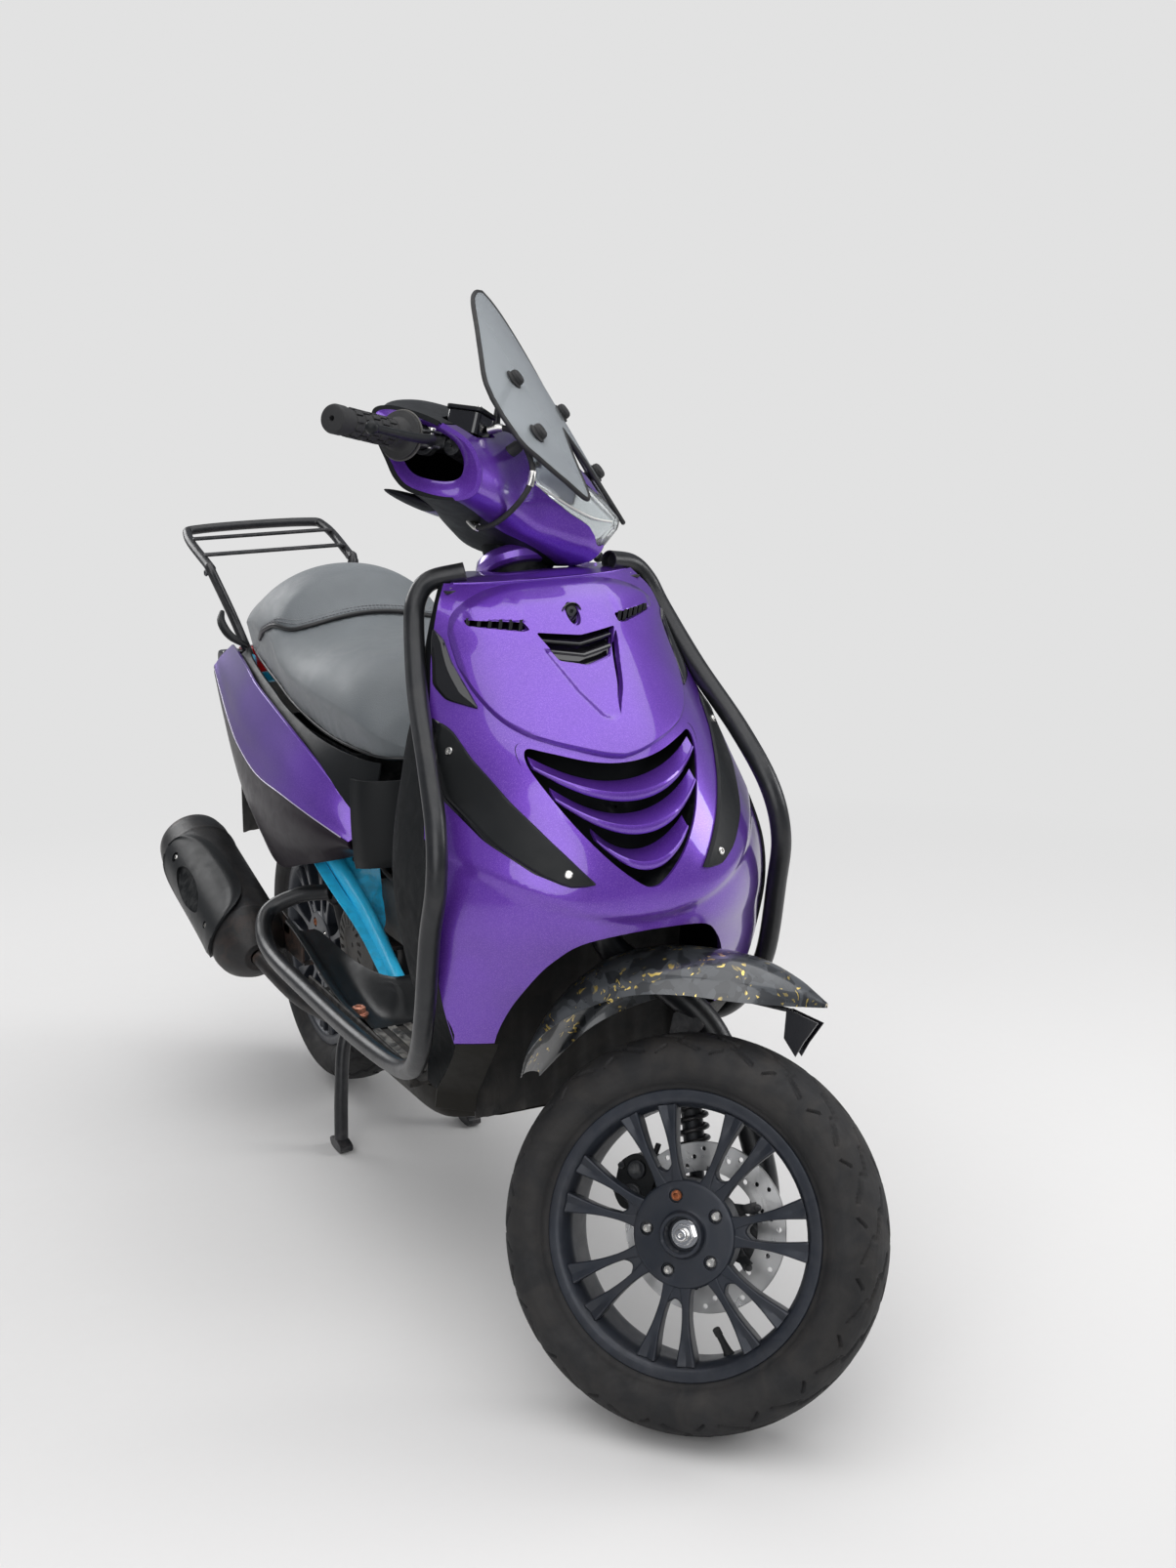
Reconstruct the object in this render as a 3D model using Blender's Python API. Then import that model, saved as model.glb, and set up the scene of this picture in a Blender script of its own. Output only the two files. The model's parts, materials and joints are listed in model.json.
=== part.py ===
"""A light motor scooter on its centre stand, with its front wheel turned to the rider's left.

Every piece is modelled with the front wheel straight ahead: X to the rider's left, Y rearward
from the front axle, Z up from the ground, in metres. The pieces are then parented to empties
that lie on the joints' axes, and the steering empty turns its pieces to where they rest.
"""

import math

import bmesh
import bpy
from mathutils import Matrix, Vector

# Chassis
WHEELBASE = 1.21
BOX_CENTRE_X = -0.019
BOX_CENTRE_Y = 0.700
CASTER = math.radians(26.5)
STEERING_GROUND_Y = -0.078
STEER_REST = math.radians(45.3)
REAR_LIFT = 0.012
SEAM = 0.0003
RUNNING_GAP = 0.0006

# Front wheel
FRONT_TYRE_RADIUS = 0.2294
TYRE_HALF_WIDTH = 0.055
TYRE_WALL = 0.008
FLANGE_RADIUS = 0.1655
FLANGE_WALL = 0.004
RIM_HALF_WIDTH = 0.0415
BEAD_SEAT_RADIUS = 0.150
RIM_WALL = 0.007
WHEEL_SEGMENTS = 28
SPOKE_PAIRS = 7
SPOKE_SPREAD = math.radians(9.5)
SPOKE_HUB_WIDTH = 0.010
SPOKE_RIM_WIDTH = 0.019
SPOKE_THICKNESS = 0.020
HUB_RADIUS = 0.062
HUB_FACE_X = -0.036
HUB_PLATE = 0.026
SLEEVE_RADIUS = 0.026
AXLE_RADIUS = 0.0085
DISC_RADIUS = 0.100
DISC_X = 0.042
DISC_THICKNESS = 0.004

# Rear wheel
REAR_TYRE_RADIUS = 0.228
DRUM_RADIUS = 0.070
DRUM_X = 0.032

# Front suspension, on the rider's left
LEG_X = 0.092
LEG_RADIUS = 0.018
PIVOT_Y = -0.062
PIVOT_Z = 0.215
ARM_X = 0.053
ARM_THICKNESS = 0.016
SHOCK_X = 0.084
SHOCK_RADIUS = 0.021

# Handlebar
BAR_RADIUS = 0.011
BAR_END = 0.335
BAR_BEND = 0.145
BAR_Y = 0.477
BAR_Z = 1.070
BAR_SWEEP = math.radians(5.7)
BAR_DROOP = math.radians(7.9)
GRIP_LENGTH = 0.125
GRIP_RADIUS = 0.017
PERCH_WIDTH = 0.014
PERCH_X = BAR_END - GRIP_LENGTH - 0.018
CLAMP_LOW_Z = 1.022
CLAMP_HIGH_Z = 1.068
COVER_HALF_WIDTH = 0.186
COVER_CENTRE_Y = 0.472
COVER_CENTRE_Z = 1.040
COVER_WALL = 0.004

# Windshield
SCREEN_MIDDLE_Y = 0.378
SCREEN_MIDDLE_Z = 1.138
SCREEN_SLOPE = 0.94
SCREEN_SWEEP = 1.84
SCREEN_WALL = 0.004
SCREEN_COLUMNS = (
    # distance across, lower edge, upper edge
    (0.000, 1.138, 1.301), (0.028, 1.098, 1.292), (0.056, 1.047, 1.272), (0.091, 1.058, 1.226),
    (0.120, 1.076, 1.182), (0.135, 1.090, 1.155), (0.140, 1.115, 1.135),
)

# Front shield
SHELL_WALL = 0.004
LEG_SIDE_Y = 0.335
SHIELD_POWER = 2.4
SHIELD_ROWS = (
    # height, face at the middle, face at the edge, half-width
    (0.955, 0.300, 0.335, 0.125),
    (0.930, 0.262, 0.315, 0.142),
    (0.880, 0.215, 0.300, 0.158),
    (0.830, 0.165, 0.275, 0.172),
    (0.780, 0.122, 0.250, 0.190),
    (0.730, 0.090, 0.225, 0.203),
    (0.680, 0.062, 0.200, 0.215),
    (0.630, 0.046, 0.180, 0.222),
    (0.580, 0.050, 0.175, 0.222),
    (0.530, 0.080, 0.180, 0.215),
    (0.480, 0.120, 0.190, 0.205),
    (0.430, 0.150, 0.200, 0.190),
)
SHIELD_COLUMNS = 12
NOSE_WALL = 0.003
PATCH_GAP = 0.0036

# Floor and lower body
FLOOR_Z = 0.330
FLOOR_WALL = 0.006
FLOOR_HALF_WIDTH = 0.196
FLOOR_FRONT_Y = 0.345
FLOOR_REAR_Y = 0.756
BELLY_Z = 0.280
BELLY_FRONT_Y = 0.285
BELLY_HALF_WIDTH = 0.178
BELLY_WALL = 0.004
SPINE_Z = 0.3035
SPINE_RADIUS = 0.0175
HEAD_RADIUS = 0.031
CROSS_TUBE_Y = 0.870
CROSS_TUBE_Z = 0.530
CROSS_TUBE_RADIUS = 0.011
COLLAR_RADIUS = 0.029

# Crash bars and rack
CRASH_BAR_RADIUS = 0.0125
RACK_TUBE_RADIUS = 0.008
RACK_HALF_WIDTH = 0.125
RACK_FRONT_Y = 1.405
RACK_FRONT_Z = 0.868
RACK_REAR_Y = 1.576
RACK_REAR_Z = 0.920
RACK_STRAP_WIDTH = 0.030
RACK_STRAP_WALL = 0.004

# Seat and rear body
BUCKET_HALF_WIDTH = 0.110
BUCKET_FRONT_Y = 0.745
BUCKET_REAR_Y = 1.100
BUCKET_FLOOR_Z = 0.560
BUCKET_RIM_Z = 0.668
BUCKET_WALL = 0.003
PANEL_WALL = 0.004

# Engine
ENGINE_HALF_WIDTH = 0.060
ENGINE_FRONT_Y = 0.800
ENGINE_REAR_Y = 0.962
ENGINE_LOW_Z = 0.262
ENGINE_HIGH_Z = 0.430
CASE_X = 0.072
CASE_THICKNESS = 0.080
CASE_FRONT_Y = 0.900
CASE_FRONT_Z = 0.320
CASE_FRONT_RADIUS = 0.085
CASE_REAR_RADIUS = 0.060
CASE_REAR_RISE = 0.025
MUFFLER_X = -0.190
MUFFLER_RADIUS = 0.062
MUFFLER_WALL = 0.003
MUFFLER_FRONT = (1.030, 0.300)
MUFFLER_REAR = (1.420, 0.400)
GUARD_WALL = 0.004

# Centre stand
STAND_PIVOT_Y = 0.955
STAND_PIVOT_Z = 0.235
STAND_FOOT_Y = 0.925
STAND_FOOT_X = 0.108
STAND_TUBE_RADIUS = 0.011
STAND_SLEEVE = 0.050
STAND_LUG = 0.009
STAND_PIN_RADIUS = 0.007

REAR_AXLE_Z = REAR_TYRE_RADIUS + REAR_LIFT
STEERING_AXIS = Vector((0, math.sin(CASTER), math.cos(CASTER)))
STEERING_POINT = Vector((0, STEERING_GROUND_Y, 0))
STEERING_TURN = (
    Matrix.Translation(STEERING_POINT)
    @ Matrix.Rotation(STEER_REST, 4, STEERING_AXIS)
    @ Matrix.Translation(-STEERING_POINT)
)


def remove_all_objects():
    for obj in list(bpy.data.objects):
        bpy.data.objects.remove(obj)


def material(name, colour, roughness, metallic=0.0):
    made = bpy.data.materials.new(name)
    made.use_nodes = True
    shader = made.node_tree.nodes["Principled BSDF"]
    shader.inputs["Base Color"].default_value = (*colour, 1.0)
    shader.inputs["Roughness"].default_value = roughness
    shader.inputs["Metallic"].default_value = metallic
    return made


def solid(name, shape):
    """One object from a shape's vertices and faces, with its faces pointing out."""
    verts, faces = shape
    mesh = bpy.data.meshes.new(name)
    mesh.from_pydata([tuple(vert) for vert in verts], [], faces)
    work = bmesh.new()
    work.from_mesh(mesh)
    bmesh.ops.recalc_face_normals(work, faces=work.faces)
    work.to_mesh(mesh)
    work.free()
    obj = bpy.data.objects.new(name, mesh)
    bpy.context.scene.collection.objects.link(obj)
    return obj


def combine(target, tool, operation):
    """Applies one exact Boolean to the target and removes the tool."""
    modifier = target.modifiers.new(operation, "BOOLEAN")
    modifier.operation = operation
    modifier.solver = "EXACT"
    modifier.object = tool
    depsgraph = bpy.context.evaluated_depsgraph_get()
    result = bpy.data.meshes.new_from_object(target.evaluated_get(depsgraph))
    target.modifiers.clear()
    before = target.data
    target.data = result
    bpy.data.meshes.remove(before)
    bpy.data.objects.remove(tool)


def union(name, *shapes):
    """One object of several shapes that overlap."""
    whole = solid(name, shapes[0])
    for shape in shapes[1:]:
        combine(whole, solid("joined", shape), "UNION")
    return whole


def cut(target, *shapes):
    for shape in shapes:
        combine(target, solid("cutter", shape), "DIFFERENCE")
    return target


def clear_of(target, neighbour, gap=SEAM):
    """Cuts from the target the room that its neighbour takes, with a gap all round."""
    grown = bmesh.new()
    grown.from_mesh(neighbour.data)
    grown.normal_update()
    moves = [vert.normal * gap * vert.calc_shell_factor() for vert in grown.verts]
    for vert, move in zip(grown.verts, moves):
        vert.co += move
    mesh = bpy.data.meshes.new("room")
    grown.to_mesh(mesh)
    grown.free()
    tool = bpy.data.objects.new("room", mesh)
    bpy.context.scene.collection.objects.link(tool)
    combine(target, tool, "DIFFERENCE")


def box(low, high):
    verts = [(x, y, z) for x in (low[0], high[0]) for y in (low[1], high[1]) for z in (low[2], high[2])]
    faces = [(0, 1, 3, 2), (4, 6, 7, 5), (0, 4, 5, 1), (2, 3, 7, 6), (0, 2, 6, 4), (1, 5, 7, 3)]
    return verts, faces


def prism(outline, axis, low, high):
    """An outline of two coordinates, in the order of the other two axes, extruded along one axis."""
    def at(point, height):
        values = list(point)
        values.insert("XYZ".index(axis), height)
        return tuple(values)

    count = len(outline)
    verts = [at(point, low) for point in outline] + [at(point, high) for point in outline]
    faces = [tuple(range(count)), tuple(range(count, 2 * count))]
    faces += [(i, (i + 1) % count, (i + 1) % count + count, i + count) for i in range(count)]
    return verts, faces


def frame_along(direction):
    direction = direction.normalized()
    helper = Vector((1, 0, 0)) if abs(direction.x) < 0.9 else Vector((0, 0, 1))
    side = direction.cross(helper).normalized()
    return side, direction.cross(side).normalized()


def ring(centre, side, up, radius, sides):
    step = 2 * math.pi / sides
    return [
        centre + (side * math.cos(i * step) + up * math.sin(i * step)) * radius for i in range(sides)
    ]


def bridge(rings, closed):
    """Quads between rings of equal count, with flat ends unless the rings close on themselves."""
    count = len(rings[0])
    verts = [vert for loop in rings for vert in loop]
    faces = []
    spans = len(rings) if closed else len(rings) - 1
    for row in range(spans):
        near = row * count
        far = (row + 1) % len(rings) * count
        for i in range(count):
            j = (i + 1) % count
            faces.append((near + i, near + j, far + j, far + i))
    if not closed:
        faces.append(tuple(range(count)))
        faces.append(tuple(range(len(verts) - count, len(verts))))
    return verts, faces


def tube(points, radius, sides=8):
    """A round bar through the points, with its section carried along without twist."""
    points = [Vector(point) for point in points]
    radii = radius if isinstance(radius, (list, tuple)) else [radius] * len(points)
    side, up = frame_along(points[1] - points[0])
    rings = []
    for i, point in enumerate(points):
        ahead = points[min(i + 1, len(points) - 1)] - point
        behind = point - points[max(i - 1, 0)]
        direction = (ahead.normalized() + behind.normalized()).normalized()
        up = direction.cross(side).normalized()
        side = up.cross(direction).normalized()
        rings.append(ring(point, side, up, radii[i], sides))
    return bridge(rings, closed=False)


def smooth(points, steps=4):
    """Points on a Catmull-Rom curve through the given ones."""
    points = [Vector(point) for point in points]
    ends = [points[0] * 2 - points[1], *points, points[-1] * 2 - points[-2]]
    curve = []
    for i in range(1, len(ends) - 2):
        a, b, c, d = ends[i - 1 : i + 3]
        for k in range(steps):
            t = k / steps
            curve.append(
                0.5 * (2 * b + (c - a) * t + (2 * a - 5 * b + 4 * c - d) * t**2
                       + (3 * b - a - 3 * c + d) * t**3)
            )
    curve.append(points[-1])
    return curve


def turned(profile, centre, direction=(1, 0, 0), sides=24, start=0.0):
    """A closed profile of (distance along, radius) turned about an axis through the centre."""
    centre = Vector(centre)
    direction = Vector(direction).normalized()
    side, up = frame_along(direction)
    rings = []
    for i in range(sides):
        angle = start + 2 * math.pi * i / sides
        out = side * math.cos(angle) + up * math.sin(angle)
        rings.append([centre + direction * along + out * radius for along, radius in profile])
    return bridge(rings, closed=True)


def rod(start, end, radius, sides=12):
    return tube([start, end], radius, sides)


def sheet(front, back):
    """A closed shell between two grids of points of the same size."""
    rows = len(front)
    columns = len(front[0])
    verts = [vert for row in front for vert in row] + [vert for row in back for vert in row]
    half = rows * columns
    faces = []
    for i in range(rows - 1):
        for j in range(columns - 1):
            a = i * columns + j
            faces.append((a, a + 1, a + 1 + columns, a + columns))
            faces.append((a + half, a + columns + half, a + 1 + columns + half, a + 1 + half))
    edge = [(0, j) for j in range(columns)]
    edge += [(i, columns - 1) for i in range(1, rows)]
    edge += [(rows - 1, j) for j in range(columns - 2, -1, -1)]
    edge += [(i, 0) for i in range(rows - 2, 0, -1)]
    loop = [i * columns + j for i, j in edge]
    for a, b in zip(loop, loop[1:] + loop[:1]):
        faces.append((a, b, b + half, a + half))
    return verts, faces


def between(rows, key):
    """The row at a key, read off a table whose first column falls or rises steadily."""
    rows = sorted(rows)
    if key <= rows[0][0]:
        return rows[0][1:]
    for low, high in zip(rows, rows[1:]):
        if key <= high[0]:
            share = (key - low[0]) / (high[0] - low[0])
            return tuple(a + (b - a) * share for a, b in zip(low[1:], high[1:]))
    return rows[-1][1:]


def on_steering_axis(height):
    return STEERING_POINT + STEERING_AXIS * (height / STEERING_AXIS.z)


def tyre_profile(radius):
    """The tyre's closed section as (distance along the axle, radius), open towards the rim."""
    bead = RIM_HALF_WIDTH - FLANGE_WALL - SEAM
    foot = BEAD_SEAT_RADIUS + SEAM
    over = FLANGE_RADIUS + SEAM
    outer = (
        (bead, over),
        (TYRE_HALF_WIDTH, radius - 0.034),
        (TYRE_HALF_WIDTH * 0.90, radius - 0.015),
        (TYRE_HALF_WIDTH * 0.55, radius - 0.004),
        (TYRE_HALF_WIDTH * 0.22, radius),
    )
    inner = (
        (TYRE_HALF_WIDTH - TYRE_WALL, radius - 0.034),
        (TYRE_HALF_WIDTH * 0.6 - TYRE_WALL, radius - TYRE_WALL - 0.005),
    )
    right = [(bead, foot), *outer]
    left = [(-x, r) for x, r in reversed(right)]
    hollow = [(-bead + TYRE_WALL, foot)] + [(-x, r) for x, r in inner]
    return right + left + hollow + [(-x, r) for x, r in reversed(hollow)]


def front_axle_height():
    """The axle's height, straight ahead, that lets the turned tyre just touch the ground."""
    lowest = 0.0
    height = FRONT_TYRE_RADIUS
    for _ in range(4):
        shape = turned(tyre_profile(FRONT_TYRE_RADIUS), (0, 0, height), sides=WHEEL_SEGMENTS)
        lowest = min((STEERING_TURN @ vert).z for vert in shape[0])
        height -= lowest
    return height


FRONT_AXLE_Z = front_axle_height()
FRONT_AXLE = Vector((0, 0, FRONT_AXLE_Z))
REAR_AXLE = Vector((0, WHEELBASE, REAR_AXLE_Z))


def rim(name, axle, hub_end):
    """A cast wheel: the barrel, the hub and seven pairs of spokes that flare to the rim."""
    flange = (RIM_HALF_WIDTH, FLANGE_RADIUS)
    seat = (RIM_HALF_WIDTH - FLANGE_WALL, BEAD_SEAT_RADIUS)
    right = [
        (-seat[0], seat[1]),
        (-seat[0], flange[1]),
        (-flange[0], flange[1]),
        (-flange[0], seat[1] - 0.001),
        (-flange[0] + 0.014, seat[1] - RIM_WALL),
    ]
    profile = right + [(-x, r) for x, r in reversed(right)]
    hub = [
        (HUB_FACE_X, AXLE_RADIUS + SEAM),
        (hub_end, AXLE_RADIUS + SEAM),
        (hub_end, SLEEVE_RADIUS),
        (HUB_FACE_X + HUB_PLATE, SLEEVE_RADIUS),
        (HUB_FACE_X + HUB_PLATE, HUB_RADIUS),
        (HUB_FACE_X + 0.005, HUB_RADIUS),
        (HUB_FACE_X, HUB_RADIUS * 0.75),
    ]
    shapes = [
        turned(profile, axle, sides=WHEEL_SEGMENTS),
        turned(hub, axle, sides=WHEEL_SEGMENTS),
    ]
    spoke_x = HUB_FACE_X + 0.004
    for pair in range(SPOKE_PAIRS):
        for hand in (-1, 1):
            angle = 2 * math.pi * pair / SPOKE_PAIRS + hand * SPOKE_SPREAD
            shapes.append(spoke(axle, angle, spoke_x, BEAD_SEAT_RADIUS - RIM_WALL / 2))
    return union(name, *shapes)


def spoke(axle, angle, face_x, end_radius):
    out = Vector((0, math.cos(angle), math.sin(angle)))
    side = Vector((0, -math.sin(angle), math.cos(angle)))
    start_radius = HUB_RADIUS - 0.006
    rings = []
    for radius, width in ((start_radius, SPOKE_HUB_WIDTH), (end_radius, SPOKE_RIM_WIDTH)):
        centre = axle + out * radius
        rings.append([
            centre + side * (width / 2) + Vector((face_x, 0, 0)),
            centre + side * (width / 2) + Vector((face_x + SPOKE_THICKNESS, 0, 0)),
            centre - side * (width / 2) + Vector((face_x + SPOKE_THICKNESS, 0, 0)),
            centre - side * (width / 2) + Vector((face_x, 0, 0)),
        ])
    return bridge(rings, closed=False)


def front_wheel():
    disc = [
        (DISC_X, AXLE_RADIUS + SEAM),
        (DISC_X, DISC_RADIUS),
        (DISC_X + DISC_THICKNESS, DISC_RADIUS),
        (DISC_X + DISC_THICKNESS, AXLE_RADIUS + SEAM),
    ]
    return {
        "front_rim": rim("front_rim", FRONT_AXLE, DISC_X - SEAM),
        "front_tyre": solid(
            "front_tyre", turned(tyre_profile(FRONT_TYRE_RADIUS), FRONT_AXLE, sides=WHEEL_SEGMENTS)
        ),
        "front_disc": solid("front_disc", turned(disc, FRONT_AXLE, sides=32)),
    }


def rear_wheel():
    return {
        "rear_rim": rim("rear_rim", REAR_AXLE, DRUM_X - RUNNING_GAP),
        "rear_tyre": solid(
            "rear_tyre", turned(tyre_profile(REAR_TYRE_RADIUS), REAR_AXLE, sides=WHEEL_SEGMENTS)
        ),
    }


def steering_stem():
    """The turning tube with its single leg, which passes the tyre on the rider's left."""
    top_z = CLAMP_LOW_Z - SEAM - LEG_RADIUS * STEERING_AXIS.y
    bend_z = 0.560
    route = smooth([
        on_steering_axis(bend_z),
        (0.022, 0.176, 0.520),
        (LEG_X * 0.75, 0.120, 0.492),
        (LEG_X, 0.060, 0.452),
        (LEG_X, 0.000, 0.375),
        (LEG_X, -0.045, 0.290),
        (LEG_X, PIVOT_Y, PIVOT_Z),
    ], 3)
    upper = tube([on_steering_axis(top_z), *route], LEG_RADIUS, 12)
    pivot_boss = rod(
        (ARM_X + ARM_THICKNESS + SEAM, PIVOT_Y, PIVOT_Z),
        (LEG_X + LEG_RADIUS, PIVOT_Y, PIVOT_Z), 0.021, 16,
    )
    shock_lug = box((SHOCK_X - 0.010, 0.075, 0.428), (SHOCK_X + 0.010, 0.103, 0.462))
    collar = rod(on_steering_axis(0.902), on_steering_axis(0.975), COLLAR_RADIUS, 16)
    return union("steering_stem", upper, pivot_boss, shock_lug, collar)


def suspension_arm():
    """The trailing arm that carries the axle, with the axle itself and its nut."""
    low = ARM_X
    high = ARM_X + ARM_THICKNESS
    outline = [
        (PIVOT_Y - 0.022, PIVOT_Z),
        (PIVOT_Y, PIVOT_Z + 0.022),
        (0.012, FRONT_AXLE_Z + 0.050),
        (0.045, FRONT_AXLE_Z + 0.050),
        (0.075, FRONT_AXLE_Z + 0.020),
        (0.075, FRONT_AXLE_Z - 0.025),
        (0.000, FRONT_AXLE_Z - 0.026),
        (PIVOT_Y, PIVOT_Z - 0.022),
    ]
    plate = prism(outline, "X", low, high)
    axle = rod((HUB_FACE_X - 0.012, 0, FRONT_AXLE_Z), (high, 0, FRONT_AXLE_Z), AXLE_RADIUS, 16)
    nut = rod(
        (HUB_FACE_X - 0.010, 0, FRONT_AXLE_Z), (HUB_FACE_X - RUNNING_GAP, 0, FRONT_AXLE_Z), 0.014, 6
    )
    boss = rod((DISC_X + DISC_THICKNESS + RUNNING_GAP, 0, FRONT_AXLE_Z), (low + 0.004, 0, FRONT_AXLE_Z),
               0.022, 16)
    seat = rod((high - 0.004, 0.028, FRONT_AXLE_Z + 0.034), (SHOCK_X + 0.012, 0.028, FRONT_AXLE_Z + 0.034),
               0.010, 12)
    return union("suspension_arm", plate, axle, nut, boss, seat)


def front_shock(neighbours):
    """The spring and damper unit, as one turned body between the arm and the leg's lug."""
    low = Vector((SHOCK_X, 0.031, FRONT_AXLE_Z + 0.038))
    high = Vector((SHOCK_X, 0.086, 0.436))
    length = (high - low).length
    profile = [
        (0.0, 0.002),
        (0.0, 0.009),
        (length * 0.18, 0.009),
        (length * 0.20, SHOCK_RADIUS),
        (length * 0.84, SHOCK_RADIUS),
        (length * 0.86, 0.009),
        (length, 0.009),
        (length, 0.002),
    ]
    shock = solid("front_shock", turned(profile, low, high - low, 14))
    fit(shock, *neighbours)
    return shock


def caliper(arm):
    """The brake caliper behind the axle, bolted to the arm and straddling the disc."""
    angle = math.radians(20)
    centre = FRONT_AXLE + Vector((0, math.cos(angle), math.sin(angle))) * (DISC_RADIUS - 0.004)
    left_x = DISC_X + DISC_THICKNESS + 0.0015
    right_x = DISC_X - 0.0015
    whole = union(
        "caliper",
        box((right_x - 0.016, centre.y - 0.018, centre.z - 0.034),
            (ARM_X + ARM_THICKNESS, centre.y + 0.022, centre.z + 0.030)),
        box((ARM_X, 0.0753, FRONT_AXLE_Z - 0.020),
            (ARM_X + ARM_THICKNESS, centre.y, FRONT_AXLE_Z + 0.018)),
    )
    slot = [
        (right_x, SLEEVE_RADIUS),
        (right_x, DISC_RADIUS + 0.003),
        (left_x, DISC_RADIUS + 0.003),
        (left_x, SLEEVE_RADIUS),
    ]
    cut(whole, turned(slot, FRONT_AXLE, sides=32))
    clear_of(whole, arm)
    return whole


FENDER_ROWS = (
    # distance back, top, lower edge, half-width
    (-0.100, 0.520, 0.514, 0.006),
    (-0.060, 0.540, 0.507, 0.034),
    (-0.010, 0.553, 0.500, 0.056),
    (0.050, 0.552, 0.494, 0.067),
    (0.110, 0.541, 0.480, 0.072),
    (0.165, 0.515, 0.450, 0.073),
    (0.205, 0.468, 0.415, 0.068),
    (0.228, 0.415, 0.380, 0.055),
    (0.240, 0.360, 0.350, 0.030),
)
FENDER_WALL = 0.003


def front_fender():
    """A domed shell over the tyre, pointed in front and tapering to a tail behind."""
    across = 8
    outer = []
    inner = []
    for back, top, low, half in FENDER_ROWS:
        outer_row = []
        inner_row = []
        for i in range(across + 1):
            angle = math.pi * i / across
            x = -math.cos(angle)
            rise = math.sin(angle) ** 0.7
            outer_row.append((x * half, back, low + (top - low) * rise))
            inner_row.append(
                (x * (half - FENDER_WALL), back, low + (top - low - FENDER_WALL) * rise)
            )
        outer.append(outer_row)
        inner.append(inner_row)
    shell = solid("front_fender", sheet(outer, inner))
    return shell


def along_bar(hand):
    """Turns a piece made on a straight bar, outside its bend, to the way the bar really runs there."""
    pivot = Vector((hand * BAR_BEND, BAR_Y, BAR_Z))
    turn = Matrix.Rotation(hand * BAR_SWEEP, 4, "Z") @ Matrix.Rotation(hand * BAR_DROOP, 4, "Y")
    return Matrix.Translation(pivot) @ turn @ Matrix.Translation(-pivot)


def handlebar_tube():
    route = [
        along_bar(-1) @ Vector((-BAR_END, BAR_Y, BAR_Z)), (-BAR_BEND, BAR_Y, BAR_Z),
        (-0.085, 0.462, 1.078), (-0.035, 0.449, 1.050), (0.035, 0.449, 1.050), (0.085, 0.462, 1.078),
        (BAR_BEND, BAR_Y, BAR_Z), along_bar(1) @ Vector((BAR_END, BAR_Y, BAR_Z)),
    ]
    bar = tube(route, BAR_RADIUS, 12)
    clamp = box((-0.026, 0.415, CLAMP_LOW_Z), (0.026, 0.475, CLAMP_HIGH_Z))
    return union("handlebar_tube", bar, clamp)


def grip(name, hand):
    inner = BAR_END - GRIP_LENGTH
    end = BAR_END + 0.010
    profile = [
        (inner, BAR_RADIUS + SEAM),
        (inner, GRIP_RADIUS * 1.7),
        (inner + 0.004, GRIP_RADIUS * 1.7),
        (inner + 0.012, GRIP_RADIUS),
        (end, GRIP_RADIUS),
        (end, 0.003),
        (BAR_END + SEAM, 0.003),
        (BAR_END + SEAM, BAR_RADIUS + SEAM),
    ]
    made = solid(name, turned([(x * hand, r) for x, r in profile], (0, BAR_Y, BAR_Z), sides=16))
    made.data.transform(along_bar(hand))
    return made


def lever(name, hand):
    """A brake lever with its ball end and the perch that clamps round the bar."""
    perch = turned(
        [(PERCH_X * hand, BAR_RADIUS + SEAM), ((PERCH_X + PERCH_WIDTH) * hand, BAR_RADIUS + SEAM),
         ((PERCH_X + PERCH_WIDTH) * hand, 0.018), (PERCH_X * hand, 0.018)],
        (0, BAR_Y, BAR_Z), sides=16,
    )
    front = BAR_Y - 0.053
    low = BAR_Z - 0.005
    blade = tube(
        [((PERCH_X + 0.007) * hand, BAR_Y - 0.012, BAR_Z), ((PERCH_X + 0.010) * hand, BAR_Y - 0.040, BAR_Z),
         ((PERCH_X + 0.050) * hand, front + 0.003, low + 0.002), ((PERCH_X + 0.120) * hand, front, low),
         ((PERCH_X + 0.150) * hand, front, low)],
        [0.007, 0.007, 0.006, 0.005, 0.005], 8,
    )
    ball = tube(
        [((PERCH_X + 0.150 + step) * hand, front, low) for step in (-0.008, -0.003, 0.004, 0.008)],
        [0.003, 0.008, 0.008, 0.003], 8,
    )
    made = union(name, perch, blade, ball)
    made.data.transform(along_bar(hand))
    return made


RESERVOIR_X = -0.128


def brake_reservoir():
    """The front brake's master cylinder with its square reservoir, which stands through the cover."""
    clamp = turned(
        [(RESERVOIR_X - 0.036, BAR_RADIUS + SEAM), (RESERVOIR_X - 0.022, BAR_RADIUS + SEAM),
         (RESERVOIR_X - 0.022, 0.017), (RESERVOIR_X - 0.036, 0.017)],
        (0, BAR_Y, BAR_Z), sides=16,
    )
    clamp_piece = solid("clamp", clamp)
    clamp_piece.data.transform(along_bar(-1))
    cylinder = box((RESERVOIR_X - 0.034, 0.428, 1.054), (RESERVOIR_X + 0.020, 0.453, 1.077))
    neck = box((RESERVOIR_X - 0.012, 0.430, 1.070), (RESERVOIR_X + 0.012, 0.452, 1.090))
    lug = box((RESERVOIR_X - 0.034, 0.450, 1.062), (RESERVOIR_X - 0.024, 0.4655, 1.076))
    tank = box((RESERVOIR_X - 0.022, 0.418, 1.087), (RESERVOIR_X + 0.022, 0.464, 1.116))
    lid = box((RESERVOIR_X - 0.024, 0.416, 1.114), (RESERVOIR_X + 0.024, 0.466, 1.120))
    whole = union("brake_reservoir", cylinder, lug, neck, tank, lid)
    combine(whole, clamp_piece, "UNION")
    return whole


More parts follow.
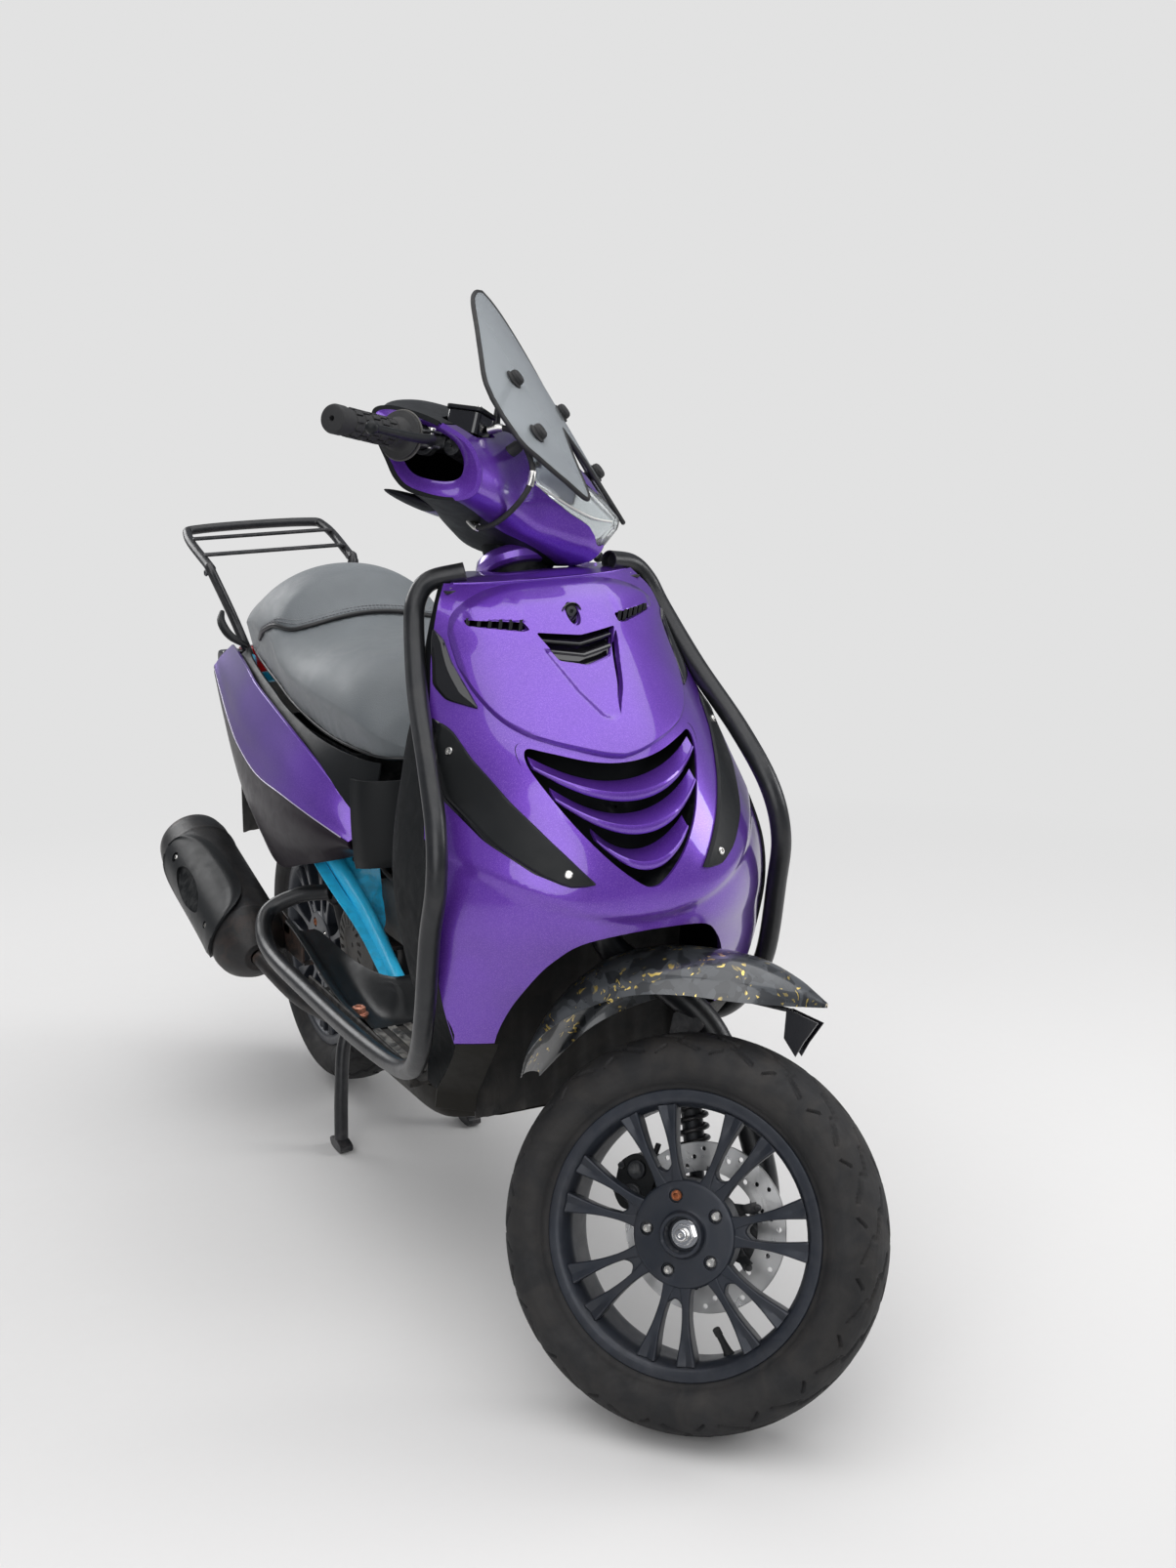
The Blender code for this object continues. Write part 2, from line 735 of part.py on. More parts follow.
def switch_housing():
    """The left switch housing, a sleeve round the bar beside the lever's perch."""
    x = PERCH_X - SEAM
    profile = [
        (x - 0.030, BAR_RADIUS + SEAM), (x, BAR_RADIUS + SEAM), (x, 0.017),
        (x - 0.004, 0.020), (x - 0.026, 0.020), (x - 0.030, 0.017),
    ]
    made = solid("switch_housing", turned(profile, (0, BAR_Y, BAR_Z), sides=16))
    made.data.transform(along_bar(1))
    return made


COVER_OUTLINE = (
    # distance back and height of the handlebar cover's middle section
    (0.292, 1.000), (0.300, 1.045), (0.345, 1.092), (0.420, 1.120), (0.500, 1.138), (0.560, 1.143),
    (0.592, 1.128), (0.575, 1.080), (0.535, 1.030), (0.505, 0.995), (0.468, 0.974), (0.400, 0.966),
    (0.345, 0.968), (0.310, 0.978),
)
COVER_SHRINK = (
    # share of the half-width, and the section's size there ahead of its centre, behind it and below it
    (0.0, 1.0, 1.0, 1.0), (0.15, 0.93, 0.99, 0.90), (0.28, 0.79, 0.96, 0.80), (0.40, 0.64, 0.92, 0.74),
    (0.60, 0.56, 0.82, 0.66), (0.80, 0.54, 0.68, 0.60), (1.0, 0.50, 0.56, 0.56),
)
COVER_SPLIT_TOP = (0.420, 1.120)
COVER_SPLIT_LOW = (0.345, 0.968)


def cover_shell(name, outline, first, last):
    """A shell over part of the handlebar cover's outline, from its first point to its last."""
    centre = Vector((0, COVER_CENTRE_Y, COVER_CENTRE_Z))
    stations = [(-share, *sizes) for share, *sizes in reversed(COVER_SHRINK)]
    stations += COVER_SHRINK[1:]
    outer = []
    inner = []
    for share, ahead, behind, below in stations:
        outer_row = []
        inner_row = []
        for back, height in [first, *outline, last]:
            rise = height - centre.z
            along = (back - centre.y) * (ahead if back < centre.y else behind)
            out = Vector((0, along, rise * (behind if rise > 0 else below)))
            wall = COVER_WALL / max(out.length, COVER_WALL * 4)
            outer_row.append(Vector((share * COVER_HALF_WIDTH, *centre.yz)) + out)
            inner_row.append(Vector((share * COVER_HALF_WIDTH, *centre.yz)) + out * (1 - wall))
        outer.append(outer_row)
        inner.append(inner_row)
    return solid(name, sheet(outer, inner))


HEADLIGHT_ROWS = (
    # distance back, bottom, height of the corner, top, half-width at the bottom, corner and top
    (0.281, 1.022, 1.030, 1.038, 0.004, 0.008, 0.006),
    (0.300, 0.994, 1.028, 1.052, 0.010, 0.028, 0.022),
    (0.325, 0.987, 1.035, 1.070, 0.014, 0.052, 0.046),
    (0.360, 0.991, 1.050, 1.088, 0.016, 0.072, 0.062),
    (0.384, 0.998, 1.056, 1.100, 0.016, 0.076, 0.062),
)


def headlight():
    rings = []
    for back, low, middle, high, low_half, middle_half, high_half in HEADLIGHT_ROWS:
        outline = [(low_half, low), (middle_half, middle), (high_half, high)]
        outline += [(-x, z) for x, z in reversed(outline)]
        rings.append([(x, back, z) for x, z in outline])
    return solid("headlight", bridge(rings, closed=False))


def handlebar_covers(bar, lamp):
    """The painted front cover and the black rear cover, two shells round the bar and the neck."""
    top = COVER_OUTLINE.index(COVER_SPLIT_TOP)
    low = COVER_OUTLINE.index(COVER_SPLIT_LOW)
    front_points = list(reversed(COVER_OUTLINE[:top])) + list(reversed(COVER_OUTLINE[low + 1:]))
    rear_points = list(COVER_OUTLINE[top + 1:low])
    front = cover_shell("handlebar_cover_front", front_points, COVER_SPLIT_TOP, COVER_SPLIT_LOW)
    start = step_from(COVER_SPLIT_TOP, rear_points[0])
    end = step_from(COVER_SPLIT_LOW, rear_points[-1])
    rear = cover_shell("handlebar_cover_rear", rear_points, start, end)
    for shell in (front, rear):
        cut(shell, rod(on_steering_axis(0.88), on_steering_axis(1.00), COLLAR_RADIUS + SEAM, 16))
        clear_of(shell, bar, 0.002)
        cut(shell, box((RESERVOIR_X - 0.026, 0.4145, 1.070), (RESERVOIR_X + 0.026, 0.4675, 1.160)))
        largest_part(shell)
    clear_of(front, lamp, 3 * SEAM)
    return {"handlebar_cover_front": front, "handlebar_cover_rear": rear}


def step_from(point, towards, length=0.0015):
    start = Vector(point)
    return tuple(start + (Vector(towards) - start).normalized() * length)


def windshield():
    """The upright screen: narrow at the top, with two lobes below on either side of an arch."""
    rows = 6
    normal = Vector((0, -1, SCREEN_SLOPE)).normalized() * SCREEN_WALL
    columns = [(-x, low, high) for x, low, high in reversed(SCREEN_COLUMNS[1:])] + list(SCREEN_COLUMNS)
    front = []
    back = []
    for i in range(rows + 1):
        front_row = []
        back_row = []
        for x, low, high in columns:
            z = low + (high - low) * i / rows
            y = SCREEN_MIDDLE_Y + (z - SCREEN_MIDDLE_Z) * SCREEN_SLOPE + SCREEN_SWEEP * x * x
            point = Vector((x, y, z))
            front_row.append(point)
            back_row.append(point - normal)
        front.append(front_row)
        back.append(back_row)
    return solid("windshield", sheet(front, back))


def screen_mount(name, hand, screen, cover):
    """A rubber-headed post that carries the windshield on the handlebar cover."""
    foot = (hand * 0.096, 0.404, 1.074)
    head = (hand * 0.096, 0.366, 1.110)
    post = solid(name, rod(foot, head, 0.008, 8))
    fit(post, screen, cover)
    return post


def fit(target, *neighbours, gap=SEAM):
    """Cuts a piece back to what it meets and keeps its main part."""
    for neighbour in neighbours:
        clear_of(target, neighbour, gap)
    largest_part(target)


def largest_part(obj):
    """Keeps the biggest of the loose parts that a cut has left."""
    work = bmesh.new()
    work.from_mesh(obj.data)
    left = set(work.verts)
    parts = []
    while left:
        stack = [left.pop()]
        part = set(stack)
        while stack:
            vert = stack.pop()
            for edge in vert.link_edges:
                other = edge.other_vert(vert)
                if other not in part:
                    part.add(other)
                    stack.append(other)
        left -= part
        parts.append(part)
    def extent(part):
        return max(vert.co.z for vert in part) - min(vert.co.z for vert in part)
    keep = max(parts, key=extent)
    drop = [vert for vert in work.verts if vert not in keep]
    bmesh.ops.delete(work, geom=drop, context="VERTS")
    work.to_mesh(obj.data)
    work.free()


def brake_hose(neighbours):
    """The front brake's hose, looping from the master cylinder round the cover's side to its underside."""
    route = smooth([
        (-0.124, 0.4172, 1.098), (-0.121, 0.400, 1.104), (-0.112, 0.385, 1.101), (-0.108, 0.373, 1.089),
        (-0.114, 0.357, 1.070), (-0.118, 0.350, 1.054), (-0.119, 0.351, 1.036), (-0.118, 0.360, 1.018),
        (-0.116, 0.374, 1.001), (-0.112, 0.392, 0.988), (-0.105, 0.412, 0.984), (-0.100, 0.428, 0.992),
    ], 2)
    hose = solid("brake_hose", tube(route, 0.0035, 8))
    fit(hose, *neighbours, gap=2 * SEAM)
    return hose


def shield_row(height):
    return between(SHIELD_ROWS, height)


def shield_front(x, height, offset=0.0):
    """The painted shield's outer face at a place across and a height, moved forward by the offset."""
    middle, edge, half = shield_row(height)
    return middle + (edge - middle) * (abs(x) / half) ** SHIELD_POWER - offset


def shield_grid(offset, x_of, heights, columns):
    """A grid on the shield's face; x_of gives the two ends of the row at a height."""
    grid = []
    for height in heights:
        low, high = x_of(height)
        row = []
        for j in range(columns + 1):
            x = low + (high - low) * j / columns
            row.append((x, shield_front(x, height, offset), height))
        grid.append(row)
    return grid


def crescent(low, high, half):
    """A cutter through the shield between two curves of height over the distance across."""
    steps = 8
    xs = [half * (2 * i / steps - 1) for i in range(steps + 1)]
    outline = [(x, low(x)) for x in xs] + [(x, high(x)) for x in reversed(xs)]
    return prism(outline, "Y", -0.05, 0.24)


def front_shield():
    """The painted front shell, open below for the wheel and in the middle behind the grille's bars."""
    heights = [row[0] for row in SHIELD_ROWS]
    outer = []
    inner = []
    for height in heights:
        middle, edge, half = shield_row(height)
        outer_row = []
        inner_row = []
        for j in range(SHIELD_COLUMNS + 1):
            u = 2 * j / SHIELD_COLUMNS - 1
            bend = abs(u) ** SHIELD_POWER
            outer_row.append((u * half, middle + (edge - middle) * bend, height))
            inside = middle + 2 * SHELL_WALL
            inner_row.append((u * (half - SHELL_WALL), inside + (edge - inside) * bend, height))
        outer.append(outer_row)
        inner.append(inner_row)
    shell = solid("front_shield", sheet(outer, inner))
    arch = [
        (-0.148, 0.40), (-0.146, 0.45), (-0.128, 0.512), (-0.104, 0.550), (-0.072, 0.572), (0.0, 0.579),
        (0.072, 0.572), (0.104, 0.550), (0.128, 0.512), (0.146, 0.45), (0.148, 0.40),
    ]
    cut(shell, prism(arch, "Y", -0.1, 0.29))
    bars = ((0.730, 3.2), (0.696, 4.2), (0.657, 9.0))
    half_bar = 0.006

    def bar(index, side):
        level, bend = bars[index]
        return lambda x: level + bend * x * x + side * half_bar

    cut(
        shell,
        crescent(bar(0, 1), lambda x: 0.766 + 1.7 * x * x, 0.095),
        crescent(bar(1, 1), bar(0, -1), 0.084),
        crescent(bar(2, 1), bar(1, -1), 0.060),
        crescent(lambda x: 0.640 + 14 * x * x, bar(2, -1), 0.022),
    )
    return shell


NOSE_ROWS = (
    # height, half-width of the nose cover
    (0.953, 0.118), (0.930, 0.134), (0.905, 0.140), (0.880, 0.138), (0.850, 0.134), (0.825, 0.128),
    (0.800, 0.100), (0.785, 0.065), (0.775, 0.020),
)


def nose_cover():
    """The separate cover on the shield's upper middle, proud of it by its own wall."""
    heights = [row[0] for row in NOSE_ROWS]

    def span(height):
        half = between(NOSE_ROWS, height)[0]
        return -half, half

    front = shield_grid(PATCH_GAP + 2 * NOSE_WALL, span, heights, 12)
    back = shield_grid(PATCH_GAP, span, heights, 12)
    return solid("nose_cover", sheet(front, back))


SIGNAL_COVER_ROWS = (
    # height, inner edge, outer edge
    (0.805, 0.163, 0.172), (0.770, 0.152, 0.186), (0.723, 0.130, 0.184), (0.686, 0.106, 0.160),
    (0.655, 0.082, 0.124), (0.642, 0.070, 0.096),
)
INDICATOR_ROWS = (
    # height, inner edge, outer edge
    (0.905, 0.1425, 0.148), (0.880, 0.1405, 0.155), (0.850, 0.138, 0.162), (0.828, 0.133, 0.154),
)


def shield_patch(name, rows, hand, proud, gap):
    """A cover that lies on the shield's face between two edges."""
    heights = [row[0] for row in rows]

    def span(height):
        inner, outer = between(rows, height)
        return (inner, outer) if hand > 0 else (-outer, -inner)

    front = shield_grid(gap + proud, span, heights, 4)
    back = shield_grid(gap, span, heights, 4)
    return solid(name, sheet(front, back))


def inner_leg_shield():
    """The black shell behind the painted one, which the rider's knees face."""
    rows = list(SHIELD_ROWS) + [(0.385, 0.180, 0.240, 0.185), (FLOOR_Z + 0.010, 0.200, 0.290, 0.182)]
    profile = [(1.0, 0.0, 0.0), (1.0, 0.55, 0.0), (0.97, 0.85, 0.0), (0.88, 1.0, 0.0), (0.50, 1.0, 0.0),
               (0.28, 1.0, 1.0)]
    profile += [(-across, back, bulge) for across, back, bulge in reversed(profile)]
    outer = []
    inner = []
    for height, _, edge, half in rows:
        start = edge + SEAM
        outer_row = []
        inner_row = []
        column = on_steering_axis(height).y + HEAD_RADIUS / STEERING_AXIS.z + 0.008 + SHELL_WALL
        for across, back, bulge in profile:
            side = max(LEG_SIDE_Y, start + 0.022)
            rear = side + max(0.0, column - side) * bulge
            outer_row.append((across * half, start + (rear - start) * back, height))
            inner_row.append((
                across * (half - SHELL_WALL),
                start + (rear - SHELL_WALL - start) * back,
                height,
            ))
        outer.append(outer_row)
        inner.append(inner_row)
    return solid("inner_leg_shield", sheet(outer, inner))


def wheel_arch_liner(chassis):
    """The black wall behind and above the front wheel, with the hole that the leg turns in."""
    path = [(0.135, 0.604), (0.185, 0.592), (0.225, 0.560), (0.250, 0.500), (0.262, 0.400), (0.268, 0.300)]
    half = 0.140
    wall = 0.003
    front = [[(x, y, z) for x in (-half, 0.0, half)] for y, z in path]
    back = [[(x, y + wall, z + wall * 0.5) for x in (-half, 0.0, half)] for y, z in path]
    liner = solid("wheel_arch_liner", sheet(front, back))
    peg = box((-0.012, 0.260, 0.430), (0.012, 0.284, 0.450))
    combine(liner, solid("peg", peg), "UNION")
    fit(liner, chassis)
    return cut(liner, rod(on_steering_axis(0.50), on_steering_axis(0.64), 0.034, 16))


def frame():
    """The blue tube frame: the head tube, the down tube and two rails that rise to the seat."""
    bore = LEG_RADIUS + RUNNING_GAP
    head = turned(
        [(0.0, bore), (0.0, HEAD_RADIUS), (0.255, HEAD_RADIUS), (0.255, bore)],
        on_steering_axis(0.655), STEERING_AXIS, 16,
    )
    start = on_steering_axis(0.80)
    down = tube(
        smooth([(0, start.y - 0.005, start.z), (0, 0.300, 0.66), (0, 0.297, 0.48), (0, 0.299, 0.400),
                (0, 0.298, 0.362), (0, 0.338, SPINE_Z + 0.006), (0, 0.420, SPINE_Z),
                (0, 0.460, SPINE_Z), (0, 0.630, SPINE_Z)], 2),
        SPINE_RADIUS, 8,
    )
    shapes = [down]
    shapes.append(rod((-0.085, 0.615, SPINE_Z), (0.085, 0.615, SPINE_Z), 0.015, 8))
    for hand in (-1, 1):
        shapes.append(tube(
            smooth([(hand * 0.080, 0.610, SPINE_Z), (hand * 0.082, 0.700, 0.345),
                    (hand * 0.098, 0.780, 0.430), (hand * 0.132, CROSS_TUBE_Y, CROSS_TUBE_Z),
                    (hand * 0.140, 1.000, 0.610), (hand * 0.126, 1.200, 0.672),
                    (hand * 0.080, 1.370, 0.715)], 2),
            0.0125, 8,
        ))
    shapes.append(rod((-0.132, CROSS_TUBE_Y, CROSS_TUBE_Z), (0.132, CROSS_TUBE_Y, CROSS_TUBE_Z),
                      CROSS_TUBE_RADIUS, 12))
    shapes.append(rod((-0.103, 1.290, 0.696), (0.103, 1.290, 0.696), 0.009, 8))
    whole = union("frame", *shapes)
    combine(whole, solid("head", head), "UNION")
    return cut(whole, rod(on_steering_axis(0.50), on_steering_axis(1.05), bore, 16))


def lower_fairing():
    """The belly tray below the floor, open above."""
    rows = []
    for back, low, half in (
        (BELLY_FRONT_Y, 0.290, 0.120), (0.330, BELLY_Z, 0.165), (0.420, BELLY_Z, BELLY_HALF_WIDTH),
        (FLOOR_REAR_Y - 0.05, BELLY_Z, BELLY_HALF_WIDTH), (FLOOR_REAR_Y, 0.295, BELLY_HALF_WIDTH - 0.004),
    ):
        rows.append((back, low, half))
    high = FLOOR_Z - FLOOR_WALL - SEAM
    outer = []
    inner = []
    for back, low, half in rows:
        outer.append([(-half, back, high), (-half * 0.97, back, low + 0.008), (-half * 0.8, back, low),
                      (half * 0.8, back, low), (half * 0.97, back, low + 0.008), (half, back, high)])
        wall = BELLY_WALL
        inner.append([
            (-half + wall, back, high), (-half * 0.97 + wall, back, low + 0.008 + wall * 0.5),
            (-half * 0.8 + wall * 0.5, back, low + wall), (half * 0.8 - wall * 0.5, back, low + wall),
            (half * 0.97 - wall, back, low + 0.008 + wall * 0.5), (half - wall, back, high),
        ])
    return solid("lower_fairing", sheet(outer, inner))


def footboard(chassis):
    """The flat floor with its raised edges."""
    plate = box((-FLOOR_HALF_WIDTH, FLOOR_FRONT_Y, FLOOR_Z - FLOOR_WALL),
                (FLOOR_HALF_WIDTH, FLOOR_REAR_Y, FLOOR_Z))
    edge = 0.006
    left = box((FLOOR_HALF_WIDTH - edge, FLOOR_FRONT_Y, FLOOR_Z - FLOOR_WALL),
               (FLOOR_HALF_WIDTH, FLOOR_REAR_Y, FLOOR_Z + 0.022))
    right = box((-FLOOR_HALF_WIDTH, FLOOR_FRONT_Y, FLOOR_Z - FLOOR_WALL),
                (-FLOOR_HALF_WIDTH + edge, FLOOR_REAR_Y, FLOOR_Z + 0.022))
    pad = box((-0.060, 0.598, FLOOR_Z - 0.018), (-0.030, 0.611, FLOOR_Z - FLOOR_WALL / 2))
    floor = union("footboard", plate, left, right, pad)
    opening = box((-0.125, 0.612, FLOOR_Z - 0.02), (0.125, FLOOR_REAR_Y + 0.02, FLOOR_Z + 0.05))
    notch = box((-0.026, FLOOR_FRONT_Y - 0.02, FLOOR_Z - 0.02),
                (0.026, FLOOR_FRONT_Y + 0.024, FLOOR_Z + 0.02))
    cut(floor, opening, notch)
    fit(floor, chassis)
    return floor


def crash_bar(name, hand, neighbours):
    """One tube round the body's side: from the shield's top, down its edge and along the floor."""
    route = smooth([
        (0.096, 0.337, 0.966), (0.135, 0.353, 0.957), (0.155, 0.350, 0.936), (0.166, 0.333, 0.902),
        (0.185, 0.280, 0.834), (0.204, 0.206, 0.763), (0.217, 0.156, 0.700), (0.225, 0.143, 0.640),
        (0.229, 0.161, 0.575), (0.229, 0.190, 0.475), (0.222, 0.234, 0.412), (0.214, 0.290, 0.372),
        (0.210, 0.370, 0.352), (0.212, 0.520, 0.345), (0.212, 0.710, 0.345), (0.212, 0.870, 0.350),
        (0.206, 0.940, 0.368), (0.185, 0.972, 0.392), (0.140, 0.960, 0.412), (0.100, 0.932, 0.418),
    ], 2)
    bar = solid(name, tube([(p.x * hand, p.y, p.z) for p in route], CRASH_BAR_RADIUS, 8))
    fit(bar, *neighbours, gap=3 * SEAM)
    return bar


def seat_section(back, low, top, half):
    """One closed cross-section of the seat, flat below and rounded above."""
    loop = [(-half * 0.90, back, low), (half * 0.90, back, low)]
    for angle in (10, 40, 65, 90, 115, 140, 170):
        a = math.radians(angle)
        loop.append((half * math.cos(a), back, low + (top - low) * (0.35 + 0.65 * math.sin(a))))
    return loop


SEAT_ROWS = (
    # distance back, underside, top, half-width
    (0.655, 0.672, 0.700, 0.060), (0.675, 0.672, 0.745, 0.100), (0.730, 0.676, 0.795, 0.125),
    (0.820, 0.684, 0.815, 0.140), (0.920, 0.700, 0.822, 0.146), (0.985, 0.712, 0.850, 0.146),
    (1.030, 0.722, 0.893, 0.144), (1.120, 0.738, 0.895, 0.138), (1.240, 0.750, 0.853, 0.118),
    (1.330, 0.752, 0.808, 0.088), (1.374, 0.754, 0.772, 0.050),
)
SEAT_HINGE_Y = 0.668
SEAT_HINGE_Z = 0.663
SEAT_PIN_RADIUS = 0.004


def seat():
    cushion = bridge([seat_section(*row) for row in SEAT_ROWS], closed=False)
    knuckle = rod((-0.030, SEAT_HINGE_Y, SEAT_HINGE_Z), (0.030, SEAT_HINGE_Y, SEAT_HINGE_Z), 0.009, 10)
    tongue = box((-0.030, SEAT_HINGE_Y - 0.006, SEAT_HINGE_Z), (0.030, SEAT_HINGE_Y + 0.008, 0.680))
    bore = rod((-0.04, SEAT_HINGE_Y, SEAT_HINGE_Z), (0.04, SEAT_HINGE_Y, SEAT_HINGE_Z),
               SEAT_PIN_RADIUS + RUNNING_GAP, 10)
    return cut(union("seat", cushion, knuckle, tongue), bore)


def luggage_box():
    """The open-topped bucket below the seat, with the hinge's lugs at its front."""
    outer = box((-BUCKET_HALF_WIDTH, BUCKET_FRONT_Y, BUCKET_FLOOR_Z),
                (BUCKET_HALF_WIDTH, BUCKET_REAR_Y, BUCKET_RIM_Z))
    bucket = solid("luggage_box", outer)
    wall = BUCKET_WALL
    inner = box((-BUCKET_HALF_WIDTH + wall, BUCKET_FRONT_Y + wall, BUCKET_FLOOR_Z + wall),
                (BUCKET_HALF_WIDTH - wall, BUCKET_REAR_Y - wall, BUCKET_RIM_Z + 0.05))
    cut(bucket, inner)
    pin = rod((-0.050, SEAT_HINGE_Y, SEAT_HINGE_Z), (0.050, SEAT_HINGE_Y, SEAT_HINGE_Z),
              SEAT_PIN_RADIUS, 10)
    for hand in (-1, 1):
        low = min(hand * 0.036, hand * 0.044)
        lug = box((low, SEAT_HINGE_Y - 0.006, SEAT_HINGE_Z - 0.010),
                  (low + 0.008, BUCKET_FRONT_Y + wall / 2, SEAT_HINGE_Z + 0.005))
        combine(bucket, solid("lug", lug), "UNION")
    combine(bucket, solid("pin", pin), "UNION")
    foot_z = CROSS_TUBE_Z + CROSS_TUBE_RADIUS + SEAM
    foot = box((-0.020, CROSS_TUBE_Y - 0.010, foot_z),
               (0.020, CROSS_TUBE_Y + 0.010, BUCKET_FLOOR_Z + wall / 2))
    combine(bucket, solid("foot", foot), "UNION")
    return bucket


SIDE_ROWS = (
    # distance back, lower edge, upper edge, greatest distance across
    (0.680, 0.540, 0.575, 0.150), (0.760, 0.515, 0.630, 0.176), (0.850, 0.490, 0.672, 0.190),
    (0.970, 0.462, 0.705, 0.193), (1.080, 0.492, 0.725, 0.188), (1.160, 0.527, 0.738, 0.178),
    (1.280, 0.590, 0.742, 0.157), (1.400, 0.655, 0.738, 0.134),
)
SIDE_BULGE = ((0.0, 0.026), (0.25, 0.006), (0.5, 0.0), (0.75, 0.010), (1.0, 0.034))


def side_panel(name, hand, chassis):
    outer = []
    inner = []
    for back, low, high, across in SIDE_ROWS:
        outer_row = []
        inner_row = []
        for share, tuck in SIDE_BULGE:
            z = low + (high - low) * share
            outer_row.append((hand * (across - tuck), back, z))
            inner_row.append((hand * (across - tuck - PANEL_WALL), back, z))
        outer.append(outer_row)
        inner.append(inner_row)
    panel = solid(name, sheet(outer, inner))
    peg = rod((hand * 0.145, 1.000, 0.612), (hand * 0.190, 1.000, 0.612), 0.007, 8)
    combine(panel, solid("peg", peg), "UNION")
    clear_of(panel, chassis)
    return panel


def under_seat_panel():
    """The matt panel below the seat's nose, which wraps back to the side panels."""
    plan = [(-0.142, 0.6795), (-0.128, 0.652), (-0.085, 0.632), (0.0, 0.622),
            (0.085, 0.632), (0.128, 0.652), (0.142, 0.6795)]
    inside = [(-0.137, 0.6795), (-0.124, 0.655), (-0.084, 0.636), (0.0, 0.626),
              (0.084, 0.636), (0.124, 0.655), (0.137, 0.6795)]
    levels = (0.0, 0.5, 1.0)
    outer = []
    inner = []
    for level in levels:
        outer.append([(x, y, panel_height(y, level)) for x, y in plan])
        inner.append([(x, y, panel_height(y, level)) for x, y in inside])
    return solid("under_seat_panel", sheet(outer, inner))


def panel_height(back, level):
    low = 0.530 - 0.15 * (back - 0.62)
    return low + (0.650 - low) * level


def engine_block(chassis):
    """The crankcase as one plain block, with the sleeve that the centre stand turns on."""
    block = box((-ENGINE_HALF_WIDTH, ENGINE_FRONT_Y, ENGINE_LOW_Z),
                (ENGINE_HALF_WIDTH, ENGINE_REAR_Y, ENGINE_HIGH_Z))
    shapes = [block]
    for hand in (-1, 1):
        near = min(hand * (STAND_SLEEVE + SEAM), hand * (STAND_SLEEVE + SEAM + STAND_LUG))
        shapes.append(box((near, STAND_PIVOT_Y - 0.014, STAND_PIVOT_Z - STAND_PIN_RADIUS),
                          (near + STAND_LUG, STAND_PIVOT_Y + 0.006, ENGINE_LOW_Z + 0.01)))
    end = STAND_SLEEVE + STAND_LUG
    shapes.append(rod((-end, STAND_PIVOT_Y, STAND_PIVOT_Z), (end, STAND_PIVOT_Y, STAND_PIVOT_Z),
                      STAND_PIN_RADIUS, 12))
    hanger = box((0.040, 0.705, 0.308), (0.052, ENGINE_FRONT_Y + 0.004, 0.338))
    hanger_pin = rod((0.030, 0.705, 0.326), (0.084, 0.705, 0.326), 0.010, 10)
    engine = union("engine_block", *shapes, hanger, hanger_pin)
    fit(engine, chassis)
    return engine


def cylinder_cowl():
    """The grey cooling cowl round the finned cylinder, in front of the crankcase."""
    block = box((-0.064, 0.690, 0.375), (0.035, ENGINE_FRONT_Y - SEAM, 0.470))
    return solid("cylinder_cowl", block)


def fan_cover():
    """The fan's cover on the crankcase's right side."""
    profile = [(0.0, 0.004), (0.0, 0.074), (-0.018, 0.070), (-0.030, 0.050), (-0.030, 0.004)]
    return solid("fan_cover", turned(profile, (-ENGINE_HALF_WIDTH - SEAM, 0.880, 0.345), sides=24))


def transmission_case():
    """The belt case on the left, which carries the rear axle, with the axle and its nut."""
    case = prism(belt_outline(), "X", CASE_X, CASE_X + CASE_THICKNESS)
    link = box((ENGINE_HALF_WIDTH + SEAM, 0.830, 0.290), (CASE_X + 0.01, 0.940, 0.380))
    axle = rod((HUB_FACE_X - 0.012, WHEELBASE, REAR_AXLE_Z), (CASE_X + 0.01, WHEELBASE, REAR_AXLE_Z),
               AXLE_RADIUS, 16)
    nut = rod((HUB_FACE_X - 0.010, WHEELBASE, REAR_AXLE_Z),
              (HUB_FACE_X - RUNNING_GAP, WHEELBASE, REAR_AXLE_Z), 0.014, 6)
    return union("transmission_case", case, link, axle, nut)


def belt_outline():
    """A stadium round the front pulley and the rear axle."""
    points = []
    front = (CASE_FRONT_Y, CASE_FRONT_Z, CASE_FRONT_RADIUS)
    rear = (WHEELBASE, REAR_AXLE_Z + CASE_REAR_RISE, CASE_REAR_RADIUS)
    for (y, z, radius), start in ((rear, -85), (front, 85)):
        for i in range(9):
            angle = math.radians(start + i * 180 / 8)
            points.append((y + radius * math.cos(angle), z + radius * math.sin(angle)))
    return points


def rear_brake_drum():
    profile = [
        (DRUM_X, AXLE_RADIUS + SEAM), (DRUM_X, DRUM_RADIUS), (CASE_X - SEAM, DRUM_RADIUS),
        (CASE_X - SEAM, AXLE_RADIUS + SEAM),
    ]
    return solid("rear_brake_drum", turned(profile, REAR_AXLE, sides=24))


def air_filter_box(case):
    outline = [(0.990, 0.370), (1.110, 0.340), (1.150, 0.350), (1.150, 0.460), (1.100, 0.490),
               (1.005, 0.490), (0.990, 0.470)]
    filter_box = solid("air_filter_box", prism(outline, "X", CASE_X, CASE_X + 0.070))
    fit(filter_box, case)
    return filter_box


def rear_shock(neighbours):
    low = Vector((0.101, 1.232, REAR_AXLE_Z + CASE_REAR_RISE + CASE_REAR_RADIUS - 0.004))
    high = Vector((0.112, 1.212, 0.6700))
    length = (high - low).length
    profile = [
        (0.0, 0.002), (0.0, 0.012), (length * 0.14, 0.012), (length * 0.16, 0.027), (length * 0.80, 0.027),
        (length * 0.82, 0.013), (length, 0.013), (length, 0.002),
    ]
    shock = solid("rear_shock", turned(profile, low, high - low, 14))
    fit(shock, *neighbours)
    return shock


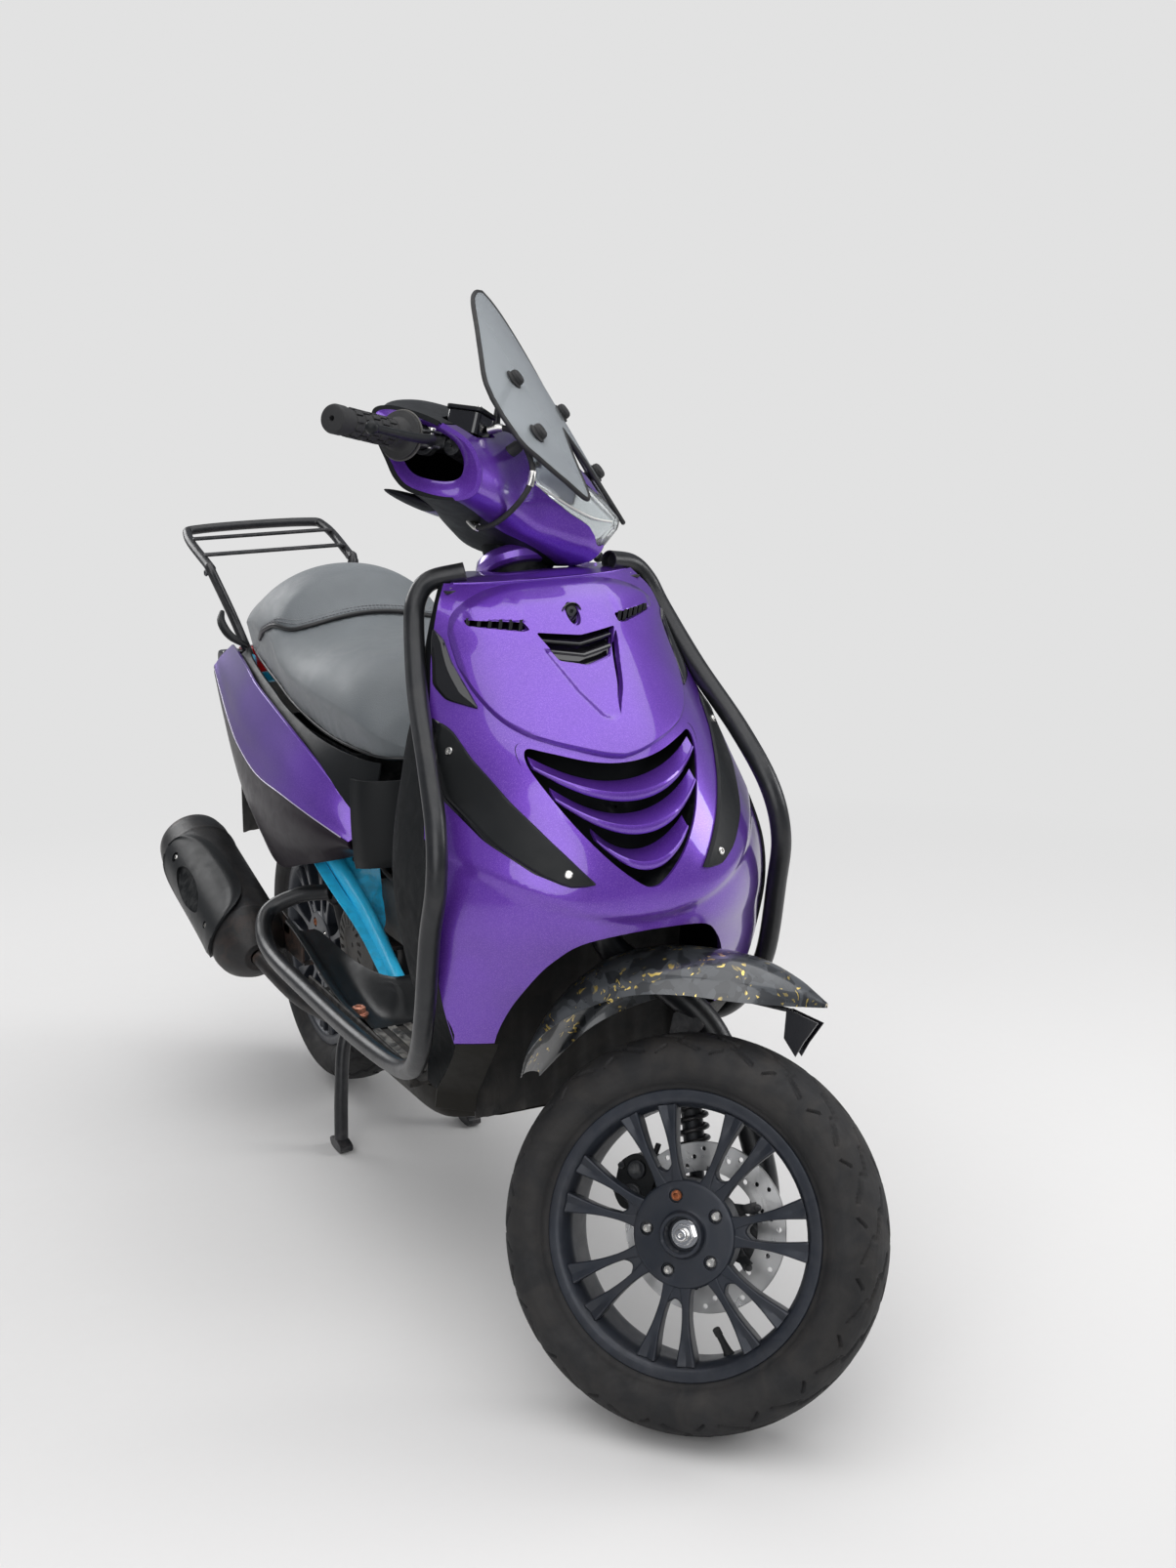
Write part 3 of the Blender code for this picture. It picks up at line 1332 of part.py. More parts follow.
def exhaust_pipe(can):
    route = smooth([
        (-0.040, 0.772, 0.3730), (-0.040, 0.774, 0.340), (-0.060, 0.778, 0.290), (-0.092, 0.800, 0.250),
        (-0.115, 0.850, 0.240), (-0.155, 0.935, 0.255),
        (MUFFLER_X, MUFFLER_FRONT[0] + 0.004, MUFFLER_FRONT[1] + 0.001),
    ], 3)
    pipe = solid("exhaust_pipe", tube(route, 0.014, 8))
    fit(pipe, can)
    return pipe


def muffler_axis():
    start = Vector((MUFFLER_X, *MUFFLER_FRONT))
    end = Vector((MUFFLER_X, *MUFFLER_REAR))
    return start, end


def muffler():
    start, end = muffler_axis()
    length = (end - start).length
    radius = MUFFLER_RADIUS
    wall = MUFFLER_WALL
    profile = [
        (0.0, 0.012), (0.0, 0.026), (0.045, radius), (length - 0.03, radius), (length, radius * 0.8),
        (length, 0.012), (length - wall, 0.012), (length - wall, radius * 0.8 - wall),
        (length - 0.03 - wall, radius - wall), (0.045 + wall, radius - wall), (wall, 0.026 - wall),
        (wall, 0.012),
    ]
    return solid("muffler", turned(profile, start, end - start, 24))


def muffler_guard():
    """The plastic guard on the muffler's outer side."""
    start, end = muffler_axis()
    direction = (end - start).normalized()
    side = Vector((-1, 0, 0))
    up = direction.cross(side).normalized()
    if up.z < 0:
        up = -up
    inner_radius = MUFFLER_RADIUS + 0.001
    front = []
    back = []
    for i in range(6):
        centre = start + direction * (0.075 + 0.050 * i)
        outer_row = []
        inner_row = []
        for j in range(9):
            angle = math.radians(-75 + 150 * j / 8)
            out = side * math.cos(angle) + up * math.sin(angle)
            outer_row.append(centre + out * (inner_radius + GUARD_WALL))
            inner_row.append(centre + out * inner_radius)
        front.append(outer_row)
        back.append(inner_row)
    return solid("muffler_guard", sheet(front, back))


def rack_height(back):
    share = (back - RACK_FRONT_Y) / (RACK_REAR_Y - RACK_FRONT_Y)
    return RACK_FRONT_Z + (RACK_REAR_Z - RACK_FRONT_Z) * share


def rear_rack(chassis):
    """A tube frame behind the seat with two flat straps across it and struts down to the rails."""
    side_y = (RACK_FRONT_Y, RACK_REAR_Y - 0.03)
    loop = smooth([
        (-RACK_HALF_WIDTH, side_y[0], rack_height(side_y[0])),
        (-RACK_HALF_WIDTH, side_y[1], rack_height(side_y[1])),
        (-RACK_HALF_WIDTH + 0.035, RACK_REAR_Y, RACK_REAR_Z),
        (RACK_HALF_WIDTH - 0.035, RACK_REAR_Y, RACK_REAR_Z),
        (RACK_HALF_WIDTH, side_y[1], rack_height(side_y[1])),
        (RACK_HALF_WIDTH, side_y[0], rack_height(side_y[0])),
    ], 3)
    shapes = [tube(loop, RACK_TUBE_RADIUS, 8)]
    for hand in (-1, 1):
        shapes.append(tube(
            [(hand * RACK_HALF_WIDTH, RACK_FRONT_Y + 0.004, rack_height(RACK_FRONT_Y)),
             (hand * 0.098, 1.394, 0.790), (hand * 0.080, 1.366, 0.7220)],
            RACK_TUBE_RADIUS, 8,
        ))
    for back in (RACK_FRONT_Y + 0.045, RACK_FRONT_Y + 0.115):
        z = rack_height(back)
        shapes.append(box(
            (-RACK_HALF_WIDTH, back - RACK_STRAP_WIDTH / 2, z + RACK_TUBE_RADIUS - RACK_STRAP_WALL),
            (RACK_HALF_WIDTH, back + RACK_STRAP_WIDTH / 2, z + RACK_TUBE_RADIUS),
        ))
    rack = union("rear_rack", *shapes)
    fit(rack, chassis)
    return rack


def tail_light():
    outline = [(1.4003, 0.668), (1.430, 0.672), (1.452, 0.690), (1.446, 0.728), (1.4003, 0.732)]
    return solid("tail_light", prism(outline, "X", -0.116, 0.116))


def rear_fender(lamp):
    """The black tail flap below the light, with the bracket for the number plate."""
    path = [(1.398, 0.676), (1.440, 0.664), (1.490, 0.602), (1.520, 0.500), (1.535, 0.380)]
    half = 0.070
    wall = 0.004
    front = [[(x, y, z) for x in (-half, 0.0, half)] for y, z in path]
    back = [[(x, y - wall, z - wall * 0.4) for x in (-half, 0.0, half)] for y, z in path]
    flap = solid("rear_fender", sheet(front, back))
    fit(flap, lamp)
    return flap


def number_plate():
    """A blank plate on the tail flap."""
    low = (1.531, 0.420)
    high = (1.523, 0.520)
    half = 0.065
    wall = 0.0015
    front = [[(x, y + wall, z) for x in (-half, half)] for y, z in (low, high)]
    back = [[(x, y, z) for x in (-half, half)] for y, z in (low, high)]
    return solid("number_plate", sheet(front, back))


def kick_lever():
    x = CASE_X + CASE_THICKNESS + SEAM
    boss = rod((x, 0.905, 0.285), (x + 0.022, 0.905, 0.285), 0.014, 12)
    arm = tube([(x + 0.014, 0.905, 0.285), (x + 0.016, 1.000, 0.235), (x + 0.020, 1.060, 0.222)], 0.008, 8)
    pedal = rod((x + 0.012, 1.060, 0.222), (x + 0.060, 1.060, 0.222), 0.010, 8)
    return union("kick_lever", boss, arm, pedal)


def centre_stand():
    """Two splayed legs on a sleeve round the engine's pin, with flat feet on the ground."""
    bore = STAND_PIN_RADIUS + RUNNING_GAP
    sleeve = turned(
        [(-STAND_SLEEVE, bore), (STAND_SLEEVE, bore), (STAND_SLEEVE, 0.014), (-STAND_SLEEVE, 0.014)],
        (0, STAND_PIVOT_Y, STAND_PIVOT_Z), sides=16,
    )
    shapes = [sleeve]
    for hand in (-1, 1):
        shapes.append(tube(
            [(hand * 0.036, STAND_PIVOT_Y, STAND_PIVOT_Z - 0.0125),
             (hand * 0.056, STAND_PIVOT_Y - 0.002, STAND_PIVOT_Z - 0.035),
             (hand * 0.085, STAND_PIVOT_Y - 0.005, STAND_PIVOT_Z - 0.068),
             (hand * STAND_FOOT_X, STAND_FOOT_Y, 0.016)],
            STAND_TUBE_RADIUS, 8,
        ))
        shapes.append(box((hand * STAND_FOOT_X - 0.011, STAND_FOOT_Y - 0.026, 0.0),
                          (hand * STAND_FOOT_X + 0.011, STAND_FOOT_Y + 0.026, 0.018)))
    stand = union("centre_stand", *shapes)
    pin_room = rod((-0.1, STAND_PIVOT_Y, STAND_PIVOT_Z), (0.1, STAND_PIVOT_Y, STAND_PIVOT_Z), bore, 16)
    return cut(stand, pin_room)


def make_materials():
    return {
        "purple": material("purple paint", (0.10, 0.03, 0.30), 0.22, 0.55),
        "black": material("black plastic", (0.020, 0.020, 0.022), 0.45),
        "matt": material("matt plastic", (0.030, 0.030, 0.032), 0.70),
        "rubber": material("rubber", (0.016, 0.016, 0.016), 0.85),
        "cast": material("dark cast alloy", (0.020, 0.024, 0.032), 0.45, 0.6),
        "steel": material("bright steel", (0.55, 0.55, 0.55), 0.30, 1.0),
        "tube": material("black tube", (0.015, 0.015, 0.016), 0.30, 0.5),
        "clear": material("clear lens", (0.75, 0.78, 0.80), 0.10),
        "smoke": material("smoked plastic", (0.020, 0.020, 0.022), 0.10),
        "composite": material("marbled composite", (0.040, 0.042, 0.045), 0.35),
        "blue": material("blue paint", (0.03, 0.10, 0.35), 0.40, 0.2),
        "vinyl": material("grey vinyl", (0.16, 0.16, 0.17), 0.60),
        "alloy": material("grey alloy", (0.30, 0.30, 0.31), 0.50, 0.8),
        "red": material("red lens", (0.45, 0.02, 0.02), 0.15),
        "white": material("blank plate", (0.75, 0.75, 0.72), 0.45),
    }


def build_steered():
    bar = handlebar_tube()
    reservoir = brake_reservoir()
    housing = switch_housing()
    levers = {"right": lever("lever_right", -1), "left": lever("lever_left", 1)}
    lamp = headlight()
    covers = handlebar_covers(bar, lamp)
    screen = windshield()
    hose = brake_hose((reservoir, covers["handlebar_cover_front"], covers["handlebar_cover_rear"]))
    stem = steering_stem()
    fender = front_fender()
    clear_of(fender, stem)
    arm = suspension_arm()
    shock = front_shock((arm, stem))
    pieces = {
        "steering_stem": (stem, "tube"),
        "suspension_arm": (arm, "cast"),
        "front_shock": (shock, "black"),
        "caliper": (caliper(arm), "black"),
        "front_fender": (fender, "composite"),
        "handlebar_tube": (bar, "tube"),
        "brake_reservoir": (reservoir, "black"),
        "switch_housing": (housing, "black"),
        "handlebar_cover_front": (covers["handlebar_cover_front"], "purple"),
        "handlebar_cover_rear": (covers["handlebar_cover_rear"], "black"),
        "headlight": (lamp, "clear"),
        "windshield": (screen, "smoke"),
        "brake_hose": (hose, "rubber"),
    }
    for side, hand in (("right", -1), ("left", 1)):
        pieces[f"grip_{side}"] = (grip(f"grip_{side}", hand), "rubber")
        pieces[f"lever_{side}"] = (levers[side], "black")
        mount = screen_mount(f"screen_mount_{side}", hand, screen, covers["handlebar_cover_front"])
        pieces[f"screen_mount_{side}"] = (mount, "rubber")
    return pieces


def build_fixed():
    shield = front_shield()
    nose = nose_cover()
    chassis = frame()
    leg_shield = inner_leg_shield()
    floor = footboard(chassis)
    case = transmission_case()
    lamp = tail_light()
    can = muffler()
    pieces = {
        "front_shield": (shield, "purple"),
        "nose_cover": (nose, "purple"),
        "inner_leg_shield": (leg_shield, "matt"),
        "wheel_arch_liner": (wheel_arch_liner(chassis), "matt"),
        "frame": (chassis, "blue"),
        "lower_fairing": (lower_fairing(), "matt"),
        "footboard": (floor, "matt"),
        "luggage_box": (luggage_box(), "black"),
        "under_seat_panel": (under_seat_panel(), "matt"),
        "engine_block": (engine_block(chassis), "alloy"),
        "cylinder_cowl": (cylinder_cowl(), "alloy"),
        "fan_cover": (fan_cover(), "alloy"),
        "transmission_case": (case, "alloy"),
        "rear_brake_drum": (rear_brake_drum(), "cast"),
        "air_filter_box": (air_filter_box(case), "black"),
        "rear_shock": (rear_shock((case, chassis)), "black"),
        "exhaust_pipe": (exhaust_pipe(can), "tube"),
        "muffler": (can, "tube"),
        "muffler_guard": (muffler_guard(), "black"),
        "rear_rack": (rear_rack(chassis), "tube"),
        "tail_light": (lamp, "red"),
        "rear_fender": (rear_fender(lamp), "matt"),
        "number_plate": (number_plate(), "white"),
        "kick_lever": (kick_lever(), "tube"),
    }
    for side, hand in (("right", -1), ("left", 1)):
        pieces[f"signal_cover_{side}"] = (
            shield_patch(f"signal_cover_{side}", SIGNAL_COVER_ROWS, hand, 0.003, PATCH_GAP), "black")
        pieces[f"indicator_{side}"] = (
            shield_patch(f"indicator_{side}", INDICATOR_ROWS, hand, 0.008, PATCH_GAP / 2), "smoke")
        pieces[f"crash_bar_{side}"] = (
            crash_bar(f"crash_bar_{side}", hand, (shield, nose, leg_shield, floor)), "tube")
        pieces[f"side_panel_{side}"] = (side_panel(f"side_panel_{side}", hand, chassis), "purple")
    return pieces


def empty(name, place, parent=None):
    made = bpy.data.objects.new(name, None)
    bpy.context.scene.collection.objects.link(made)
    made.empty_display_size = 0.05
    made.location = place
    made.parent = parent
    return made


def attach(pieces, parent, place, materials):
    """Parents finished pieces to the empty that stands for a place in the straight-ahead model."""
    for obj, finish in pieces.values():
        obj.data.materials.clear()
        obj.data.materials.append(materials[finish])
        obj.data.shade_smooth()
        obj.data.set_sharp_from_angle(angle=math.radians(35))
        obj.parent = parent
        obj.matrix_parent_inverse = Matrix.Translation(-Vector(place))


def main():
    remove_all_objects()
    materials = make_materials()
    origin = Vector((BOX_CENTRE_X, BOX_CENTRE_Y, 0))
    scooter = empty("scooter", -origin)
    steering = empty("steering_axis", STEERING_POINT, scooter)
    steering.rotation_mode = "QUATERNION"
    steering.rotation_quaternion = Matrix.Rotation(STEER_REST, 3, STEERING_AXIS).to_quaternion()
    front_axle = empty("front_axle", FRONT_AXLE - STEERING_POINT, steering)
    rear_axle = empty("rear_axle", REAR_AXLE, scooter)
    stand_pivot = Vector((0, STAND_PIVOT_Y, STAND_PIVOT_Z))
    stand = empty("stand_pivot", stand_pivot, scooter)
    seat_hinge = Vector((0, SEAT_HINGE_Y, SEAT_HINGE_Z))
    hinge = empty("seat_hinge", seat_hinge, scooter)

    front = front_wheel()
    rear = rear_wheel()
    attach(build_fixed(), scooter, (0, 0, 0), materials)
    attach(build_steered(), steering, STEERING_POINT, materials)
    attach(
        {"front_rim": (front["front_rim"], "cast"), "front_tyre": (front["front_tyre"], "rubber"),
         "front_disc": (front["front_disc"], "steel")},
        front_axle, FRONT_AXLE, materials,
    )
    attach(
        {"rear_rim": (rear["rear_rim"], "cast"), "rear_tyre": (rear["rear_tyre"], "rubber")},
        rear_axle, REAR_AXLE, materials,
    )
    attach({"centre_stand": (centre_stand(), "tube")}, stand, stand_pivot, materials)
    attach({"seat": (seat(), "vinyl")}, hinge, seat_hinge, materials)


main()
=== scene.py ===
"""A light motor scooter on its centre stand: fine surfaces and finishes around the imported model."""

import json
import math

import bmesh
import bpy
import numpy as np
from mathutils import Matrix, Vector


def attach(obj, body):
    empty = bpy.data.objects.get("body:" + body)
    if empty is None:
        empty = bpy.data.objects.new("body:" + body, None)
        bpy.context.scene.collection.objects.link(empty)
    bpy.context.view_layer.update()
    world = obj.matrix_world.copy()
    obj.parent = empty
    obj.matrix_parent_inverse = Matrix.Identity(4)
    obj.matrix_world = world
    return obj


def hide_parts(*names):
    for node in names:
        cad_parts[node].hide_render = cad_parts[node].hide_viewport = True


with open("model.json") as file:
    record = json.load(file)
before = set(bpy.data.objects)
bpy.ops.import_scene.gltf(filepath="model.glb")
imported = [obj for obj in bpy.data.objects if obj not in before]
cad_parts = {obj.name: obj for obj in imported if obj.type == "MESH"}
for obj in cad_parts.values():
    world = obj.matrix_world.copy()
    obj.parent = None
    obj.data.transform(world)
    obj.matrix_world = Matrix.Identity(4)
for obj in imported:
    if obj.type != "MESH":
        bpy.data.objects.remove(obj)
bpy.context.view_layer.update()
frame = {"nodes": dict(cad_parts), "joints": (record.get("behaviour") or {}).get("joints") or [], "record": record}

# Places, from the frame
JOINTS = {joint["name"]: joint for joint in frame["joints"]}
STEERING = JOINTS["steering"]
STEERING_GROUND_Y = -0.078
STEERING_POINT = Vector((0, STEERING_GROUND_Y, 0))
STEERING_AXIS = Vector(STEERING["axis"])
STEER_REST = -math.radians(STEERING["range_deg"][0]) / 2
ORIGIN = Vector(STEERING["pos_m"]) - STEERING_POINT
STRAIGHT = Matrix.Translation(ORIGIN)
TURNED = (
    Matrix.Translation(Vector(STEERING["pos_m"]))
    @ Matrix.Rotation(STEER_REST, 4, STEERING_AXIS)
    @ Matrix.Translation(-STEERING_POINT)
)
PLACES = {
    "chassis": STRAIGHT, "rear_wheel": STRAIGHT, "stand": STRAIGHT, "seat_lid": STRAIGHT,
    "steered_front": TURNED, "front_wheel": TURNED,
}
FRONT_AXLE = TURNED.inverted() @ Vector(JOINTS["front_wheel_spin"]["pos_m"])
REAR_AXLE = Vector(JOINTS["rear_wheel_spin"]["pos_m"]) - ORIGIN
SIDES = (("right", -1), ("left", 1))


# Shapes

def box(low, high):
    verts = [(x, y, z) for x in (low[0], high[0]) for y in (low[1], high[1]) for z in (low[2], high[2])]
    faces = [(0, 1, 3, 2), (4, 6, 7, 5), (0, 4, 5, 1), (2, 3, 7, 6), (0, 2, 6, 4), (1, 5, 7, 3)]
    return verts, faces


def prism(outline, axis, low, high):
    """An outline of two coordinates, in the order of the other two axes, extruded along one axis."""
    def at(point, height):
        values = list(point)
        values.insert("XYZ".index(axis), height)
        return tuple(values)

    count = len(outline)
    verts = [at(point, low) for point in outline] + [at(point, high) for point in outline]
    faces = [tuple(range(count)), tuple(range(count, 2 * count))]
    faces += [(i, (i + 1) % count, (i + 1) % count + count, i + count) for i in range(count)]
    return verts, faces


def circle(count, start=0.0):
    """The angles of even steps round a full turn."""
    return [start + 2 * math.pi * k / count for k in range(count)]


def frame_along(direction):
    """Two directions square to the given one and to each other."""
    direction = direction.normalized()
    helper = Vector((1, 0, 0)) if abs(direction.x) < 0.9 else Vector((0, 0, 1))
    side = direction.cross(helper).normalized()
    return side, direction.cross(side).normalized()


def bridge(rings, closed=False, capped=True):
    """Quads between rings of equal count, with flat ends unless the rings close on themselves."""
    count = len(rings[0])
    verts = [vert for loop in rings for vert in loop]
    faces = []
    spans = len(rings) if closed else len(rings) - 1
    for row in range(spans):
        near = row * count
        far = (row + 1) % len(rings) * count
        for i in range(count):
            j = (i + 1) % count
            faces.append((near + i, near + j, far + j, far + i))
    if capped and not closed:
        faces.append(tuple(range(count)))
        faces.append(tuple(range(len(verts) - count, len(verts))))
    return verts, faces


def tube(points, radius, sides=16):
    """A round bar through the points, with its section carried along without twist."""
    points = [Vector(point) for point in points]
    radii = radius if isinstance(radius, (list, tuple)) else [radius] * len(points)
    side, up = frame_along(points[1] - points[0])
    rings = []
    for i, point in enumerate(points):
        ahead = points[min(i + 1, len(points) - 1)] - point
        behind = point - points[max(i - 1, 0)]
        direction = (ahead.normalized() + behind.normalized()).normalized()
        up = direction.cross(side).normalized()
        side = up.cross(direction).normalized()
        rings.append([point + (side * math.cos(a) + up * math.sin(a)) * radii[i] for a in circle(sides)])
    return bridge(rings)


def smooth(points, steps=8):
    """Points on a Catmull-Rom curve through the given ones."""
    points = [Vector(point) for point in points]
    ends = [points[0] * 2 - points[1], *points, points[-1] * 2 - points[-2]]
    curve = []
    for i in range(1, len(ends) - 2):
        a, b, c, d = ends[i - 1 : i + 3]
        for k in range(steps):
            t = k / steps
            curve.append(
                0.5 * (2 * b + (c - a) * t + (2 * a - 5 * b + 4 * c - d) * t**2
                       + (3 * b - a - 3 * c + d) * t**3)
            )
    curve.append(points[-1])
    return curve


def smooth_loop(points, steps=6):
    """A closed Catmull-Rom outline through two-coordinate points."""
    count = len(points)
    curve = []
    for i in range(count):
        a, b, c, d = (Vector(points[(i + k) % count]) for k in (-1, 0, 1, 2))
        for k in range(steps):
            t = k / steps
            curve.append(tuple(
                0.5 * (2 * b + (c - a) * t + (2 * a - 5 * b + 4 * c - d) * t**2
                       + (3 * b - a - 3 * c + d) * t**3)
            ))
    return curve


def rounded(points, radius, steps=4):
    """A closed outline whose corners are rounded with short arcs."""
    result = []
    count = len(points)
    for i in range(count):
        before, corner, after = (Vector(points[(i + k) % count]) for k in (-1, 0, 1))
        into = before - corner
        out = after - corner
        reach = min(radius, into.length * 0.45, out.length * 0.45)
        start = corner + into.normalized() * reach
        end = corner + out.normalized() * reach
        for k in range(steps + 1):
            t = k / steps
            result.append(tuple(start * (1 - t) ** 2 + corner * 2 * t * (1 - t) + end * t**2))
    return result


def rounded_rectangle(low, high, radius, steps=4):
    """A rounded rectangle between two corners; only their first two coordinates count."""
    return rounded([(low[0], low[1]), (high[0], low[1]), (high[0], high[1]), (low[0], high[1])], radius,
                   steps)


def turned(profile, centre, direction=(1, 0, 0), sides=48):
    """A closed profile of (distance along, radius) turned about an axis through the centre."""
    centre = Vector(centre)
    direction = Vector(direction).normalized()
    side, up = frame_along(direction)
    rings = []
    for angle in circle(sides):
        out = side * math.cos(angle) + up * math.sin(angle)
        rings.append([centre + direction * along + out * radius for along, radius in profile])
    return bridge(rings, closed=True)


def rod(start, end, radius, sides=24):
    return tube([start, end], radius, sides)


def sheet(front, back):
    """A closed shell between two grids of points of the same size."""
    rows = len(front)
    columns = len(front[0])
    verts = [vert for row in front for vert in row] + [vert for row in back for vert in row]
    half = rows * columns
    faces = []
    for i in range(rows - 1):
        for j in range(columns - 1):
            a = i * columns + j
            faces.append((a, a + 1, a + 1 + columns, a + columns))
            faces.append((a + half, a + columns + half, a + 1 + columns + half, a + 1 + half))
    edge = [(0, j) for j in range(columns)]
    edge += [(i, columns - 1) for i in range(1, rows)]
    edge += [(rows - 1, j) for j in range(columns - 2, -1, -1)]
    edge += [(i, 0) for i in range(rows - 2, 0, -1)]
    loop = [i * columns + j for i, j in edge]
    for a, b in zip(loop, loop[1:] + loop[:1]):
        faces.append((a, b, b + half, a + half))
    return verts, faces


def coil(start, end, radius, wire, turns, sides=10, steps=22):
    """A spring's wire wound round the line from start to end."""
    start, end = Vector(start), Vector(end)
    direction = (end - start).normalized()
    side, up = frame_along(direction)
    points = []
    count = int(turns * steps)
    for i in range(count + 1):
        angle = 2 * math.pi * i / steps
        out = side * math.cos(angle) + up * math.sin(angle)
        points.append(start.lerp(end, i / count) + out * radius)
    return tube(points, wire, sides)


def hexagon(radius):
    return [(radius * math.cos(a), radius * math.sin(a)) for a in circle(6)]


def at_key(rows, key):
    """A smooth reading of a table whose first column falls or rises steadily."""
    rows = sorted(rows)
    key = min(max(key, rows[0][0]), rows[-1][0])
    index = max(i for i in range(len(rows) - 1) if rows[i][0] <= key)
    low, high = rows[index], rows[index + 1]
    before = rows[max(index - 1, 0)]
    after = rows[min(index + 2, len(rows) - 1)]
    span = high[0] - low[0]
    t = (key - low[0]) / span
    values = []
    for column in range(1, len(low)):
        enter = (high[column] - before[column]) / (high[0] - before[0]) * span
        leave = (after[column] - low[column]) / (after[0] - low[0]) * span
        values.append(
            low[column] * (2 * t**3 - 3 * t**2 + 1) + enter * (t**3 - 2 * t**2 + t)
            + high[column] * (3 * t**2 - 2 * t**3) + leave * (t**3 - t**2)
        )
    return values


def steps_between(low, high, count):
    return [low + (high - low) * i / count for i in range(count + 1)]


def on_steering_axis(height):
    return STEERING_POINT + STEERING_AXIS * (height / STEERING_AXIS.z)


# Pieces

SHARP_ANGLE = math.radians(38)


def new_object(name, *shapes):
    """One object of one or more shapes, with its faces pointing out."""
    work = bmesh.new()
    for verts, faces in shapes:
        made = [work.verts.new(vert) for vert in verts]
        for face in faces:
            work.faces.new([made[i] for i in face])
    bmesh.ops.recalc_face_normals(work, faces=work.faces)
    mesh = bpy.data.meshes.new(name)
    work.to_mesh(mesh)
    work.free()
    obj = bpy.data.objects.new(name, mesh)
    bpy.context.scene.collection.objects.link(obj)
    return obj


def combine(target, tool, operation):
    """Applies one exact Boolean to the target and removes the tool."""
    modifier = target.modifiers.new(operation, "BOOLEAN")
    modifier.operation = operation
    modifier.solver = "EXACT"
    modifier.object = tool
    apply_modifiers(target)
    bpy.data.objects.remove(tool)
    return target


def apply_modifiers(obj):
    depsgraph = bpy.context.evaluated_depsgraph_get()
    result = bpy.data.meshes.new_from_object(obj.evaluated_get(depsgraph))
    obj.modifiers.clear()
    before = obj.data
    obj.data = result
    bpy.data.meshes.remove(before)


def cut(target, *shapes):
    for shape in shapes:
        combine(target, new_object("cutter", shape), "DIFFERENCE")
    return target


def soften(obj, width, segments=2, angle=32):
    """Rounds the hard edges."""
    bevel = obj.modifiers.new("edges", "BEVEL")
    bevel.width = width
    bevel.segments = segments
    bevel.limit_method = "ANGLE"
    bevel.angle_limit = math.radians(angle)
    bevel.use_clamp_overlap = True
    obj.modifiers.new("normals", "WEIGHTED_NORMAL").keep_sharp = True
    return obj


def place(obj, body, finish, replaces=(), edge=0.0, segments=2, angle=32):
    """Puts a piece made in the straight-ahead model where its body rests, with its finish."""
    obj.data.materials.clear()
    obj.data.materials.append(finish)
    obj.data.shade_smooth()
    if edge:
        soften(obj, edge, segments, angle)
    else:
        obj.data.set_sharp_from_angle(angle=SHARP_ANGLE)
    obj.matrix_world = PLACES[body]
    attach(obj, body)
    if replaces:
        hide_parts(*([replaces] if isinstance(replaces, str) else replaces))
    return obj


# Finishes

DUST = (0.20, 0.17, 0.14)


def node(tree, kind, inputs=None, **settings):
    """Adds a shader node; an input is a value, or another node's socket to link."""
    made = tree.nodes.new(kind)
    for key, value in settings.items():
        setattr(made, key, value)
    for key, value in (inputs or {}).items():
        if isinstance(value, bpy.types.NodeSocket):
            tree.links.new(value, made.inputs[key])
        else:
            made.inputs[key].default_value = value
    return made


def place_on(tree):
    return node(tree, "ShaderNodeTexCoord").outputs["Object"]


def noise(tree, scale, detail=3.0, distortion=0.0):
    return node(tree, "ShaderNodeTexNoise", {
        "Vector": place_on(tree), "Scale": scale, "Detail": detail, "Distortion": distortion,
    }).outputs["Fac"]


def spread(tree, value, low, high, to_low=0.0, to_high=1.0):
    return node(tree, "ShaderNodeMapRange", {
        "Value": value, "From Min": low, "From Max": high, "To Min": to_low, "To Max": to_high,
    }, clamp=True).outputs["Result"]


def mixed(tree, share, first, second):
    made = node(tree, "ShaderNodeMix", {"Factor": share}, data_type="RGBA")
    for socket, value in ((made.inputs[6], first), (made.inputs[7], second)):
        if isinstance(value, bpy.types.NodeSocket):
            tree.links.new(value, socket)
        else:
            socket.default_value = (*value, 1.0)
    return made.outputs[2]


def calculated(tree, operation, first, second):
    return node(tree, "ShaderNodeMath", {0: first, 1: second}, operation=operation).outputs[0]


def shaded(colour, factor):
    return tuple(min(1.0, value * factor) for value in colour)


def bumped(tree, layers):
    """A chain of bumps from (height socket, distance in metres)."""
    normal = None
    for height, distance in layers:
        inputs = {"Height": height, "Strength": 1.0, "Distance": distance}
        if normal:
            inputs["Normal"] = normal
        normal = node(tree, "ShaderNodeBump", inputs).outputs["Normal"]
    return normal


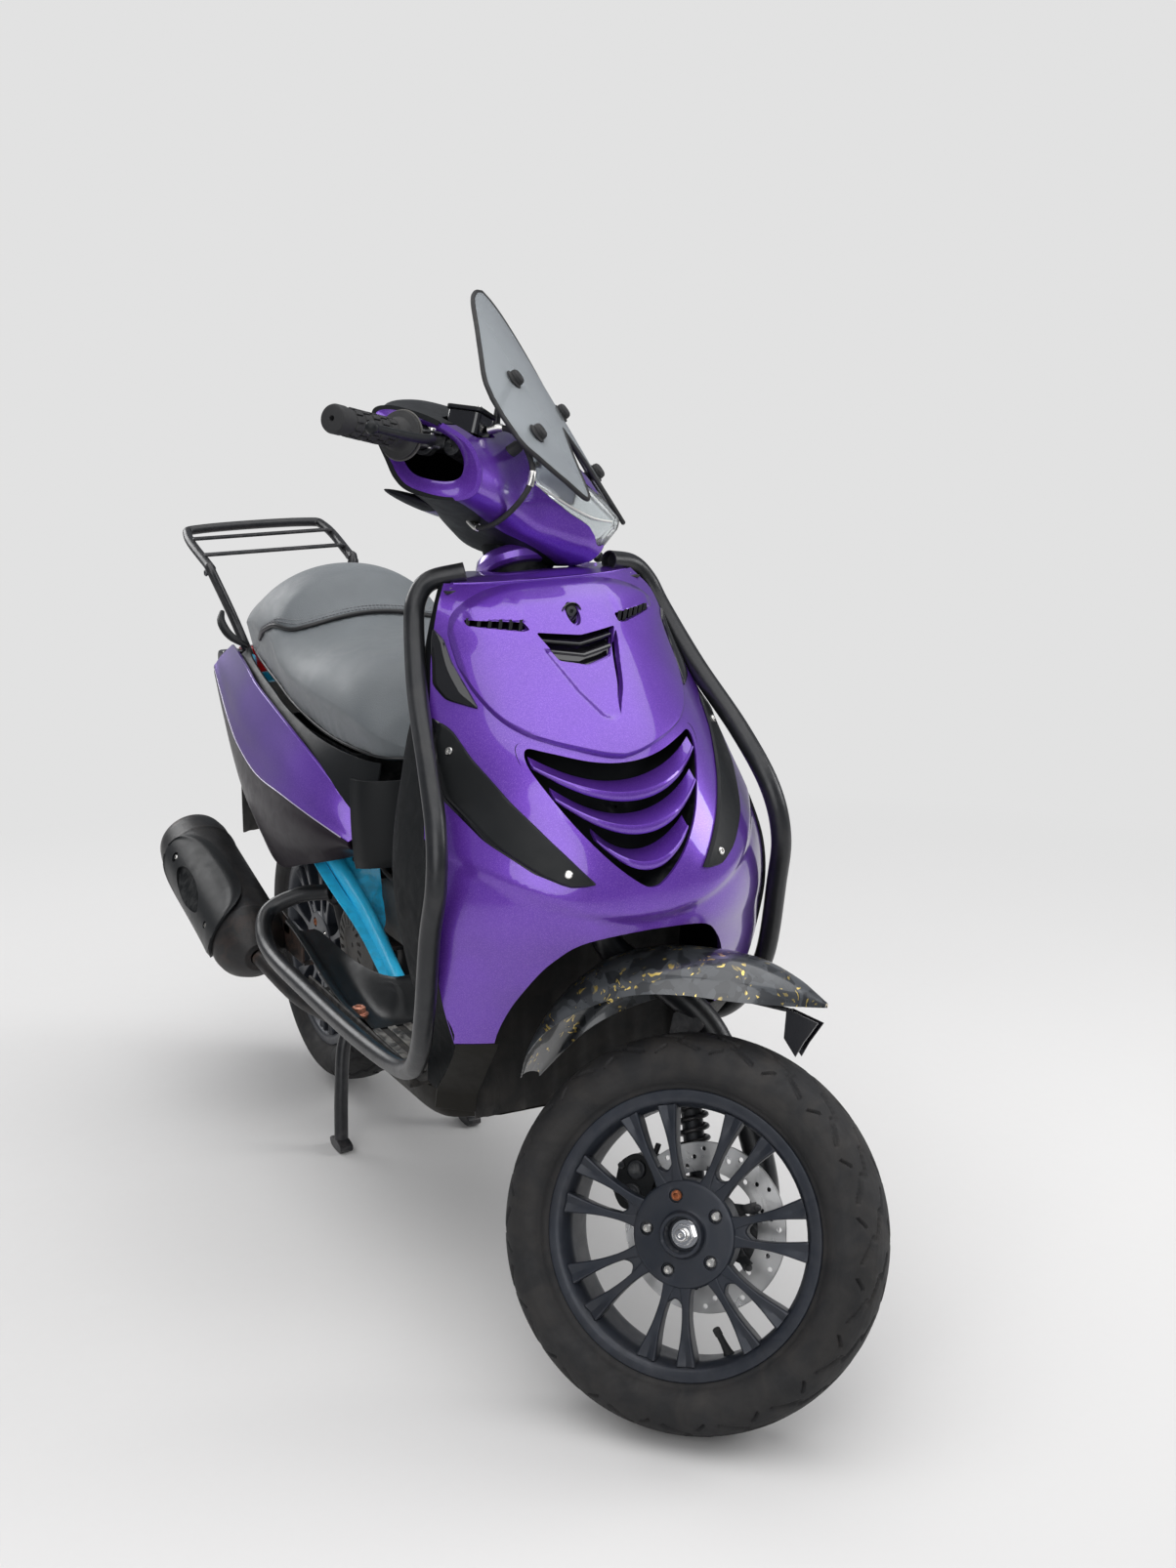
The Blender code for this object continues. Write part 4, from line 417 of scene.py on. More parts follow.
def finish(name, colour, roughness, metallic=0.0, coat=0.0, mottle=0.12, mottle_scale=9.0, grain=(),
           rough_vary=0.12, dust=0.0, dust_low=False, wear=0.0, wear_colour=(0.5, 0.5, 0.5), **shader_values):
    """A surface with uneven colour and gloss, a fine grain, dust on top and worn edges."""
    made = bpy.data.materials.new(name)
    made.use_nodes = True
    tree = made.node_tree
    shader = tree.nodes["Principled BSDF"]
    cloud = noise(tree, mottle_scale, 4.0, 0.4)
    tint = mixed(tree, spread(tree, cloud, 0.3, 0.7), shaded(colour, 1 - mottle), shaded(colour, 1 + mottle))
    smear = noise(tree, 38.0, 5.0, 1.2)
    rough = spread(tree, smear, 0.3, 0.7, max(0.02, roughness * (1 - rough_vary)),
                   min(1.0, roughness * (1 + rough_vary)))
    if wear:
        pointed = node(tree, "ShaderNodeNewGeometry").outputs["Pointiness"]
        scratched = calculated(tree, "MULTIPLY", spread(tree, pointed, 0.515, 0.56),
                               spread(tree, noise(tree, 60.0, 6.0, 0.6), 0.42, 0.62))
        tint = mixed(tree, calculated(tree, "MULTIPLY", scratched, wear), tint, wear_colour)
    if dust:
        up = node(tree, "ShaderNodeSeparateXYZ", {
            "Vector": node(tree, "ShaderNodeNewGeometry").outputs["Normal"]}).outputs["Z"]
        film = calculated(tree, "MULTIPLY", spread(tree, up, -1.5 if dust_low else 0.05, 0.95),
                          spread(tree, noise(tree, 23.0, 7.0, 0.8), 0.38, 0.72))
        film = calculated(tree, "MULTIPLY", film, dust)
        tint = mixed(tree, film, tint, DUST)
        rough = calculated(tree, "MAXIMUM", rough, calculated(tree, "MULTIPLY", film, 1.2))
    tree.links.new(tint, shader.inputs["Base Color"])
    tree.links.new(rough, shader.inputs["Roughness"])
    shader.inputs["Metallic"].default_value = metallic
    shader.inputs["Coat Weight"].default_value = coat
    shader.inputs["Coat Roughness"].default_value = 0.04
    for key, value in shader_values.items():
        shader.inputs[key.replace("_", " ").title().replace("Ior", "IOR")].default_value = value
    layers = []
    for kind, scale, distance in grain:
        if kind == "cells":
            height = node(tree, "ShaderNodeTexVoronoi",
                          {"Vector": place_on(tree), "Scale": scale}).outputs["Distance"]
        else:
            height = noise(tree, scale, 4.0)
        layers.append((height, distance))
    if layers:
        tree.links.new(bumped(tree, layers), shader.inputs["Normal"])
    return made


def candy_paint(name, colour, spark_colour):
    """A deep colour over fine metal flake, under clear lacquer."""
    made = finish(name, colour, 0.34, 0.55, coat=1.0, mottle=0.10,
                  rough_vary=0.05, grain=(("noise", 9.0, 0.00012),))
    tree = made.node_tree
    shader = tree.nodes["Principled BSDF"]
    tint = shader.inputs["Base Color"].links[0].from_socket
    flake = node(tree, "ShaderNodeTexVoronoi", {"Vector": place_on(tree), "Scale": 1900.0}).outputs["Color"]
    spark = node(tree, "ShaderNodeSeparateColor", {"Color": flake}).outputs[0]
    lit = mixed(tree, spread(tree, spark, 0.72, 1.0, 0.0, 0.55), tint, spark_colour)
    edge = node(tree, "ShaderNodeLayerWeight", {"Blend": 0.35}).outputs["Facing"]
    tree.links.new(mixed(tree, spread(tree, edge, 0.35, 1.0, 0.0, 0.7), lit, shaded(colour, 0.25)),
                   shader.inputs["Base Color"])
    return made


def marbled_composite():
    """Chopped grey and black flakes set in clear resin, with specks of gold leaf."""
    made = finish("marbled_composite", (0.030, 0.033, 0.038), 0.30, 0.2, coat=0.7, mottle=0.3, dust=0.08)
    tree = made.node_tree
    shader = tree.nodes["Principled BSDF"]
    bend = node(tree, "ShaderNodeTexNoise", {"Vector": place_on(tree), "Scale": 16.0, "Detail": 3.0})
    shifted = node(tree, "ShaderNodeVectorMath", {0: bend.outputs["Color"], "Scale": 0.09}, operation="SCALE")
    moved = node(tree, "ShaderNodeVectorMath", {0: place_on(tree), 1: shifted.outputs[0]}, operation="ADD")
    flakes = node(tree, "ShaderNodeTexVoronoi", {"Vector": moved.outputs[0], "Scale": 62.0})
    shade = node(tree, "ShaderNodeSeparateColor", {"Color": flakes.outputs["Color"]}).outputs[0]
    base = mixed(tree, spread(tree, shade, 0.15, 0.95), (0.010, 0.011, 0.013), (0.085, 0.092, 0.10))
    tint = shader.inputs["Base Color"].links[0].from_socket
    base = mixed(tree, 0.35, base, tint)
    specks = node(tree, "ShaderNodeTexVoronoi", {"Vector": moved.outputs[0], "Scale": 210.0})
    chance = node(tree, "ShaderNodeSeparateColor", {"Color": specks.outputs["Color"]}).outputs[1]
    cluster = spread(tree, noise(tree, 34.0, 2.0), 0.53, 0.60)
    gold = calculated(tree, "MULTIPLY", spread(tree, chance, 0.86, 0.88), cluster)
    tree.links.new(mixed(tree, gold, base, (0.78, 0.58, 0.16)), shader.inputs["Base Color"])
    tree.links.new(spread(tree, gold, 0.0, 1.0, 0.15, 0.95), shader.inputs["Metallic"])
    return made


def ground_steel():
    """A disc ground in rings, polished by its pads."""
    made = finish("ground_steel", (0.50, 0.50, 0.50), 0.30, 1.0, mottle=0.10)
    tree = made.node_tree
    shader = tree.nodes["Principled BSDF"]
    split = node(tree, "ShaderNodeSeparateXYZ", {"Vector": place_on(tree)})
    flat = node(tree, "ShaderNodeCombineXYZ", {"Y": split.outputs["Y"], "Z": split.outputs["Z"]})
    radius = node(tree, "ShaderNodeVectorMath", {0: flat.outputs[0]}, operation="LENGTH").outputs["Value"]
    rings = node(tree, "ShaderNodeTexNoise", {"W": radius, "Scale": 2600.0, "Detail": 4.0},
                 noise_dimensions="1D")
    tree.links.new(bumped(tree, [(rings.outputs["Fac"], 0.00012)]), shader.inputs["Normal"])
    return made


def clear_plastic(name, colour, roughness, transmission):
    return finish(name, colour, roughness, mottle=0.03, rough_vary=0.3, coat=0.3,
                  transmission_weight=transmission, ior=1.46)


M = {
    "paint": candy_paint("violet_candy_paint", (0.125, 0.034, 0.40), (0.30, 0.13, 0.64)),
    # Violet paint darkened to near black for the side panels' lower flank: painted shade, where the panel faces
    # away from the light.
    "violet_painted_shade": finish("violet_paint_with_painted_shade", (0.009, 0.005, 0.010), 0.34, coat=0.04, mottle=0.1,
                         specular_ior_level=0.08),
    # A pale line of painted highlight, laid along the side panels' crest.
    "painted_highlight_edge": finish("painted_highlight_edge", (0.34, 0.30, 0.42), 0.35, coat=0.5, mottle=0.1),
    "mat": finish("worn_rubber_mat", (0.016, 0.016, 0.016), 0.5, mottle=0.3, mottle_scale=30.0, dust=0.14,
                  grain=(("noise", 220.0, 0.0003),), wear=0.7, wear_colour=(0.26, 0.25, 0.23)),
    "belly": finish("brown_black_plastic", (0.010, 0.009, 0.007), 0.48, mottle=0.25, dust=0.03, dust_low=True,
                    specular_ior_level=0.12,
                    grain=(("cells", 1100.0, 0.00012), ("noise", 60.0, 0.0002))),
    "composite": marbled_composite(),
    "disc": ground_steel(),
    "satin": finish("satin_black_plastic", (0.008, 0.009, 0.010), 0.42, mottle=0.2, dust=0.02,
                    specular_ior_level=0.2,
                    grain=(("noise", 900.0, 0.00010),)),
    "gloss": finish("gloss_black", (0.006, 0.006, 0.008), 0.10, coat=0.6, mottle=0.1, dust=0.02),
    "matt": finish("matt_black_plastic", (0.008, 0.009, 0.010), 0.58, mottle=0.25, dust=0.015,
                   specular_ior_level=0.04,
                   grain=(("cells", 1100.0, 0.00016), ("noise", 60.0, 0.0002)), wear=0.25,
                   wear_colour=(0.10, 0.10, 0.10)),
    "dusty": finish("dusty_black_plastic", (0.014, 0.014, 0.014), 0.66, mottle=0.3, dust=0.12, dust_low=True,
                    specular_ior_level=0.3,
                    grain=(("cells", 900.0, 0.0002), ("noise", 45.0, 0.0003)), wear=0.3,
                    wear_colour=(0.14, 0.13, 0.12)),
    "rubber": finish("black_rubber", (0.014, 0.014, 0.015), 0.72, mottle=0.2, dust=0.05,
                     grain=(("noise", 700.0, 0.00012),)),
    "tyre": finish("tyre_rubber", (0.016, 0.016, 0.017), 0.72, mottle=0.18, mottle_scale=14.0, dust=0.10,
                   dust_low=True, specular_ior_level=0.3,
                   grain=(("noise", 500.0, 0.0002), ("noise", 120.0, 0.0002))),
    "wheel": finish("blue_black_wheel_paint", (0.016, 0.020, 0.029), 0.40, 0.35, mottle=0.2, dust=0.06,
                    dust_low=True, grain=(("noise", 420.0, 0.00008),), wear=0.4,
                    wear_colour=(0.10, 0.10, 0.11)),
    "tube": finish("black_tube_paint", (0.012, 0.013, 0.015), 0.34, 0.2, mottle=0.25, dust=0.05,
                   grain=(("noise", 260.0, 0.00015), ("noise", 40.0, 0.0002)), wear=0.35,
                   wear_colour=(0.13, 0.12, 0.12)),
    "dark_metal": finish("dark_cast_metal", (0.022, 0.024, 0.028), 0.46, 0.6, mottle=0.3, dust=0.08,
                         grain=(("noise", 520.0, 0.0002),), wear=0.5, wear_colour=(0.25, 0.25, 0.25)),
    "alloy": finish("cast_alloy", (0.17, 0.17, 0.165), 0.52, 0.75, mottle=0.3, dust=0.2, dust_low=True,
                    grain=(("noise", 480.0, 0.0003), ("noise", 60.0, 0.0003)), wear=0.3,
                    wear_colour=(0.5, 0.5, 0.5)),
    "cowl": finish("grey_cowl_plastic", (0.060, 0.058, 0.055), 0.6, mottle=0.3, dust=0.25, dust_low=True,
                   grain=(("cells", 700.0, 0.0002),)),
    "steel": finish("bright_steel", (0.55, 0.54, 0.52), 0.26, 1.0, mottle=0.15, rough_vary=0.3,
                    grain=(("noise", 700.0, 0.0001),)),
    "chrome": finish("chrome", (0.75, 0.75, 0.76), 0.08, 1.0, mottle=0.03),
    "rust": finish("rusty_bolt", (0.30, 0.095, 0.035), 0.75, 0.25, mottle=0.5, mottle_scale=160.0,
                   grain=(("noise", 900.0, 0.0004),)),
    "copper": finish("copper_coated_bolt", (0.55, 0.25, 0.17), 0.45, 0.8, mottle=0.5, mottle_scale=180.0,
                     grain=(("noise", 700.0, 0.0005),)),
    "vinyl": finish("grey_vinyl", (0.112, 0.125, 0.134), 0.46, mottle=0.07, dust=0.02, rough_vary=0.15,
                    grain=(("cells", 950.0, 0.00028), ("noise", 300.0, 0.0002)), sheen_weight=0.15),
    "piping": finish("black_piping", (0.010, 0.010, 0.011), 0.42, mottle=0.1,
                     grain=(("noise", 800.0, 0.0001),)),
    "thread": finish("grey_thread", (0.20, 0.20, 0.21), 0.8, mottle=0.1, grain=(("noise", 1500.0, 0.0002),)),
    "blue": finish("blue_frame_paint", (0.028, 0.56, 0.98), 0.30, coat=0.4, mottle=0.15, dust=0.06,
                   grain=(("noise", 90.0, 0.0004),), wear=0.5, wear_colour=(0.02, 0.02, 0.03)),
    "red_lens": finish("red_lens", (0.42, 0.010, 0.012), 0.12, coat=0.5, mottle=0.08,
                       transmission_weight=0.35, ior=1.49),
    "plate": finish("blank_plate", (0.62, 0.62, 0.58), 0.42, mottle=0.04, dust=0.12, dust_low=True),
    "reflector": finish("reflector", (0.80, 0.81, 0.83), 0.12, 1.0, mottle=0.02),
    "exhaust": finish("exhaust_black", (0.014, 0.014, 0.015), 0.45, 0.3, mottle=0.25, mottle_scale=22.0,
                      dust=0.08, dust_low=True, grain=(("noise", 400.0, 0.0003),), wear=0.6,
                      wear_colour=(0.09, 0.05, 0.035)),
    "engine_dark": finish("oily_dark_metal", (0.030, 0.028, 0.026), 0.5, 0.5, mottle=0.5, mottle_scale=30.0,
                          dust=0.15, dust_low=True, grain=(("noise", 300.0, 0.0004),)),
    "smoked": clear_plastic("smoked_screen", (0.42, 0.45, 0.47), 0.16, 0.50),
    "smoked_lens": clear_plastic("smoked_lens", (0.012, 0.012, 0.014), 0.06, 0.25),
    "lens": clear_plastic("clear_lens", (0.90, 0.93, 0.93), 0.05, 0.92),
}
NODE_FINISHES = {
    "purple_paint": "paint", "black_plastic": "satin", "matt_plastic": "matt", "rubber": "rubber",
    "tyre": "tyre", "dark_cast": "wheel", "steel": "disc", "black_tube": "tube", "clear_lens": "lens",
    "smoked_plastic": "smoked_lens", "composite": "composite", "blue_paint": "blue", "grey_vinyl": "vinyl",
    "alloy": "alloy", "red_lens": "red_lens", "plate_white": "plate",
}
for part in frame["record"]["subparts"]:
    carried = frame["nodes"][part["node"]]
    carried.data.materials.clear()
    carried.data.materials.append(M[NODE_FINISHES[part["material_slot"]]])


# Front body

SHELL_WALL = 0.004
SHIELD_POWER = 2.4
FOLD_DEPTH = 0.007
SHIELD_ROWS = (
    # height, face at the middle, face at the edge, half-width
    (0.955, 0.300, 0.335, 0.125), (0.930, 0.262, 0.315, 0.142), (0.880, 0.215, 0.300, 0.158),
    (0.830, 0.165, 0.275, 0.172), (0.780, 0.122, 0.250, 0.190), (0.730, 0.090, 0.225, 0.203),
    (0.680, 0.062, 0.200, 0.215), (0.630, 0.046, 0.180, 0.222), (0.580, 0.050, 0.175, 0.222),
    (0.530, 0.080, 0.180, 0.215), (0.480, 0.120, 0.190, 0.205), (0.430, 0.150, 0.200, 0.190),
)
LEG_SIDE_Y = 0.335
HEAD_RADIUS = 0.031


def eased(value, low, high):
    t = min(1.0, max(0.0, (value - low) / (high - low)))
    return t * t * (3 - 2 * t)


def crease_height(x):
    """The fold across the shield below which it turns under."""
    return 0.604 + 1.8 * x * x


def shield_face(x, height, offset=0.0):
    """The shield's outer face at a place across and a height, moved forward by the offset."""
    middle, edge, half = at_key(SHIELD_ROWS, height)
    face = middle + (edge - middle) * min(1.0, abs(x) / half) ** SHIELD_POWER
    fold = FOLD_DEPTH * eased(crease_height(x) - height, 0.0, 0.016) * eased(height, 0.500, 0.560)
    return face + fold - offset


def face_grid(columns, offset):
    """A grid on the shield's face from columns of (x, heights); offset is a value or a function."""
    grid = []
    for x, heights in columns:
        grid.append([
            (x, shield_face(x, z, offset(x, z) if callable(offset) else offset), z) for z in heights
        ])
    return grid


def distance_inside(outline, x, z):
    """How far a point is inside a closed outline, negative outside."""
    inside = False
    nearest = 1.0
    point = Vector((x, z))
    for a, b in zip(outline, outline[1:] + outline[:1]):
        a, b = Vector(a), Vector(b)
        if (a.y > z) != (b.y > z) and x < (b.x - a.x) * (z - a.y) / (b.y - a.y) + a.x:
            inside = not inside
        share = min(1.0, max(0.0, (point - a).dot(b - a) / (b - a).length_squared))
        nearest = min(nearest, (point - a.lerp(b, share)).length)
    return nearest if inside else -nearest


ARCH = [
    (-0.148, 0.40), (-0.146, 0.45), (-0.128, 0.512), (-0.104, 0.550), (-0.072, 0.572), (0.0, 0.579),
    (0.072, 0.572), (0.104, 0.550), (0.128, 0.512), (0.146, 0.45), (0.148, 0.40),
]
GRILLE_HALF = [
    (0.0, 0.632), (0.016, 0.638), (0.046, 0.664), (0.076, 0.702), (0.098, 0.742), (0.108, 0.768),
    (0.104, 0.783), (0.086, 0.780), (0.040, 0.768), (0.0, 0.764),
]
GRILLE = GRILLE_HALF + [(-x, z) for x, z in reversed(GRILLE_HALF[1:-1])]


def front_shield():
    heights = steps_between(SHIELD_ROWS[-1][0], SHIELD_ROWS[0][0], 110)
    outer = []
    inner = []
    for height in heights:
        middle, edge, half = at_key(SHIELD_ROWS, height)
        outer_row = []
        inner_row = []
        for j in range(73):
            u = math.sin((2 * j / 72 - 1) * math.pi / 2)
            outer_row.append((u * half, shield_face(u * half, height), height))
            inside = middle + SHELL_WALL
            inner_row.append((
                u * (half - SHELL_WALL * 0.8), inside + FOLD_DEPTH * (height < crease_height(u * half))
                + (edge - inside) * abs(u) ** SHIELD_POWER, height,
            ))
        outer.append(outer_row)
        inner.append(inner_row)
    shell = new_object("shield_shell", sheet(outer, inner))
    cut(shell, prism([(x, z) for x, _, z in smooth([(x, 0, z) for x, z in ARCH], 6)], "Y", -0.1, 0.29))
    cut(shell, prism(smooth_loop(GRILLE, 6), "Y", -0.05, 0.24))
    for outline in nose_openings():
        cut(shell, prism(outline, "Y", 0.10, 0.32))
    place(shell, "chassis", M["paint"], "front_shield", edge=0.0016, angle=40)
    return shell


LOUVRES = (
    # height at the middle, curve, half-length, half-thickness at the middle
    (0.7290, 3.3, 0.1030, 0.0052), (0.6945, 4.6, 0.0900, 0.0050), (0.6560, 9.5, 0.0585, 0.0046),
)


def louvres():
    """The three curved blades across the grille, each with a bright lip and a shelf behind it."""
    shapes = []
    for level, bend, half, thick in LOUVRES:
        rings = []
        for i in range(49):
            u = 2 * i / 48 - 1
            x = u * half
            z = level + bend * x * x
            t = thick * (1 - 0.72 * u * u) + 0.0006
            y = shield_face(x, z)
            depth = 0.034 * (1 - 0.55 * u * u)
            rings.append([
                (x, y + depth, z + t * 0.3 + 0.010), (x, y + 0.004, z + t * 1.05),
                (x, y + 0.0008, z + t * 0.9),
                (x, y - 0.0008, z + t * 0.4), (x, y - 0.0008, z - t * 0.5), (x, y + 0.001, z - t),
                (x, y + 0.006, z - t * 0.9), (x, y + depth, z + 0.006 - t * 0.2),
            ])
        shapes.append(bridge(rings))
    blades = new_object("grille_blades", *shapes)
    place(blades, "chassis", M["paint"])
    surround = []
    outline = smooth_loop([(x * 1.06, 0.705 + (z - 0.705) * 1.06) for x, z in GRILLE], 5)
    for scale, depth in ((1.0, 0.0045), (1.0, 0.052), (0.90, 0.060), (0.55, 0.064), (0.20, 0.065),
                         (0.02, 0.065)):
        surround.append([
            (x * scale, shield_face(x * scale * 0.95,
                                    min(max(0.705 + (z - 0.705) * scale, 0.62), 0.79)) + depth,
             0.705 + (z - 0.705) * scale) for x, z in outline
        ])
    well = new_object("grille_well", bridge(surround, capped=False))
    thicken(well, 0.0015)
    place(well, "chassis", M["matt"])


def thicken(obj, wall):
    """Gives an open surface a wall, so that it is a closed shell."""
    shell = obj.modifiers.new("wall", "SOLIDIFY")
    shell.thickness = wall
    shell.offset = 0
    apply_modifiers(obj)
    return obj


NOSE_COLUMNS = (
    # distance across, lower edge, upper edge
    (0.000, 0.7690, 0.9545), (0.020, 0.7720, 0.9542), (0.050, 0.7800, 0.9530), (0.080, 0.7890, 0.9490),
    (0.104, 0.7990, 0.9410), (0.122, 0.8150, 0.9310), (0.134, 0.8400, 0.9180), (0.1395, 0.8650, 0.9020),
)
NOSE_EDGE = 0.0060
NOSE_PROUD = 0.0096
NOSE_SEAM = 0.0012
RECESS = [(-0.052, 0.886), (-0.030, 0.838), (-0.011, 0.812), (0.0, 0.8085), (0.009, 0.812), (0.028, 0.842),
          (0.047, 0.888), (0.0, 0.880)]
INTAKE = [(-0.053, 0.9025), (0.0, 0.8965), (0.049, 0.9025), (0.030, 0.8710), (-0.002, 0.8640),
          (-0.036, 0.8710)]
# A thin slit beside the V recess, with a dark plate behind it: painted shadow for the recess's shaded right wall.
CRESCENT_SHADOW = [(0.0480, 0.8975), (0.0462, 0.8860), (0.0371, 0.8640), (0.0280, 0.8420), (0.0185, 0.8270),
            (0.0105, 0.8140), (0.0165, 0.8300), (0.0235, 0.8440), (0.0310, 0.8660), (0.0385, 0.8850)]
VENTS = ([(-0.124, 0.9180), (-0.122, 0.9110), (-0.066, 0.9040), (-0.058, 0.9055), (-0.063, 0.9140)],
         [(0.110, 0.9200), (0.114, 0.9120), (0.066, 0.9040), (0.057, 0.9055), (0.055, 0.9150)])


def nose_offset(x, z):
    """How far the nose cover stands off the shield: rolled down at its edge, sunk in its V."""
    low, high = at_key(NOSE_COLUMNS, abs(x))
    to_edge = min(z - low, high - z, (NOSE_COLUMNS[-1][0] + 0.002 - abs(x)))
    roll = eased(to_edge, -0.0005, NOSE_EDGE)
    sunk = 0.0052 * eased(distance_inside(RECESS, x, z), 0.0, 0.0035)
    brow = 0.0034 * eased(z - (0.9165 - 0.10 * abs(abs(x) - 0.09)), 0.0, 0.0022) * eased(
        0.947 - z, 0.0, 0.022) * eased(0.034 - abs(abs(x) - 0.090), 0.0, 0.010)
    return NOSE_SEAM + (NOSE_PROUD - NOSE_SEAM) * roll - sunk + brow


def nose_openings():
    """Outlines of the intake, the crescent slit beside it (painted shadow for the V recess's shaded wall), the two
    vents and the lock's hole.
    """
    key_hole = [(0.0085 * math.cos(a), 0.9190 + 0.0125 * math.sin(a)) for a in circle(28)]
    return [rounded(INTAKE, 0.004), smooth_loop(CRESCENT_SHADOW, 4), *[rounded(list(vent), 0.003) for vent in VENTS],
            key_hole]


def nose_cover():
    columns = []
    widest = NOSE_COLUMNS[-1][0]
    for i in range(121):
        x = widest * math.sin((2 * i / 120 - 1) * math.pi / 2)
        low, high = at_key(NOSE_COLUMNS, abs(x))
        columns.append((x, steps_between(low, high, 92)))
    front = face_grid(columns, nose_offset)
    back = face_grid(columns, lambda x, z: min(nose_offset(x, z) - 0.0015, 0.0035) if abs(x) < widest - 0.004
                     else NOSE_SEAM - 0.0010)
    cover = new_object("nose_panel", sheet(front, back))
    openings = nose_openings()
    for outline in openings:
        cut(cover, prism(outline, "Y", 0.10, 0.32))
    place(cover, "chassis", M["paint"], "nose_cover", edge=0.0007, angle=45)

    # Dark plates behind the openings; the one behind the crescent slit is painted shadow.
    backing = new_object("nose_trays_and_painted_shadow", *[backing_plate(outline, -0.010, 1.12) for outline in openings])
    place(backing, "chassis", M["gloss"])
    slats = []
    for low, high, left, right in ((0.8785, 0.8765, -0.041, 0.036), (0.8905, 0.8885, -0.047, 0.042)):
        rings = []
        for i in range(21):
            x = left + (right - left) * i / 20
            z = low - 0.0065 * (1 - abs(2 * i / 20 - 1)) + 0.002
            y = shield_face(x, z, NOSE_PROUD - 0.0075)
            rings.append([(x, y, z + 0.0022), (x, y - 0.0016, z + 0.0008), (x, y - 0.0016, z - 0.0012),
                          (x, y, z - 0.0020), (x, y + 0.004, z + 0.0012), (x, y + 0.004, z + 0.0034)])
        slats.append(bridge(rings))
    for hand, reach in ((-1, (0.066, 0.120)), (1, (0.062, 0.108))):
        for k in range(6):
            x = hand * (reach[0] + (reach[1] - reach[0]) * k / 5)
            z = 0.9115 + 0.05 * (abs(x) - 0.09)
            y = shield_face(x, z, NOSE_PROUD - 0.0030)
            lean = 0.0026
            slats.append(prism([(x - 0.0035 + lean, z + 0.007), (x + 0.0010 + lean, z + 0.007),
                                (x + 0.0035 - lean, z - 0.007), (x - 0.0010 - lean, z - 0.007)],
                               "Y", y - 0.001, y + 0.004))
    place(new_object("nose_slats", *slats), "chassis", M["gloss"], edge=0.0004)
    y = shield_face(0, 0.919, NOSE_PROUD)
    lock = new_object(
        "nose_lock",
        turned([(0.000, 0.0), (0.0, 0.0060), (0.0022, 0.0068), (0.008, 0.0068), (0.008, 0.0)],
               (0, y + 0.0035, 0.9215), (0, 1, 0), 28),
    )
    cut(lock, prism([(x, 0.9215 + z) for x, z in hexagon(0.0028)], "Y", y - 0.002, y + 0.0055))
    place(lock, "chassis", M["dark_metal"], edge=0.0003)
    cup = new_object("nose_lock_cup", turned(
        [(0.0030, 0.0125), (0.0075, 0.0105), (0.0075, 0.0), (0.0085, 0.0), (0.0085, 0.0120),
         (0.0040, 0.0135)],
        (0, y, 0.9190), (0, 1, 0), 28))
    place(cup, "chassis", M["gloss"])


def nose_deck():
    """The painted top between the shield's upper edge and the neck."""
    outer = []
    inner = []
    for x in steps_between(-0.116, 0.116, 40):
        ahead = shield_face(x, 0.953) + 0.0012
        behind = 0.343 + 0.052 * eased(abs(x), 0.040, 0.070)
        behind = max(behind, ahead + 0.010)
        rise = 0.0062 * (1 - (x / 0.118) ** 2)
        outer.append([(x, y, 0.9558 + rise * eased(y, ahead, ahead + 0.030))
                      for y in steps_between(ahead, behind, 10)])
        inner.append([(x, y, z - 0.0025) for x, y, z in outer[-1]])
    place(new_object("nose_top_deck", sheet(outer, inner)), "chassis", M["paint"],
          edge=0.0008)


def backing_plate(outline, offset, grow):
    """A dark plate just behind an opening in the nose cover; behind the crescent slit it is painted shadow."""
    middle = Vector((sum(x for x, z in outline) / len(outline), sum(z for x, z in outline) / len(outline)))
    wide = [middle + (Vector(point) - middle) * grow for point in outline]
    near = [(p.x, shield_face(p.x, p.y, offset), p.y) for p in wide]
    far = [(x, y + 0.0012, z) for x, y, z in near]
    count = len(near)
    faces = [tuple(range(count)), tuple(range(count, 2 * count))]
    faces += [(i, (i + 1) % count, (i + 1) % count + count, i + count) for i in range(count)]
    return near + far, faces


SIGNAL_COVER = [
    (0.1720, 0.8080), (0.1860, 0.7800), (0.1885, 0.7300), (0.1620, 0.6860), (0.1240, 0.6540),
    (0.0960, 0.6400), (0.0660, 0.6410), (0.0790, 0.6560), (0.1060, 0.6900), (0.1330, 0.7280),
    (0.1560, 0.7720), (0.1640, 0.8000),
]
INDICATOR = [
    (0.1520, 0.9080), (0.1560, 0.8950), (0.1600, 0.8700), (0.1660, 0.8450), (0.1600, 0.8300),
    (0.1340, 0.8220), (0.1360, 0.8350), (0.1430, 0.8700), (0.1440, 0.8950),
]


